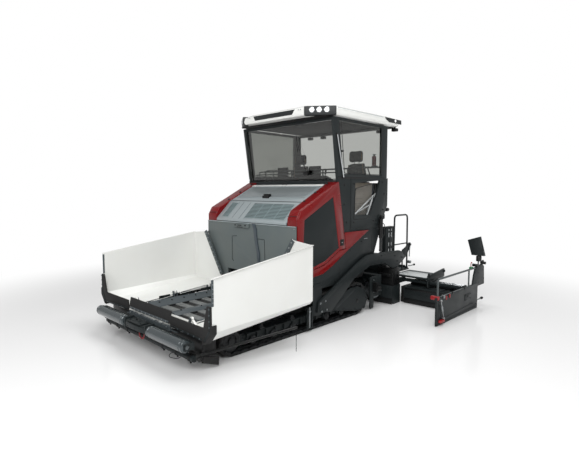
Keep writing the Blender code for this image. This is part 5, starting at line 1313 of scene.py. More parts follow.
@dataclass
class Hopper:
    """The wings' edges, seals and rubber, the conveyors and the grey rear wall."""

    front: float = -3.02
    rear: float = -1.05
    outer: float = 1.656
    slats: int = 14
    floor_low: float = 0.467
    floor_slope: float = 0.0812
    seal_bolts: int = 9
    bed_top: float = 0.4126
    bed_run: Point = (-2.56, 1.28)
    wall_face: float = -1.0053

    def floor_height(self, y: float) -> float:
        """Height of the wing's floor at its inner edge."""
        return self.floor_low + (y - self.front) * self.floor_slope

    @staticmethod
    def bend_guards(floor: bpy.types.Object) -> None:
        """Slope the side guards down to the bed and flatten the one in the middle.

        Args:
            floor: The hopper floor's softened copy.
        """
        for vertex in floor.data.vertices:
            across, height = abs(vertex.co.x), vertex.co.z
            if 0.56 < across < 0.79 and height > 0.44:
                vertex.co.z = min(height, 0.445 + (across - 0.585) * 0.372)
            elif across < 0.2 and height > 0.45:
                vertex.co.x *= 0.75
                vertex.co.z = 0.432 + (height - 0.462) * 0.73

    def build_wings(self) -> None:
        """Add the bolted hem at each wing's front edge."""
        hem = plate("hem", Plane.X,
                    [(self.front - 0.001, 0.95), (self.front + 0.028, 0.95), (self.front + 0.028, 1.30),
                     (self.front - 0.001, 1.30)], self.outer - 0.0125, self.outer + 0.004, 0.001)
        dress_pair(settle(hem, "wing_hem"), GUARD, "wing")
        spots = [(self.outer + 0.004, self.front + 0.014, 1.00 + 0.06 * index) for index in range(5)]
        dress_pair(bolts("wing_hem_bolts", spots, (1, 0, 0), 0.006), ZINC, "wing")

    def build_seals(self) -> None:
        """Bolt the dark rubber seal strip along each wing's sloping rear edge."""
        low, high = Vector((0.73, 0.80)), Vector((1.25, 1.62))
        run = (high - low).normalized()
        across = Vector((-run.y, run.x))
        back = self.rear - 0.0144
        corners = [low - across * 0.028, high - across * 0.028, high + across * 0.05, low + across * 0.05]
        strip = plate("seal_strip", Plane.Y, [tuple(corner) for corner in corners], back - 0.019,
                      back - 0.0006, 0.003)
        dress_pair(strip, SEAL_STRIP, "wing")
        spots = []
        for index in range(self.seal_bolts):
            spot = low + (high - low) * (index + 0.5) / self.seal_bolts + across * 0.011
            spots.append((spot.x, back - 0.019, spot.y))
        dress_pair(bolts("seal_bolts", spots, (0, -1, 0), 0.012), ZINC, "wing")

    def build_strips(self) -> None:
        """Stand a thick rubber in for each front strip, clamped by grey bars with bolts."""
        for side in Side:
            rubber = softened(f"wing_strip_{side.tag}", f"front_rubber_{side.tag}", 0.008, 3)
            dress(rubber, FLAP, f"wing_{side.tag}")
        face = self.front - 0.0283
        clamps = [plate("clamp", Plane.Y, [(0.68, 0.485), (1.46, 0.463), (1.46, 0.488), (0.68, 0.512)],
                        face - 0.007, face + 0.001, 0.002),
                  plate("clamp", Plane.Y, [(1.625, 0.64), (1.648, 0.64), (1.648, 0.94), (1.625, 0.94)],
                        face - 0.007, face + 0.001, 0.002),
                  plate("clamp", Plane.Y, [(1.50, 0.468), (1.545, 0.462), (1.65, 0.61), (1.625, 0.64)],
                        face - 0.007, face + 0.001, 0.002)]
        dress_pair(merged("front_clamps", *clamps), DARK, "wing")
        spots = [(0.74 + 0.135 * index, face - 0.007, 0.4975 - 0.00375 * index) for index in range(1, 6)]
        spots += [(1.6365, face - 0.007, 0.68 + 0.08 * index) for index in range(4)]
        dress_pair(bolts("front_clamp_bolts", spots, (0, -1, 0), 0.009), GUARD, "wing")
        low = plate("corner_flap", Plane.Y,
                    [(1.49, 0.425), (1.545, 0.43), (1.675, 0.585), (1.675, 0.70), (1.655, 0.70),
                     (1.655, 0.62), (1.535, 0.458), (1.49, 0.455)], self.front - 0.04, self.front + 0.06,
                    0.004)
        dress_pair(low, FLAP, "wing")

    def build_flap(self) -> None:
        """Soften the front flap and clamp it with a grey bar."""
        soften("front_flap", FLAP, "front_flap", 0.006, 3)
        bar_low = plate("flap_clamp", Plane.X,
                        [(-3.050, 0.520), (-3.041, 0.520), (-3.0355, 0.548), (-3.0445, 0.548)], -0.60, 0.60,
                        0.002)
        dress(bar_low, GUARD, "front_flap")
        spots = [(-0.54 + 0.12 * index, -3.0485, 0.534) for index in range(10)]
        dress(bolts("flap_bolts", spots, (0, -1, 0.2), 0.009), ZINC, "front_flap")

    def build_floor(self) -> None:
        """Paint the guards and add the white sill plate, the hinge covers and the guards' bolts."""
        floor = softened("hopper_floor", "hopper_floor_skin", 0.003, 1)
        self.bend_guards(floor)
        dress(floor, GUARD, "chassis")
        sill = block("sill", (-0.57, -2.985, 0.414), (0.57, -2.645, 0.428), 0.003)
        ramp = plate("ramp", Plane.X, [(-2.655, 0.414), (-2.62, 0.414), (-2.62, 0.452), (-2.64, 0.455)],
                     -0.57, 0.57, 0.003)
        face = block("face", (-0.60, -2.995, 0.428), (0.60, -2.982, 0.50), 0.003)
        dress(merged("hopper_sill_plate", sill, ramp, face), WHITE)
        aside = plate("aside", Plane.Y, [(0.57, 0.414), (0.83, 0.468), (0.83, 0.476), (0.57, 0.430)], -2.985,
                      -2.64, 0.002)
        shelves = [plate("shelf", Plane.X,
                         [(low, self.floor_height(low) - 0.008), (high, self.floor_height(high) - 0.008),
                          (high, self.floor_height(high)), (low, self.floor_height(low))], 0.785, 0.810,
                         0.001) for low,
                   high in ((-2.98, -2.88), (-2.72, -2.13), (-1.97, -1.38), (-1.22, -1.07))]
        dress_pair(merged("hopper_side_sills", aside, *shelves), WHITE)
        hem = plate("wing_floor_hem", Plane.X,
                    [(-3.0, self.floor_height(-3.0) - 0.006), (-1.06, self.floor_height(-1.06) - 0.006),
                     (-1.06, self.floor_height(-1.06)), (-3.0, self.floor_height(-3.0))], 0.868, 0.900, 0.001)
        dress_pair(hem, WHITE, "wing")
        covers = []
        for y in (-2.29, -1.84, -1.40):
            covers.append(block("cover", (0.788, y - 0.11, 0.515), (0.802, y + 0.11, 0.572), 0.004))
        dress_pair(merged("guard_stops", *covers), DARK)
        spots = [(0.70, y, 0.4878) for y in (-2.45, -2.2, -1.95, -1.7, -1.45, -1.2)]
        dress_pair(bolts("guard_bolts", spots, (-0.35, 0, 0.94), 0.012), DARK)
        dress(bolts("centre_guard_bolts", [(0.0, y, 0.478) for y in (-2.45, -2.05, -1.65, -1.25)], (0, 0, 1),
                    0.012), DARK)
        skirt = plate("wing_skirt", Plane.X, [(-2.10, 0.532), (-1.06, 0.618), (-1.06, 0.532)], 0.893, 0.899,
                      0.001)
        dress_pair(skirt, WHITE, "wing")

    def build_conveyors(self) -> None:
        """Lay the slats on their chains over a dark bed."""
        bed = self.bed_top
        start, end = self.bed_run
        pitch = (end - start) / self.slats
        floor = block("bed", (-0.53, start, bed), (0.53, end, bed + 0.010), 0.002)
        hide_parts("conveyor_slats")
        dress(settle(floor, "conveyor_bed"), BED, "chassis")
        slats, links = [], []
        for side in (-1, 1):
            low, high = (0.11, 0.57) if side > 0 else (-0.57, -0.11)
            slat = plate("slat", Plane.X,
                         [(-0.075, 0.0), (0.075, 0.0), (0.073, 0.012), (0.063, 0.018), (-0.073, 0.018)], low,
                         high, 0.003)
            slats.append(copies("slat_row", slat, [(0.0, start + (index + 0.5) * pitch, bed + 0.010)
                                                   for index in range(self.slats)]))
            for x in (low + 0.012, high - 0.012):
                link = block("link", (x - 0.014, -0.26 * pitch, 0.0), (x + 0.014, 0.26 * pitch, 0.022), 0.004)
                links.append(copies("link_row", link, [(0.0, start + index * pitch, bed + 0.010)
                                                       for index in range(1, self.slats)]))
        dress(merged("conveyor_slat_bars", *slats), SLAT)
        dress(merged("conveyor_chains", *links), CASTING)

    def build_rear_wall(self) -> None:
        """Dress the grey rear wall: hatch seams, slotted block, a dark upright band of painted shade, and
        folded top edge.
        """
        soften("hopper_rear_wall", WALL, "chassis", 0.003, 2)
        face = self.wall_face
        seams = []
        for run in ([(-0.32, 1.586), (-0.46, 1.568), (-0.46, 1.12), (-0.42, 1.09)],
                    [(0.27, 1.568), (0.465, 1.568), (0.475, 1.12)]):
            seams.append(tube("seam", [(x, face - 0.001, z) for x, z in run], 0.0045, 0.012))
        dress(merged("wall_seams", *seams), BLACK)
        edge = tube("top_edge", [(-1.235, face - 0.002, 1.838), (1.235, face - 0.002, 1.838)], 0.008, 0.0)
        dress(edge, SILVER)
        # The S-curved upright band: a raised strip whose dark grey is painted shade of the stepped panel edge
        # beside it
        strip_points = [(0.13, 1.842), (0.215, 1.842), (0.262, 1.74), (0.272, 1.62), (0.30, 1.46),
                        (0.345, 1.30), (0.352, 0.95), (0.275, 0.95), (0.272, 1.30), (0.225, 1.46),
                        (0.195, 1.64), (0.18, 1.75)]
        dress(plate("wall_upright", Plane.Y, strip_points, face - 0.022, face + 0.002, 0.006), SHADED_UPRIGHT)
        shelf = block("shelf", (-0.36, face - 0.035, 1.752), (0.06, face + 0.002, 1.822), 0.006)
        dress(settle(shelf, "wall_slot_block"), WALL)
        slots = [block("slot", (x, face - 0.038, 1.785), (x + width, face - 0.030, 1.805), 0.002)
                 for x, width in ((-0.345, 0.05), (-0.255, 0.12), (-0.06, 0.055))]
        slots.append(block("mark", (-0.27, face - 0.0375, 1.758), (-0.10, face - 0.030, 1.770), 0.002))
        dress(merged("wall_slots", *slots), BLACK)
        spots = [(side * x, face, z) for side in (-1, 1) for x,
                 z in ((1.20, 1.80), (1.20, 1.55), (1.20, 1.30), (1.20, 1.05))]
        dress(bolts("wall_bolts", spots, (0, -1, 0), 0.010), ZINC)
        handles = []
        for side in (-1, 1):
            handles.append(plate("ear", Plane.Y,
                                 [(side * 1.215, 1.57), (side * 1.26, 1.60), (side * 1.215, 1.63)],
                                 face - 0.02, face, 0.003))
        dress(merged("wall_ears", *handles), ZINC)

    def build(self) -> None:
        """Build the whole hopper."""
        self.build_wings()
        self.build_seals()
        self.build_strips()
        self.build_flap()
        self.build_floor()
        self.build_conveyors()
        self.build_rear_wall()


@dataclass
class HoodLid:
    """The silver lid: grilles on its steep lower half, punched sheet under the flatter upper one."""

    body: str = "hood_lid"

    def raised(self, name: str, x_low: float, x_high: float, y_low: float, y_high: float, lift: float = 0.0,
               thick: float = 0.006, bevel: float = 0.002) -> bpy.types.Object:
        """Make a flat strip that lies on the lid.

        Args:
            name: The piece's name.
            x_low: Its right edge.
            x_high: Its left edge.
            y_low: Its front edge.
            y_high: Its rear edge.
            lift: How far above the lid it starts.
            thick: Its thickness.
            bevel: Width of its rounded edges.

        Returns:
            The new object.
        """
        out = Vector((-0.691, 0.722)) if y_high < -0.62 else Vector((-0.445, 0.896))
        line = [Vector((y, self.height(y))) + out * lift for y in (y_low, y_high)]
        outline = [line[0], line[1], line[1] + out * thick, line[0] + out * thick]
        return plate(name, Plane.X, [tuple(point) for point in outline], x_low, x_high, bevel)

    @staticmethod
    def height(y: float) -> float:
        """The lid's upper face at a distance along the machine."""
        return 2.235 + (y + 0.615) * (0.957 if y < -0.615 else 0.4966)

    def build_lower(self) -> None:
        """Frame the lower half, seam it, and lay the louvres of its two grilles."""
        frames, blades = [], []
        for low, high, count in ((-0.885, -0.665, 1), (-0.20, 0.90, 4)):
            for x in (low, high - 0.018):
                frames.append(self.raised("side", x, x + 0.018, -0.945, -0.645))
            for y in (-0.945, -0.657):
                frames.append(self.raised("end", low, high, y, y + 0.012))
            pitch = (high - low - 0.036) / count
            for part in range(1, count):
                x = low + 0.018 + part * pitch
                blades.append(self.raised("post", x - 0.008, x + 0.008, -0.933, -0.657, 0.0, 0.004, 0.001))
            for row in range(11):
                y = -0.928 + row * 0.0245
                blades.append(self.raised("blade", low + 0.018, high - 0.018, y, y + 0.012, 0.001, 0.005,
                                          0.001))
            shadow = self.raised("recess", low + 0.015, high - 0.015, -0.937, -0.655, -0.001, 0.0022, 0.0)
            dress(settle(shadow, f"grille_recess_{count}"), LOUVRE_SHADOW, self.body)
        dress(merged("lid_grille_frames", *frames), SILVER, self.body)
        dress(merged("lid_louvres", *blades), LOUVRE, self.body)
        seams = [self.raised("seam", x - 0.003, x + 0.003, -0.955, -0.635, 0.0, 0.0015, 0.0)
                 for x in (-0.53, -0.32)]
        seams.append(self.raised("step", -0.99, 0.99, -0.612, -0.598, 0.0, 0.004, 0.001))
        dress(merged("lid_seams", *seams), BLACK, self.body)
        lip = plate("lid_front_lip", Plane.X,
                    [(-0.979, 1.852), (-0.967, 1.852), (-0.955, 1.902), (-0.965, 1.904), (-0.979, 1.893)],
                    -0.985, 0.985, 0.003)
        dress(lip, SILVER, self.body)

    def build_upper(self) -> None:
        """Lay the punched sheet and its rim, the strip at the top with its white as a painted highlight of
        the glare, the ring handle and the fitting.
        """
        dress(settle(self.raised("sheet", -0.92, 0.92, -0.46, -0.055, 0.0, 0.004, 0.001),
                     "lid_punched_sheet"), PUNCHED, self.body)
        rim = [self.raised("rim", x, x + 0.022, -0.48, -0.035, 0.0, 0.010, 0.003) for x in (-0.94, 0.918)]
        rim += [self.raised("rim", -0.94, 0.94, y, y + 0.020, 0.0, 0.010, 0.003) for y in (-0.48, -0.055)]
        dress(merged("lid_rim", *rim), SILVER, self.body)
        # The lip along the lid's top: a real strip, painted white as a painted highlight of the glare that
        # runs along it
        dress(settle(self.raised("lip", -0.985, 0.985, -0.028, 0.024, 0.0, 0.014, 0.006), "lid_top_strip"),
              WHITE, self.body)
        handle = tube("lid_ring_handle", [(-0.075, 0.0, 2.556), (-0.07, -0.02, 2.59), (-0.02, -0.03, 2.602),
                                          (0.03, -0.02, 2.59), (0.035, 0.0, 2.556)], 0.010, 0.03)
        fitting = merged("fitting", block("foot", (-0.15, -0.50, 2.296), (0.03, -0.44, 2.345), 0.008),
                         block("hood", (-0.14, -0.478, 2.332), (0.02, -0.412, 2.382), 0.012))
        dress(merged("lid_handle", handle, fitting), BLACK, self.body)
        ribs = [block("rib", (-0.13 + 0.03 * step, -0.503, 2.30), (-0.122 + 0.03 * step, -0.495, 2.343),
                      0.002) for step in range(6)]
        dress(merged("lid_fitting_ribs", *ribs), PLASTIC, self.body)

    def build_rails(self) -> None:
        """Round the red rails and set their knobs and front joints."""
        soften_pair("hood_rail", RED, "chassis", 0.034, 5)
        knobs = [turned("knob", [(0, 0), (0, 0.02), (0.008, 0.022), (0.022, 0.016), (0.026, 0.0)],
                        (x, y, 2.555 + 0.5 * y - 0.001), (0, -0.447, 0.894), 20)
                 for x, y in ((1.06, -0.60), (1.055, -0.30), (1.06, 0.02))]
        dress_pair(merged("rail_knobs", *knobs), PLASTIC)
        groove = tube("rail_joint", [(1.003, -0.958, 2.005), (1.015, -0.972, 2.012), (1.205, -0.972, 2.012),
                                     (1.222, -0.958, 2.005)], 0.004, 0.01)
        dress_pair(groove, PLASTIC)

    def build(self) -> None:
        """Build the lid and its rails."""
        soften("hood_lid", SILVER, self.body, 0.006, 2)
        self.build_lower()
        self.build_upper()
        self.build_rails()


@dataclass
class BodySides:
    """The side doors, the red trim, the dark tub and their seams, latches and bolts."""

    face: float = 1.265

    def build_doors(self) -> None:
        """Round the door's frame and its dark panel and fit the latch and the lock."""
        soften_pair("door_frame", RED, "side_door", 0.014, 4)
        soften_pair("door_panel", DARK_PANEL, "side_door", 0.005, 3)
        latch = block("latch", (self.face - 0.004, 0.16, 1.42), (self.face + 0.003, 0.275, 1.54), 0.003)
        cup = block("cup", (self.face + 0.001, 0.18, 1.445), (self.face + 0.008, 0.255, 1.515), 0.004)
        dress_pair(merged("door_latch", latch, cup), BLACK, "side_door")
        key = turned("key", [(0, 0), (0, 0.012), (0.004, 0.010), (0.004, 0)],
                     (self.face + 0.007, 0.218, 1.48), (1, 0, 0), 18)
        dress_pair(settle(key, "door_lock"), ZINC, "side_door")

    def build_trim(self) -> None:
        """Round the swoosh and mark the small slots beside it."""
        soften_pair("side_trim", RED, "chassis", 0.010, 4)
        slots = [block("slot", (1.249, 0.495, 1.293), (1.2525, 0.548, 1.313), 0.001),
                 block("pin", (1.249, 0.858, 1.44), (1.262, 0.90, 1.457), 0.003),
                 block("vent", (1.249, 0.64, 1.700), (1.2525, 0.78, 1.712), 0.001)]
        dress_pair(merged("side_slots", *slots), BLACK)
        bright = block("strip", (1.2495, 0.955, 1.492), (1.2535, 1.06, 1.500), 0.001)
        dress_pair(settle(bright, "trim_bright_strip"), CHROME)

    def build_tub(self) -> None:
        """Round the tub, line its panels and bolt them; add the black inner plate between the tub and the
        track.
        """
        soften("chassis_frame", DARK, "chassis", 0.006, 2)
        seams = [tube("seam", [(1.2503, y, low), (1.2503, y, high)], 0.003, 0.0)
                 for y, low, high in ((0.16, 0.80, 1.03), (1.22, 0.98, 1.56), (0.93, 0.85, 1.12))]
        dress_pair(merged("tub_seams", *seams), BLACK)
        spots = [(1.25, y, z) for y,
                 z in ((-0.86, 1.30), (-0.86, 0.95), (-0.45, 0.80), (0.03, 0.785), (1.12, 1.18), (1.45, 1.55),
                       (1.34, 1.05), (-0.60, 0.78))]
        dress_pair(bolts("tub_bolts", spots, (1, 0, 0), 0.009), DARK)
        inner = plate("bulkhead", Plane.X, [(-0.98, 0.72), (1.0, 0.72), (1.15, 0.95), (-0.98, 0.95)], 1.16,
                      1.18, 0.003)
        dress_pair(settle(inner, "track_guard_inner"), BLACK)

    def build_front_posts(self) -> None:
        """Stand the tow point's guide posts with their foot and height screw before the arms' feet."""
        post = [block("post", (1.2687, -0.775, 0.07), (1.300, -0.748, 0.42), 0.004),
                block("post", (1.2687, -0.665, 0.07), (1.300, -0.638, 0.44), 0.004),
                block("foot", (1.262, -0.785, 0.055), (1.300, -0.63, 0.075), 0.004)]
        dress_pair(merged("tow_guide_posts", *post), DARK)
        rod = tube("rod", [(1.287, -0.707, 0.075), (1.287, -0.707, 0.43)], 0.014, 0.0)
        nut = turned("nut", [(0, 0), (0, 0.026), (0.03, 0.026), (0.03, 0)], (1.287, -0.707, 0.345), (0, 0, 1),
                     6)
        dress_pair(merged("tow_height_screw", rod, nut), ZINC)

    def build(self) -> None:
        """Build both sides."""
        self.build_doors()
        self.build_trim()
        self.build_tub()
        self.build_front_posts()


@dataclass
class Cab:
    """The cab's frame, glass seals, panels, rails, consoles and small fittings."""

    outer: float = 1.2503
    platform_top: float = 1.95
    screen_drop: float = 0.12
    screen_slope: float = 0.147
    mat_ribs: int = 27

    def lower_sill(self, skeleton: bpy.types.Object) -> None:
        """Bring the frame's front sill down to the hood.

        Args:
            skeleton: The cab frame's softened copy.
        """
        for vertex in skeleton.data.vertices:
            if abs(vertex.co.x) < 1.2 and vertex.co.y < 0.28 and 2.66 < vertex.co.z < 2.80:
                vertex.co.z -= self.screen_drop

    def lower_screen(self, screen: bpy.types.Object) -> None:
        """Bring the windscreen's lower edge down, along the pane's own slope.

        Args:
            screen: The windscreen's softened copy.
        """
        for vertex in screen.data.vertices:
            if vertex.co.z < 3.0:
                vertex.co.z -= self.screen_drop
                vertex.co.y += self.screen_drop * self.screen_slope

    def build_frame(self) -> None:
        """Round the frame and the panels and glaze them."""
        skeleton = softened("cab_frame", "cab_frame_skin", 0.010, 3)
        self.lower_sill(skeleton)
        dress(skeleton, FRAME, "chassis")
        screen = softened("windscreen", "windscreen_pane", 0.001, 1)
        self.lower_screen(screen)
        dress(screen, GLASS, "chassis")
        soften_pair("cab_side", FRAME, "chassis", 0.012, 3)
        for node in ("side_glass_left", "side_glass_right"):
            frame["nodes"][node].data.materials[0] = GLASS.material()

    def build_seals(self) -> None:
        """Lay the rubber seals round the side glass, the windscreen and the low window."""
        side = [(self.outer + 0.001, y, z) for y,
                z in ((0.29, 2.765), (0.17, 3.735), (1.53, 3.735), (1.53, 2.765))]
        low = [(self.outer + 0.001, y, z) for y,
               z in ((0.60, 1.89), (0.64, 2.485), (1.315, 2.60), (1.30, 2.42), (1.08, 1.89))]
        seals = [tube("seal", side + side[:2], 0.006, 0.05), tube("seal", low + low[:2], 0.007, 0.06)]
        dress_pair(merged("cab_seals", *seals), PLASTIC)
        screen = [(-1.19, 0.134, 2.655), (1.19, 0.134, 2.655), (1.19, -0.024, 3.735), (-1.19, -0.024, 3.735)]
        dress(tube("windscreen_seal", screen + screen[:2], 0.007, 0.04), PLASTIC)
        sills = [block("sill", (1.19, 0.12, 2.655), (1.243, 1.735, 2.709), 0.004),
                 block("sill", (0.99, 0.118, 2.57), (1.243, 0.165, 2.640), 0.004)]
        dress_pair(merged("cab_sill_seal", *sills), PLASTIC)

    def build_low_window(self) -> None:
        """Set the pale diagonal frame, the tan locker and the pane in the low window."""
        corners = [(1.196, y, z) for y, z in ((0.655, 1.955), (1.39, 2.375), (1.285, 2.255), (1.105, 1.935))]
        frame_tube = tube("window_frame", corners + corners[:2], 0.016, 0.05)
        cross = tube("cross", [(1.196, 0.80, 2.03), (1.196, 1.20, 2.15)], 0.012, 0.0)
        dress_pair(merged("low_window_frame", frame_tube, cross), PALE_SLOT)
        locker = [block("panel", (1.125, 0.56, 1.958), (1.140, 1.36, 2.60), 0.003),
                  block("box", (1.140, 0.68, 2.30), (1.165, 1.02, 2.46), 0.008),
                  block("ledge", (1.140, 0.62, 2.20), (1.160, 1.30, 2.225), 0.004)]
        dress_pair(merged("side_locker", *locker), TAN)
        panes = plate("low_window_pane", Plane.X,
                      [(0.60, 1.89), (1.08, 1.89), (1.30, 2.42), (1.315, 2.60), (0.64, 2.485)], 1.219, 1.225,
                      0.001)
        dress_pair(panes, PANE)

    def build_rods(self) -> None:
        """Add the bright assist rod beside each front pillar with its brackets and knob."""
        rod = tube("assist_rod", [(1.268, 0.245, 2.69), (1.268, 0.048, 3.455)], 0.013, 0.0)
        dress_pair(rod, CHROME)
        ends = [block("bracket", (1.245, y - 0.02, z - 0.025), (1.272, y + 0.02, z + 0.025), 0.005)
                for y, z in ((0.245, 2.70), (0.05, 3.45))]
        ends.append(bar("knob", (1.25, 0.20, 3.166), (1.29, 0.20, 3.166), 0.016, 18, 0.004))
        dress_pair(merged("assist_rod_brackets", *ends), BLACK)

    def build_panel_bolts(self) -> None:
        """Bolt the side panels, seam them and set the small rear lamp."""
        spots = [(1.2485, y, z) for y, z in ((0.299, 2.548), (0.37, 1.843), (0.30, 2.18))]
        spots += [(self.outer, y, z) for y,
                  z in ((0.602, 2.57), (1.577, 2.618), (1.652, 2.382), (1.271, 1.834), (0.605, 1.835),
                        (1.62, 2.05))]
        dress_pair(bolts("panel_bolts", spots, (1, 0, 0), 0.012), BLACK)
        dress_pair(tube("panel_seam", [(self.outer, 0.4935, 1.70), (self.outer, 0.4935, 2.68)], 0.003, 0.0),
                   BLACK)
        lamp = merged("lamp", bar("stem", (1.18, 1.70, 2.04), (1.18, 1.84, 2.04), 0.020, 18, 0.003),
                      bar("shell", (1.18, 1.83, 2.04), (1.18, 1.925, 2.04), 0.038, 24, 0.008))
        dress_pair(settle(lamp, "rear_lamp_shell"), BLACK)
        dress_pair(bar("rear_lamp_lens", (1.18, 1.92, 2.04), (1.18, 1.928, 2.04), 0.031, 24, 0.002), LAMP)

    def build_rails(self) -> None:
        """Bend the guard rails inside the glass."""
        front = tube("rail", [(-1.14, 0.30, 2.72), (-1.14, 0.33, 2.85), (1.05, 0.33, 2.85),
                              (1.05, 0.30, 2.72)], 0.016, 0.06)
        lower = tube("rail", [(-1.16, 0.25, 2.785), (1.16, 0.25, 2.785)], 0.013, 0.0)
        posts = [tube("post", [(x, 0.33, 2.85), (x, 0.34, 2.60)], 0.013, 0.0) for x in (-0.95, -0.15, 0.70)]
        dress(merged("front_guard_rail", front, lower, *posts), SATIN)
        side = tube("rail", [(1.15, 0.53, 2.70), (1.15, 0.52, 2.885), (1.15, 1.66, 2.93), (1.15, 1.66, 2.72)],
                    0.017, 0.06)
        stays = [tube("stay", [(1.15, 0.77, 2.72), (1.15, 0.77, 2.895)], 0.013, 0.0),
                 tube("stay", [(1.15, 1.28, 2.73), (1.15, 1.17, 2.91)], 0.012, 0.0)]
        dress_pair(merged("side_guard_rail", side, *stays), SATIN)
        rear = tube("rail", [(-1.15, 1.66, 2.93), (1.15, 1.66, 2.93)], 0.017, 0.0)
        rear_posts = [tube("post", [(x, 1.66, 1.95), (x, 1.66, 2.93)], 0.016, 0.0) for x in (-0.42, 0.42)]
        dress(merged("rear_guard_rail", rear, *rear_posts), SATIN)

    def build_consoles(self) -> None:
        """Round the platform's block and equip the console with displays, buttons, stop buttons and levers.
        """
        soften("platform", DARK, "chassis", 0.010, 2)
        dark, glass, bright, red = [], [], [], []
        for x in (-0.45, 0.45):
            dark.append(plate("desk", Plane.X, [(0.33, 2.60), (0.62, 2.60), (0.62, 2.64), (0.36, 2.74)],
                              x - 0.32, x + 0.32, 0.012))
            dark.append(block("display", (x - 0.15, 0.36, 2.73), (x + 0.15, 0.40, 2.93), 0.010))
            glass.append(block("screen", (x - 0.13, 0.398, 2.755), (x + 0.13, 0.404, 2.91), 0.002))
            for step in range(6):
                bright.append(bar("button", (x - 0.22 + step * 0.05, 0.54, 2.655),
                                  (x - 0.22 + step * 0.05, 0.55, 2.68), 0.010, 12, 0.003))
            red.append(bar("stop", (x + 0.26, 0.53, 2.66), (x + 0.26, 0.54, 2.70), 0.020, 18, 0.006))
            dark.append(tube("lever", [(x + 0.10, 0.56, 2.65), (x + 0.10, 0.585, 2.79)], 0.009, 0.0))
            dark.append(bar("grip", (x + 0.10, 0.583, 2.77), (x + 0.10, 0.60, 2.87), 0.020, 18, 0.008))
        dress(merged("console_desks", *dark), PLASTIC)
        dress(merged("console_screens", *glass), SCREEN)
        dress(merged("console_buttons", *bright), ZINC)
        dress(merged("console_stop_buttons", *red), RED_PLASTIC)

    def build_inside(self) -> None:
        """Lay the rubber mat, the extinguisher, the rear lockers and the seat consoles."""
        mat = [block("mat", (-1.10, 0.60, self.platform_top), (1.10, 1.72, self.platform_top + 0.008), 0.003)]
        mat += [block("rib", (-1.08, 0.63 + 0.04 * row, self.platform_top + 0.006),
                      (1.08, 0.645 + 0.04 * row, self.platform_top + 0.012), 0.002)
                for row in range(self.mat_ribs)]
        dress(merged("platform_mat", *mat), PAD)
        shell = bar("shell", (1.03, 1.585, 2.96), (1.03, 1.585, 3.16), 0.045, 24, 0.015)
        dress(settle(shell, "extinguisher"), RED_PLASTIC)
        cap = merged("cap", bar("neck", (1.03, 1.585, 3.155), (1.03, 1.585, 3.19), 0.016, 16, 0.003),
                     block("lever", (1.015, 1.55, 3.185), (1.045, 1.64, 3.20), 0.004),
                     block("holder", (0.975, 1.56, 2.93), (1.085, 1.65, 2.965), 0.008))
        dress(settle(cap, "extinguisher_valve"), BLACK)
        locker = [block("locker", (0.46, 1.60, 1.958), (1.14, 1.685, 2.60), 0.012),
                  block("door", (0.50, 1.592, 2.02), (0.78, 1.602, 2.55), 0.004),
                  block("door", (0.80, 1.592, 2.02), (1.10, 1.602, 2.55), 0.004)]
        dress_pair(merged("rear_lockers", *locker), DARK_PANEL)
        arms = []
        for side in (-1, 1):
            arms.append(block("box", (side * 0.78 + 0.26 * side - 0.07, 0.86, 2.50),
                              (side * 0.78 + 0.26 * side + 0.07, 1.34, 2.62), 0.020))
            arms.append(tube("lever", [(side * 1.04, 0.94, 2.61), (side * 1.04, 0.93, 2.78)], 0.010, 0.0))
            arms.append(turned("knob", [(0, 0), (0, 0.018), (0.02, 0.027), (0.045, 0.024), (0.055, 0.0)],
                               (side * 1.04, 0.93, 2.77), (0, 0, 1), 18))
            arms.append(block("post", (side * 1.04 - 0.04, 1.06, 1.955), (side * 1.04 + 0.04, 1.18, 2.51),
                              0.012))
        dress(merged("seat_consoles", *arms), PLASTIC)

    def build_wiper(self) -> None:
        """Mount the wiper with its motor and arm on the windscreen."""
        arm = tube("arm", [(0.48, 0.09, 2.80), (0.40, 0.045, 3.10), (0.30, 0.008, 3.40)], 0.008, 0.05)
        blade = tube("blade", [(0.30, 0.032, 3.20), (0.30, -0.008, 3.52)], 0.007, 0.0)
        motor = block("motor", (0.42, 0.05, 2.735), (0.54, 0.12, 2.82), 0.014)
        dress(merged("wiper", arm, blade, motor), BLACK)

    def build(self) -> None:
        """Build the whole cab."""
        self.build_frame()
        self.build_seals()
        self.build_low_window()
        self.build_rods()
        self.build_panel_bolts()
        self.build_rails()
        self.build_consoles()
        self.build_inside()
        self.build_wiper()


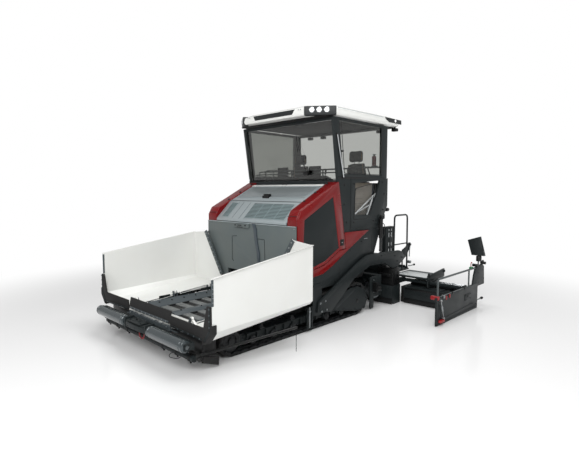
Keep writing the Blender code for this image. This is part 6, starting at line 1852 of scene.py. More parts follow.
@dataclass
class Roof:
    """The roof's shell, dark corner inserts with lamps, fascia panel and lining."""

    lamps: Sequence[Point] = ((0.951, -0.292), (1.055, -0.214), (1.165, -0.131))

    def build_shell(self) -> None:
        """Round the shell and its lining and rib the top."""
        soften("roof", WHITE, "chassis", 0.014, 4)
        soften("roof_lining", LINING, "chassis", 0.006, 2)
        ribs = [block("rib", (x - 0.03, 0.05, 3.984), (x + 0.03, 2.05, 3.9898), 0.0025)
                for x in (-0.8, -0.4, 0.0, 0.4, 0.8)]
        dress(merged("roof_ribs", *ribs), WHITE)
        spots = [(x, -0.366, 3.905) for x in (0.69, 0.745, -0.657, -0.71)]
        dress(bolts("fascia_bolts", spots, (0, -1, 0.25), 0.007), ZINC)

    def build_fascia(self) -> None:
        """Set the dark blank panel in the front fascia."""
        panel = plate("panel", Plane.Y, [(-0.49, 3.835), (0.535, 3.835), (0.58, 3.93), (-0.566, 3.93)],
                      -0.0025, 0.0025, 0.001)
        lean = Matrix.Rotation(math.radians(-14.7), 4, "X")
        place, back = Matrix.Translation((0.0, -0.3725, 3.83)), Matrix.Translation((0.0, 0.0, -3.83))
        panel.data.transform(place @ lean @ back)
        dress(settle(panel, "roof_fascia_panel"), INSERT)

    def build_corners(self) -> None:
        """Fill the chamfered corners with dark inserts that hold three lamps each."""
        start, end = Vector((0.86, -0.372)), Vector((1.303, -0.03))
        run = (end - start).normalized()
        out = Vector((run.y, -run.x))
        low = [start - run * 0.02, end]
        insert = plate("insert", Plane.Z,
                       [tuple(low[0]), tuple(low[0] + out * 0.006 + run * 0.03),
                        tuple(low[1] + out * 0.004 - run * 0.012), tuple(low[1]), tuple(low[1] - out * 0.12),
                        tuple(low[0] - out * 0.12)], 3.788, 3.950, 0.020)
        dress_pair(settle(insert, "roof_corner_insert"), INSERT)
        wells, rings, lenses = [], [], []
        for x, y in self.lamps:
            spot = Vector((x, y)) + out * -0.004
            face = (spot.x, spot.y, 3.882)
            facing = (out.x, out.y, -0.05)
            wells.append(turned("well", [(0, 0), (0, 0.056), (0.008, 0.058), (0.014, 0.052), (0.014, 0)],
                                face, facing, 28))
            rings.append(turned("ring",
                                [(0.012, 0.036), (0.020, 0.038), (0.026, 0.044), (0.020, 0.050),
                                 (0.012, 0.050), (0.012, 0.036)], face, facing, 28))
            lenses.append(turned("lens",
                                 [(0.013, 0), (0.013, 0.038), (0.020, 0.034), (0.024, 0.02), (0.025, 0)],
                                 face, facing, 28))
        dress_pair(merged("roof_lamp_wells", *wells), BLACK)
        dress_pair(merged("roof_lamp_rings", *rings), CHROME)
        dress_pair(merged("roof_lamp_lenses", *lenses), LAMP)

    def build_rear(self) -> None:
        """Set the dark rear side inserts, their lamps and the lamps under the eaves."""
        insert = plate("insert", Plane.X, [(1.56, 3.935), (1.715, 3.842), (2.20, 3.842), (2.19, 3.93)], 1.285,
                       1.3025, 0.006)
        dress_pair(settle(insert, "roof_rear_insert"), INSERT)
        dress_pair(bar("rear_insert_lens", (1.301, 1.953, 3.893), (1.306, 1.953, 3.893), 0.026, 24, 0.002),
                   LAMP)
        pieces, lenses = [], []
        for x, y in ((1.20, 2.10), (0.80, 2.12)):
            pieces.append(block("lamp", (x - 0.06, y - 0.04, 3.70), (x + 0.06, y + 0.05, 3.765), 0.012))
            pieces.append(block("stem", (x - 0.015, y - 0.015, 3.755), (x + 0.015, y + 0.015, 3.80), 0.004))
            lenses.append(block("glass", (x - 0.05, y + 0.047, 3.708), (x + 0.05, y + 0.053, 3.757), 0.002))
        dress_pair(merged("rear_work_lamps", *pieces), BLACK)
        dress_pair(merged("rear_work_lenses", *lenses), LAMP)
        dress_pair(bar("eaves_lens", (1.166, 1.03, 3.752), (1.166, 1.03, 3.764), 0.022, 20, 0.003), LAMP)

    def build_gutter(self) -> None:
        """Lay the pale gutter strip along each side's top."""
        strip = tube("strip", [(1.296, 0.02, 3.925), (1.296, 1.50, 3.925)], 0.005, 0.0)
        dress_pair(settle(strip, "roof_gutter"), SILVER)

    def build(self) -> None:
        """Build the whole roof."""
        self.build_shell()
        self.build_fascia()
        self.build_corners()
        self.build_rear()
        self.build_gutter()


@dataclass
class Seats:
    """Two operator's seats: cloth cushions inflated by simulation, with tan edging, shells and bellows."""

    middle: float = 0.78
    front: float = 0.88
    rear: float = 1.36
    cushion_top: float = 2.52
    voxel: float = 6 * MM
    frames: int = 20
    swell: float = 22 * MM
    pressure: float = 4.0
    smoothing: int = 4
    folds: int = 15

    def cushion(self, name: str, low: Point, high: Point, round_edge: float) -> bpy.types.Object:
        """Inflate a padded cushion from a rounded block.

        Args:
            name: The piece's name.
            low: Lowest corner of the foam.
            high: Highest corner of the foam.
            round_edge: Width of its rounded edges.

        Returns:
            The new object.
        """
        piece = block(name, low, high, round_edge)
        focus(piece)
        mesh = piece.modifiers.new("skin", "REMESH")
        mesh.mode = "VOXEL"
        mesh.voxel_size = self.voxel
        bpy.ops.object.modifier_apply(modifier=mesh.name)
        rest = [vertex.co.copy() for vertex in piece.data.vertices]
        cloth = piece.modifiers.new("foam", "CLOTH")
        cloth.settings.use_pressure = True
        cloth.settings.uniform_pressure_force = self.pressure
        cloth.settings.effector_weights.gravity = 0.0
        bpy.context.scene.frame_set(1)
        for step in range(2, self.frames + 1):
            bpy.context.scene.frame_set(step)
        bpy.ops.object.modifier_apply(modifier=cloth.name)
        bpy.context.scene.frame_set(1)
        for vertex, start in zip(piece.data.vertices, rest):
            move = vertex.co - start
            if move.length > self.swell:
                vertex.co = start + move.normalized() * self.swell
        smooth = piece.modifiers.new("smooth", "CORRECTIVE_SMOOTH")
        smooth.iterations = self.smoothing
        smooth.use_only_smooth = True
        bpy.ops.object.modifier_apply(modifier=smooth.name)
        fine = piece.modifiers.new("fine", "SUBSURF")
        fine.levels = 1
        bpy.ops.object.modifier_apply(modifier=fine.name)
        return settle(piece, name)

    def build(self) -> None:
        """Build the left seat and its twin."""
        x, front, rear, top = self.middle, self.front, self.rear, self.cushion_top
        pads = [self.cushion("seat_cushion", (x - 0.215, front + 0.02, top - 0.10),
                             (x + 0.215, rear - 0.02, top - 0.012), 0.035),
                self.cushion("seat_back", (x - 0.20, rear - 0.105, top + 0.03), (x + 0.20, rear, 3.00),
                             0.045),
                self.cushion("seat_headrest", (x - 0.16, rear - 0.11, 3.03), (x + 0.16, rear - 0.01, 3.265),
                             0.045)]
        for pad in pads:
            twin = flipped(pad, pad.name + "_right")
            pad.name += "_left"
            dress(twin, SEAT)
            dress(pad, SEAT)
        edges = [tube("edge", rounded([(x + side * 0.205, front + 0.05, top - 0.03),
                                       (x + side * 0.21, rear - 0.06, top - 0.03)], 0.02), 0.008, 0.0)
                 for side in (-1, 1)]
        edges += [tube("edge",
                       [(x + side * 0.19, rear - 0.085, top + 0.06), (x + side * 0.198, rear - 0.085, 2.75),
                        (x + side * 0.175, rear - 0.085, 2.98)], 0.009, 0.06) for side in (-1, 1)]
        edges += [tube("edge",
                       [(x + side * 0.151, rear - 0.085, 3.07), (x + side * 0.148, rear - 0.085, 3.23)],
                       0.008, 0.0) for side in (-1, 1)]
        dress_pair(merged("seat_edging", *edges), PIPING)
        shell = [block("pan", (x - 0.225, front, top - 0.135), (x + 0.225, rear, top - 0.095), 0.014),
                 plate("shell", Plane.Y,
                       [(x - 0.20, top - 0.02), (x + 0.20, top - 0.02), (x + 0.205, 2.80), (x + 0.16, 3.005),
                        (x - 0.16, 3.005), (x - 0.205, 2.80)], rear - 0.012, rear + 0.018, 0.008),
                 tube("post", [(x - 0.06, rear - 0.04, 2.98), (x - 0.06, rear - 0.045, 3.10)], 0.007, 0.0),
                 tube("post", [(x + 0.06, rear - 0.04, 2.98), (x + 0.06, rear - 0.045, 3.10)], 0.007, 0.0),
                 block("rail", (x - 0.19, front + 0.03, top - 0.165), (x - 0.14, rear - 0.03, top - 0.13),
                       0.006),
                 block("rail", (x + 0.14, front + 0.03, top - 0.165), (x + 0.19, rear - 0.03, top - 0.13),
                       0.006)]
        bellows = [block("fold",
                         (x - 0.165 + 0.012 * (row % 2), 0.955 + 0.012 * (row % 2), 1.97 + 0.0255 * row),
                         (x + 0.165 - 0.012 * (row % 2), 1.285 - 0.012 * (row % 2), 1.997 + 0.0255 * row),
                         0.006) for row in range(self.folds)]
        whole = merged("seat_shell", *shell, *bellows)
        dress_pair(whole, PLASTIC, "chassis", "seat")


@dataclass
class Augers:
    """The two augers with thin flights, their worn edges, and the frame that carries them."""

    axis_y: float = 1.56
    axis_z: float = 0.33
    radius: float = 0.17
    inner: float = 0.14
    outer: float = 1.20
    turns: int = 3
    turn_steps: int = 28

    def flight(self) -> bpy.types.Object:
        """Sweep the left auger's screw blade round its shaft."""
        begin()
        bpy.ops.mesh.primitive_plane_add(size=1.0)
        piece = bpy.context.object
        edge = self.radius - 0.002
        section = ((-0.006, 0.036), (-0.004, edge), (0.006, 0.036), (0.004, edge))
        for vertex, (along, radius) in zip(piece.data.vertices, section):
            vertex.co = (along, radius, 0.0)
        bpy.ops.object.mode_set(mode="EDIT")
        bpy.ops.mesh.select_all(action="SELECT")
        bpy.ops.mesh.delete(type="EDGE_FACE")
        bpy.ops.object.mode_set(mode="OBJECT")
        focus(piece)
        bpy.ops.object.mode_set(mode="EDIT")
        bpy.ops.mesh.select_all(action="SELECT")
        bpy.ops.mesh.edge_face_add()
        begin()
        screw = piece.modifiers.new("screw", "SCREW")
        screw.axis = "X"
        screw.angle = 2 * math.pi * self.turns
        screw.screw_offset = self.outer - self.inner - 0.03
        screw.steps = screw.render_steps = self.turn_steps * self.turns
        focus(piece)
        bpy.ops.object.modifier_apply(modifier=screw.name)
        piece.data.transform(Matrix.Translation((self.inner + 0.012, self.axis_y, self.axis_z)))
        return settle(piece, "flight")

    def build(self) -> None:
        """Build the augers and their frame."""
        shaft = bar("shaft", (self.inner, self.axis_y, self.axis_z), (self.outer, self.axis_y, self.axis_z),
                    0.038, 28, 0.003)
        clamps = [bar("clamp", (x - 0.02, self.axis_y, self.axis_z), (x + 0.02, self.axis_y, self.axis_z),
                      0.050, 20, 0.004) for x in (0.32, 0.67, 1.02)]
        dress_pair(merged("auger_screw", self.flight(), shaft, *clamps), FLIGHT, "auger", "auger")
        soften("auger_frame", DARK, "chassis", 0.006, 2)
        plates = [block("spreader", (0.20 + 0.36 * step, 1.40, 0.50), (0.23 + 0.36 * step, 1.49, 0.57),
                        0.004) for step in range(3)]
        dress_pair(merged("auger_brackets", *plates), DARK)
        motor = [bar("motor", (1.30, 1.345, 0.42), (1.30, 1.48, 0.42), 0.045, 22, 0.006),
                 block("flange", (1.235, 1.30, 0.36), (1.345, 1.345, 0.56), 0.006),
                 bar("port", (1.30, 1.42, 0.46), (1.30, 1.42, 0.52), 0.014, 14, 0.003)]
        dress_pair(merged("height_motor", *motor), BLACK)
        dress_pair(bolts("retainer_bolts", [(1.2285, 1.35, z) for z in (0.10, 0.35, 0.60)], (1, 0, 0), 0.010),
                   ZINC)


@dataclass
class ScreedBase:
    """The tow arms, lift cylinders, base screed with its walkway, slotted boxes and handrails."""

    rail_x: float = 1.05
    arm_face: float = 1.315
    lift_x: float = 1.295
    lift_y: float = 1.48
    bays: int = 4
    bay: float = 0.48
    vent_rows: int = 6

    def without_hoops(self, body: bpy.types.Object) -> None:
        """Take the CAD's plain handrail hoops out of the copy, where bent tubes stand for them.

        Args:
            body: The screed base's softened copy.
        """
        focus(body)
        bpy.ops.object.mode_set(mode="EDIT")
        bpy.ops.mesh.select_all(action="DESELECT")
        bpy.ops.object.mode_set(mode="OBJECT")
        for vertex in body.data.vertices:
            spot = vertex.co
            vertex.select = abs(abs(spot.x) - self.rail_x) < 0.03 and spot.z > 0.64 and 2.36 < spot.y < 3.04
        bpy.ops.object.mode_set(mode="EDIT")
        bpy.ops.mesh.delete(type="VERT")
        bpy.ops.object.mode_set(mode="OBJECT")

    def build_arms(self) -> None:
        """Round the arms with their screed and bolt their feet and hangers."""
        body = softened("screed_base", "screed_base_skin", 0.006, 2)
        self.without_hoops(body)
        dress(body, DARK, "screed")
        hoop = tube("handrail_tube",
                    [(self.rail_x, 2.40, 0.60), (self.rail_x, 2.42, 1.885), (self.rail_x, 2.98, 1.885),
                     (self.rail_x, 3.00, 0.60)], 0.019, 0.09)
        dress_pair(hoop, DARK, "screed")
        knee = tube("handrail_knee", [(self.rail_x, 2.41, 1.22), (self.rail_x, 2.99, 1.22)], 0.014, 0.0)
        dress_pair(knee, DARK, "screed")
        spots = [(self.arm_face, y, z) for y,
                 z in ((-0.45, 0.455), (-0.31, 0.475), (-0.41, 0.30), (-0.27, 0.31))]
        dress_pair(bolts("arm_foot_bolts", spots, (1, 0, 0), 0.013), ZINC, "screed")
        spots = [(self.arm_face, y, z) for y, z in ((2.02, 1.05), (2.32, 0.98), (2.12, 0.92), (1.50, 1.10))]
        dress_pair(bolts("arm_head_bolts", spots, (1, 0, 0), 0.011), DARK, "screed")
        seam = tube("weld", [(1.3155, 1.30, 1.03), (1.3155, 1.42, 1.095), (1.3155, 2.05, 1.13)], 0.003, 0.05)
        dress_pair(settle(seam, "arm_weld"), BLACK, "screed")

    def build_lift(self) -> None:
        """Turn the cylinders' barrels, glands and hoses and polish the rods."""
        barrel = turned("barrel_skin",
                        [(0.0, 0.0418), (0.0, 0.0424), (0.012, 0.0430), (0.035, 0.0430), (0.045, 0.0424),
                         (0.045, 0.0418), (0.0, 0.0418)], (self.lift_x, self.lift_y, 1.475), (0, 0, 1), 36)
        band = turned("band", [(0.0, 0.0418), (0.0, 0.0428), (0.02, 0.0428), (0.02, 0.0418), (0.0, 0.0418)],
                      (self.lift_x, self.lift_y, 1.765), (0, 0, 1), 36)
        pipe = tube("pipe", [(1.325, 1.51, 1.775), (1.345, 1.535, 1.745), (1.345, 1.535, 1.53),
                             (1.32, 1.51, 1.50)], 0.007, 0.02)
        dress_pair(merged("lift_bands", barrel, band, pipe), BLACK, "lift_barrel")
        for side in Side:
            for node, finish in ((f"lift_barrel_{side.tag}", BLACK), (f"lift_rod_{side.tag}", ROD)):
                frame["nodes"][node].data.materials[0] = finish.material()
        pipe = tube("lift_pipe",
                    [(1.26, 1.62, 1.86), (1.275, 1.60, 1.93), (1.30, 1.545, 1.93), (1.325, 1.515, 1.86)],
                    0.010, 0.04)
        dress_pair(pipe, BLACK)

    def build_walkway(self) -> None:
        """Lay tread plate on the deck, box its edge and run bright rods along it."""
        deck = block("tread", (-1.02, 2.34, 0.6198), (1.02, 3.03, 0.6245), 0.001)
        dress(settle(deck, "deck_tread"), TREAD, "screed")
        edges = [block("edge", (-1.03, 3.028, 0.595), (1.03, 3.052, 0.66), 0.004)]
        edges += [block("joint", (x - 0.003, 2.34, 0.6235), (x + 0.003, 3.03, 0.626), 0.0005)
                  for x in (-0.52, 0.0, 0.52)]
        dress(merged("deck_edges", *edges), DARK, "screed")
        frame_bars = [tube("bar", [(-1.0, 2.30, 0.64), (1.0, 2.30, 0.64)], 0.014, 0.0),
                      tube("bar", [(-1.0, 3.02, 0.675), (1.0, 3.02, 0.675)], 0.012, 0.0)]
        dress(merged("deck_rods", *frame_bars), CHROME, "screed")

    def build_head(self) -> None:
        """Equip the screed's head with covers, hydraulic blocks, vents, end cases, bolts and a strike plate.
        """
        pieces = [block("cover", (-0.96 + self.bay * step, 1.995, 0.66),
                        (-0.52 + self.bay * step, 2.02, 0.98), 0.008) for step in range(self.bays)]
        pieces += [block("lid", (-0.98 + 0.495 * step, 2.03, 1.018), (-0.515 + 0.495 * step, 2.19, 1.034),
                         0.006) for step in range(self.bays)]
        dress(merged("head_covers", *pieces), DARK, "screed")
        vents = [block("vent", (-0.90 + self.bay * step, 2.1985, 0.72 + 0.03 * row),
                       (-0.60 + self.bay * step, 2.204, 0.735 + 0.03 * row), 0.002)
                 for step in range(self.bays) for row in range(self.vent_rows)]
        dress(merged("head_vents", *vents), BLACK, "screed")
        blocks = [block("valve", (x - 0.07, 2.20, 0.86), (x + 0.07, 2.27, 0.96), 0.008)
                  for x in (-0.45, 0.45)]
        blocks += [bar("coil", (x + offset, 2.235, 0.955), (x + offset, 2.235, 1.02), 0.018, 16, 0.004)
                   for x in (-0.45, 0.45) for offset in (-0.04, 0.04)]
        dress(merged("valve_blocks", *blocks), BLACK, "screed")
        heater = [block("case", (0.95, 1.93, 0.39), (1.333, 2.205, 0.775), 0.008),
                  block("hinge", (1.325, 1.99, 0.46), (1.339, 2.02, 0.70), 0.003),
                  block("hinge", (1.325, 2.12, 0.46), (1.339, 2.15, 0.70), 0.003),
                  block("shelf", (1.0, 1.86, 0.60), (1.30, 1.94, 0.66), 0.006)]
        dress_pair(merged("screed_end_case", *heater), BLACK, "screed")
        screws = bolts("base_bolts",
                       [(x, 1.8975, 0.33) for x in (-1.2, -0.9, -0.6, -0.3, 0.3, 0.6, 0.9, 1.2)], (0, -1, 0),
                       0.012)
        dress(screws, DARK, "screed")
        dress(settle(block("strike", (-1.335, 1.884, 0.004), (1.335, 1.9, 0.12), 0.004), "base_strike_plate"),
              BLACK, "screed")

    def build_boxes(self) -> None:
        """Lay the pale slots on the tall boxes and cap them with a plate and a rib."""
        slots = []
        for y in (2.295, 2.40):
            for low, high in ((1.06, 1.14), (1.20, 1.28), (1.40, 1.50), (1.54, 1.585)):
                slots.append(block("slot", (0.9795, y, low), (0.9825, y + 0.022, high), 0.001))
        dress_pair(merged("box_slots", *slots), PALE_SLOT, "screed")
        plates = [block("cap", (0.855, 2.215, 1.615), (0.985, 2.555, 1.635), 0.006),
                  block("rib", (0.975, 2.345, 1.02), (0.984, 2.365, 1.615), 0.002)]
        dress_pair(merged("box_caps", *plates), DARK, "screed")

    def build_rails(self) -> None:
        """Add the handrail's feet, the lever bracket with its crank and the folded step."""
        feet = [block("foot", (1.025, y - 0.03, 0.62), (1.075, y + 0.03, 0.66), 0.006) for y in (2.41, 2.99)]
        dress_pair(merged("handrail_feet", *feet), DARK, "screed")
        bracket = plate("bracket", Plane.X,
                        [(2.66, 0.90), (2.72, 0.84), (2.86, 0.92), (3.03, 1.10), (3.07, 1.17), (3.05, 1.23),
                         (2.98, 1.235), (2.83, 1.14), (2.68, 1.09)], 1.092, 1.108, 0.005)
        pivot = bar("pivot", (1.075, 3.02, 1.185), (1.135, 3.02, 1.185), 0.028, 20, 0.004)
        dress_pair(merged("crank_bracket", bracket, pivot), DARK, "screed")
        lever = tube("crank_lever", [(1.12, 2.985, 0.905), (1.12, 2.99, 1.05), (1.12, 3.02, 1.185)], 0.012,
                     0.03)
        foot = tube("foot", [(1.12, 2.96, 0.69), (1.12, 3.05, 0.68), (1.12, 3.20, 0.685)], 0.012, 0.02)
        crank = bar("crank", (1.08, 2.99, 0.78), (1.16, 2.99, 0.78), 0.034, 20, 0.006)
        dress_pair(merged("crank", lever, foot, crank), ZINC, "screed")
        knob = turned("crank_knob",
                      [(0, 0), (0, 0.016), (0.012, 0.024), (0.04, 0.024), (0.05, 0.014), (0.05, 0)],
                      (1.12, 3.195, 0.685), (0, 1, 0), 20)
        strut = tube("strut", [(1.10, 2.70, 0.62), (1.10, 2.70, 0.88)], 0.016, 0.0)
        dress_pair(merged("crank_knobs", knob, strut), BLACK, "screed")

    def build(self) -> None:
        """Build the whole base."""
        self.build_arms()
        self.build_lift()
        self.build_walkway()
        self.build_head()
        self.build_boxes()
        self.build_rails()


@dataclass
class Extensions:
    """The sliding screeds, their stages with tubes and tread, and the end gates."""

    gate_face: float = 2.7352
    rail_x: float = 2.7175
    tower_face: float = 2.7755
    covers: int = 3
    cover_pitch: float = 0.41
    front_bolts: int = 9

    def build_bodies(self) -> None:
        """Round the extension boxes and line them with strike plates, covers and bolts."""
        soften_pair("screed_extension", DARK, "extension", 0.006, 2)
        strike = [block("strike", (1.425, 2.229, 0.004), (2.69, 2.24, 0.11), 0.004),
                  block("ledge", (1.45, 2.232, 0.30), (2.68, 2.241, 0.34), 0.003)]
        dress_pair(merged("extension_strike", *strike), BLACK, "extension")
        casing = [block("shoe", (1.347, 2.245, 0.01), (1.430, 2.915, 0.355), 0.006),
                  block("casing", (1.44, 2.50, 0.355), (2.66, 2.90, 0.438), 0.010)]
        dress_pair(merged("extension_casing", *casing), BLACK, "extension")
        covers = [block("cover", (1.46 + self.cover_pitch * step, 2.30, 0.358),
                        (1.84 + self.cover_pitch * step, 2.86, 0.372), 0.005) for step in range(self.covers)]
        covers += [block("rear", (1.46 + self.cover_pitch * step, 2.918, 0.06),
                         (1.84 + self.cover_pitch * step, 2.928, 0.32), 0.004) for step in range(self.covers)]
        dress_pair(merged("extension_covers", *covers), DARK, "extension")
        spots = [(1.50 + 0.15 * step, 2.2325, 0.22) for step in range(self.front_bolts)]
        dress_pair(bolts("extension_bolts", spots, (0, -1, 0), 0.010), DARK, "extension")

    def build_tubes(self) -> None:
        """Polish the guide tubes and add their stands and the pale lug on the extension."""
        tubes = [bar("rod", (1.46, y, 0.455), (2.66, y, 0.455), 0.014, 18, 0.002) for y in (2.56, 2.66, 2.76)]
        dress_pair(merged("extension_rods", *tubes), CHROME, "extension")
        stands = [block("stand", (x - 0.02, 2.53, 0.368), (x + 0.02, 2.79, 0.462), 0.005)
                  for x in (1.47, 2.06, 2.65)]
        dress_pair(merged("extension_stands", *stands), DARK, "extension")
        lug = plate("lug", Plane.Y, [(2.36, 0.365), (2.44, 0.365), (2.42, 0.535), (2.38, 0.535)], 2.50, 2.52,
                    0.004)
        dress_pair(settle(lug, "extension_lug"), PALE_SLOT, "extension")

    def build_stages(self) -> None:
        """Lay tread plate in the trays and round their plates."""
        soften_pair("screed_stage", DARK, "stage", 0.005, 2)
        tread = block("tread", (1.13, 2.35, 0.5795), (1.92, 3.02, 0.5835), 0.001)
        dress_pair(settle(tread, "stage_tread"), TREAD, "stage")
        shelf = block("pale", (1.16, 2.385, 0.580), (1.86, 2.86, 0.5855), 0.001)
        dress_pair(settle(shelf, "stage_plate"), PALE_SLOT, "stage")
        ends = [bar("boss", (1.93, y, 0.665), (1.975, y, 0.665), 0.03, 20, 0.004) for y in (2.34, 3.03)]
        dress_pair(merged("stage_bosses", *ends), DARK, "stage")

    @staticmethod
    def lean(side: Side) -> Matrix:
        """How a gate's display leans inwards on its post.

        Args:
            side: The machine's side.

        Returns:
            The matrix that leans it.
        """
        foot = Vector((side.value * 2.715, 2.97, 1.22))
        turn = Matrix.Rotation(math.radians(-19.0 * side.value), 4, "Y")
        return Matrix.Translation(foot + Vector((0.0, 0.0, -0.055))) @ turn @ Matrix.Translation(-foot)

    def build_gates(self) -> None:
        """Round the gates and add their skid, ribs, cover plate and bolts."""
        for side in Side:
            gate = softened(f"end_gate_{side.tag}", f"end_gate_skin_{side.tag}", 0.005, 2)
            for vertex in gate.data.vertices:
                if vertex.co.z > 1.21:
                    vertex.co = self.lean(side) @ vertex.co
            dress(gate, DARK, side_body("extension", side))
        face = self.gate_face
        skid = [block("skid", (2.694, 1.11, 0.004), (2.742, 2.94, 0.045), 0.005),
                plate("edge", Plane.X,
                      [(1.16, 0.075), (2.60, 0.075), (2.72, 0.115), (2.72, 0.135), (1.16, 0.098)],
                      face - 0.001, face + 0.005, 0.002),
                block("rib", (face - 0.001, 1.155, 0.05), (face + 0.006, 1.172, 0.40), 0.002),
                block("cover", (face - 0.001, 2.30, 0.25), (face + 0.004, 2.60, 0.38), 0.003)]
        dress_pair(merged("gate_ribs", *skid), DARK, "extension")
        spots = [(face + 0.004, y, z) for y,
                 z in ((2.33, 0.27), (2.57, 0.27), (2.33, 0.36), (2.57, 0.36), (1.30, 0.28), (2.85, 0.10))]
        dress_pair(bolts("gate_bolts", spots, (1, 0, 0), 0.008), DARK, "extension")
        hinge = block("handle", (face - 0.002, 2.43, 0.315), (face + 0.012, 2.52, 0.345), 0.004)
        dress_pair(settle(hinge, "gate_catch"), BLACK, "extension")

    def build_gate_gear(self) -> None:
        """Add the red blocks, the turnbuckle, the bright rail on the beam, the hand rail and its clamps."""
        red = [block("grip", (2.60, 1.105, 0.475), (2.755, 1.17, 0.545), 0.012),
               block("grip", (2.70, 1.165, 0.052), (2.79, 1.33, 0.10), 0.012),
               block("tab", (2.745, 1.42, 0.44), (2.762, 1.455, 0.51), 0.004),
               block("tab", (2.745, 1.56, 0.45), (2.762, 1.595, 0.52), 0.004)]
        dress_pair(merged("gate_red_grips", *red), RED_PLASTIC, "extension")
        start, end = Vector((2.765, 1.20, 0.46)), Vector((2.765, 1.315, 0.115))
        run = end - start
        bright = [bar("rod", start, end, 0.010, 18, 0.002),
                  bar("body", start + run * 0.3, start + run * 0.62, 0.019, 8, 0.003),
                  bar("eye", start - Vector((0.03, 0, 0)), start + Vector((0.02, 0, 0)), 0.020, 18, 0.003),
                  bar("eye", end - Vector((0.03, 0, 0)), end + Vector((0.02, 0, 0)), 0.020, 18, 0.003),
                  bar("rail", (2.72, 1.16, 0.505), (2.72, 2.56, 0.505), 0.017, 18, 0.003),
                  block("clasp", (2.70, 1.34, 0.475), (2.765, 1.37, 0.535), 0.005)]
        dress_pair(merged("gate_turnbuckle", *bright), ZINC, "extension")
        rail = [tube("rail", [(self.rail_x, 1.15, 0.47), (self.rail_x, 1.15, 0.85),
                              (self.rail_x, 2.80, 0.85)], 0.019, 0.05),
                tube("post", [(self.rail_x, 2.52, 0.47), (self.rail_x, 2.52, 0.85)], 0.016, 0.0)]
        dress_pair(merged("gate_hand_rail", *rail), SATIN, "extension")
        dark = [bar("clamp", (2.72, y - 0.03, 0.505), (2.72, y + 0.03, 0.505), 0.026, 18, 0.004)
                for y in (1.22, 1.75, 2.30)]
        dress_pair(merged("gate_rail_clamps", *dark), BLACK, "extension")

    def build_tower(self) -> None:
        """Add the tower's rollers, cheek bolts, knob, hook and rod end."""
        rollers = [bar("roller", (2.68, y, 0.915), (2.79, y, 0.915), 0.030, 22, 0.004) for y in (2.78, 3.20)]
        rollers.append(bar("grip", (2.70, 3.235, 0.93), (2.70, 3.285, 0.945), 0.024, 20, 0.006))
        dress_pair(merged("tower_rollers", *rollers), BLACK, "extension")
        dress_pair(block("tower_green_knob", (2.655, 2.66, 0.83), (2.72, 2.735, 0.885), 0.010), GREEN_PLASTIC,
                   "extension")
        hook = tube("tower_red_hook",
                    [(2.69, 2.68, 0.88), (2.69, 2.665, 0.95), (2.69, 2.70, 0.985), (2.69, 2.72, 0.96)], 0.008,
                    0.02)
        dress_pair(hook, RED_PLASTIC, "extension")
        rod = bar("rod", (2.715, 2.94, 0.148), (2.715, 3.22, 0.148), 0.011, 18, 0.002)
        dress_pair(settle(rod, "gate_rod"), ZINC, "extension")
        dress_pair(bar("gate_rod_end", (2.715, 3.20, 0.148), (2.715, 3.27, 0.148), 0.026, 20, 0.006), BLACK,
                   "extension")
        spots = [(self.tower_face, y, z) for y, z in ((2.85, 0.75), (3.10, 0.80), (3.15, 0.60), (2.90, 0.55))]
        dress_pair(bolts("tower_bolts", spots, (1, 0, 0), 0.009), DARK, "extension")

    def build_display(self) -> None:
        """Fit the console's bezel, screen and visor light and the grip on its post."""
        shell = block("display_bezel", (2.590, 2.962, 1.222), (2.842, 2.975, 1.516), 0.004)
        screen = block("display_screen", (2.605, 2.958, 1.24), (2.827, 2.964, 1.50), 0.002)
        light = block("display_light", (2.69, 2.975, 1.508), (2.735, 3.0, 1.519), 0.003)
        for piece, finish in ((shell, PLASTIC), (screen, SCREEN), (light, RED_PLASTIC)):
            piece.data.transform(self.lean(Side.LEFT))
            dress_pair(piece, finish, "extension")
        grip = turned("post_grip",
                      [(0, 0.044), (0, 0.050), (0.01, 0.054), (0.10, 0.054), (0.11, 0.050), (0.11, 0.044),
                       (0, 0.044)], (2.715, 3.01, 0.97), (0, 0, 1), 28)
        dress_pair(grip, PLASTIC, "extension")

    def build(self) -> None:
        """Build both extensions."""
        self.build_bodies()
        self.build_tubes()
        self.build_stages()
        self.build_gates()
        self.build_gate_gear()
        self.build_tower()
        self.build_display()


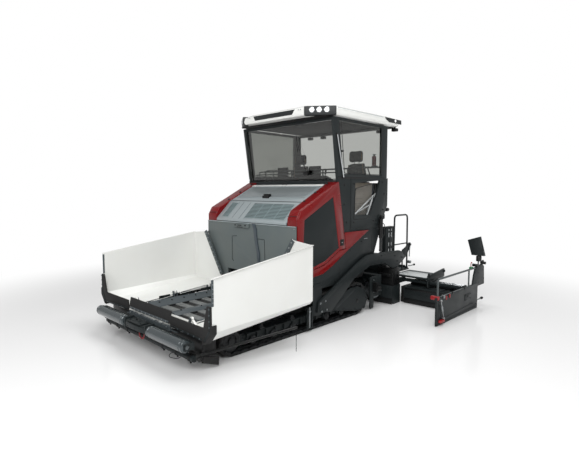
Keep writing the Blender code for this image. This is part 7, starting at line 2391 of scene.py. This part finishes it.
@dataclass
class Studio:
    """The pale floor, the soft light and the camera at the photograph's place."""

    eye: Point = (6.281, -6.334, 2.455)
    azimuth: float = 44.25
    pitch: float = 4.84
    backdrop: str = "#FFFFFF"
    fade: Point = (4.5, 9.0)
    sky: float = 0.46

    def camera(self) -> None:
        """Set the camera where the photograph was taken."""
        begin()
        bpy.ops.object.camera_add(location=self.eye)
        camera = bpy.context.object
        camera.name = "photo_camera"
        camera.rotation_euler = (math.radians(90 - self.pitch), 0.0, math.radians(self.azimuth))
        camera.data.sensor_width = 36.0
        camera.data.lens = PHOTO_FOCAL * camera.data.sensor_width / PHOTO_WIDTH
        bpy.context.scene.camera = camera

    def floor(self) -> None:
        """Lay a white glossy floor that keeps the machine's shadow and fades into the white backdrop."""
        begin()
        bpy.ops.mesh.primitive_plane_add(size=160.0, location=(0.0, 0.0, -2 * MM))
        floor = settle(bpy.context.object, "studio_floor")
        made = bpy.data.materials.new("studio_floor")
        made.use_nodes = True
        tree = made.node_tree
        shader = tree.nodes["Principled BSDF"]
        shader.inputs["Base Color"].default_value = linear("#F4F4F4")
        shader.inputs["Roughness"].default_value = 0.16
        place = add_node(tree, "ShaderNodeTexCoord").outputs["Object"]
        reach = add_node(tree, "ShaderNodeVectorMath", {"operation": "LENGTH"}, None, {0: place})
        share = add_node(tree, "ShaderNodeMapRange", {"interpolation_type": "SMOOTHSTEP"},
                         {1: self.fade[0], 2: self.fade[1], 3: 0.0, 4: 1.0}, {0: reach.outputs["Value"]})
        white = add_node(tree, "ShaderNodeEmission", None, {"Color": linear(self.backdrop), "Strength": 1.0})
        mix = add_node(tree, "ShaderNodeMixShader", None, None,
                       {0: share.outputs[0], 1: shader.outputs[0], 2: white.outputs[0]})
        tree.links.new(mix.outputs[0], tree.nodes["Material Output"].inputs["Surface"])
        floor.data.materials.append(made)

    def world(self) -> None:
        """Light the scene evenly, with white behind it for the camera, glass and gloss."""
        world = bpy.data.worlds.new("studio")
        bpy.context.scene.world = world
        world.use_nodes = True
        tree = world.node_tree
        back = tree.nodes["Background"]
        back.inputs[0].default_value = linear(self.backdrop)
        rays = add_node(tree, "ShaderNodeLightPath")
        seen = add_node(tree, "ShaderNodeMath", {"operation": "MAXIMUM"}, None,
                        {0: rays.outputs["Is Camera Ray"], 1: rays.outputs["Is Transmission Ray"]})
        level = add_node(tree, "ShaderNodeMapRange", None, {1: 0.0, 2: 1.0, 3: self.sky, 4: 1.0},
                         {0: seen.outputs[0]})
        tree.links.new(level.outputs[0], back.inputs[1])

    def lamps(self) -> None:
        """Hang the soft lamps: a key over the front left, a low fill into the hopper and a top light."""
        for name, place, aim, size, power in (
                ("key", (8.0, -8.5, 9.0), (0.0, -1.0, 1.2), 6.0, 880.0),
                ("fill", (3.0, -14.0, 5.0), (-0.5, -2.0, 0.8), 5.0, 330.0),
                ("top", (1.5, 3.0, 12.0), (0.0, 0.0, 1.0), 8.0, 780.0)):
            begin()
            bpy.ops.object.light_add(type="AREA", location=place)
            lamp = bpy.context.object
            lamp.name = name
            lamp.data.energy = power
            lamp.data.size = size
            lamp.rotation_euler = (Vector(aim) - Vector(place)).to_track_quat("-Z", "Y").to_euler()

    def build(self) -> None:
        """Build the whole studio."""
        self.camera()
        self.floor()
        self.world()
        self.lamps()
        bpy.context.scene.view_settings.view_transform = "Standard"


def main() -> None:
    """Build the studio and every sub-assembly, then dress the CAD nodes that stay."""
    logging.basicConfig(level=logging.INFO, format="%(message)s")
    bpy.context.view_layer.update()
    Studio().build()
    for item in frame["nodes"].values():
        was = item.data.materials[0].name if item.data.materials else ""
        finish = next((SLOT_FINISHES[key] for key in SLOT_FINISHES if was.startswith(key)), DARK)
        item.data.materials.clear()
        item.data.materials.append(finish.material())
    for assembly in (Seats(), Crawler(), PushFront(), Hopper(), HoodLid(), BodySides(), Cab(), Roof(),
                     Augers(), ScreedBase(), Extensions()):
        log.info("building %s", type(assembly).__name__)
        assembly.build()


if __name__ == "__main__":
    main()
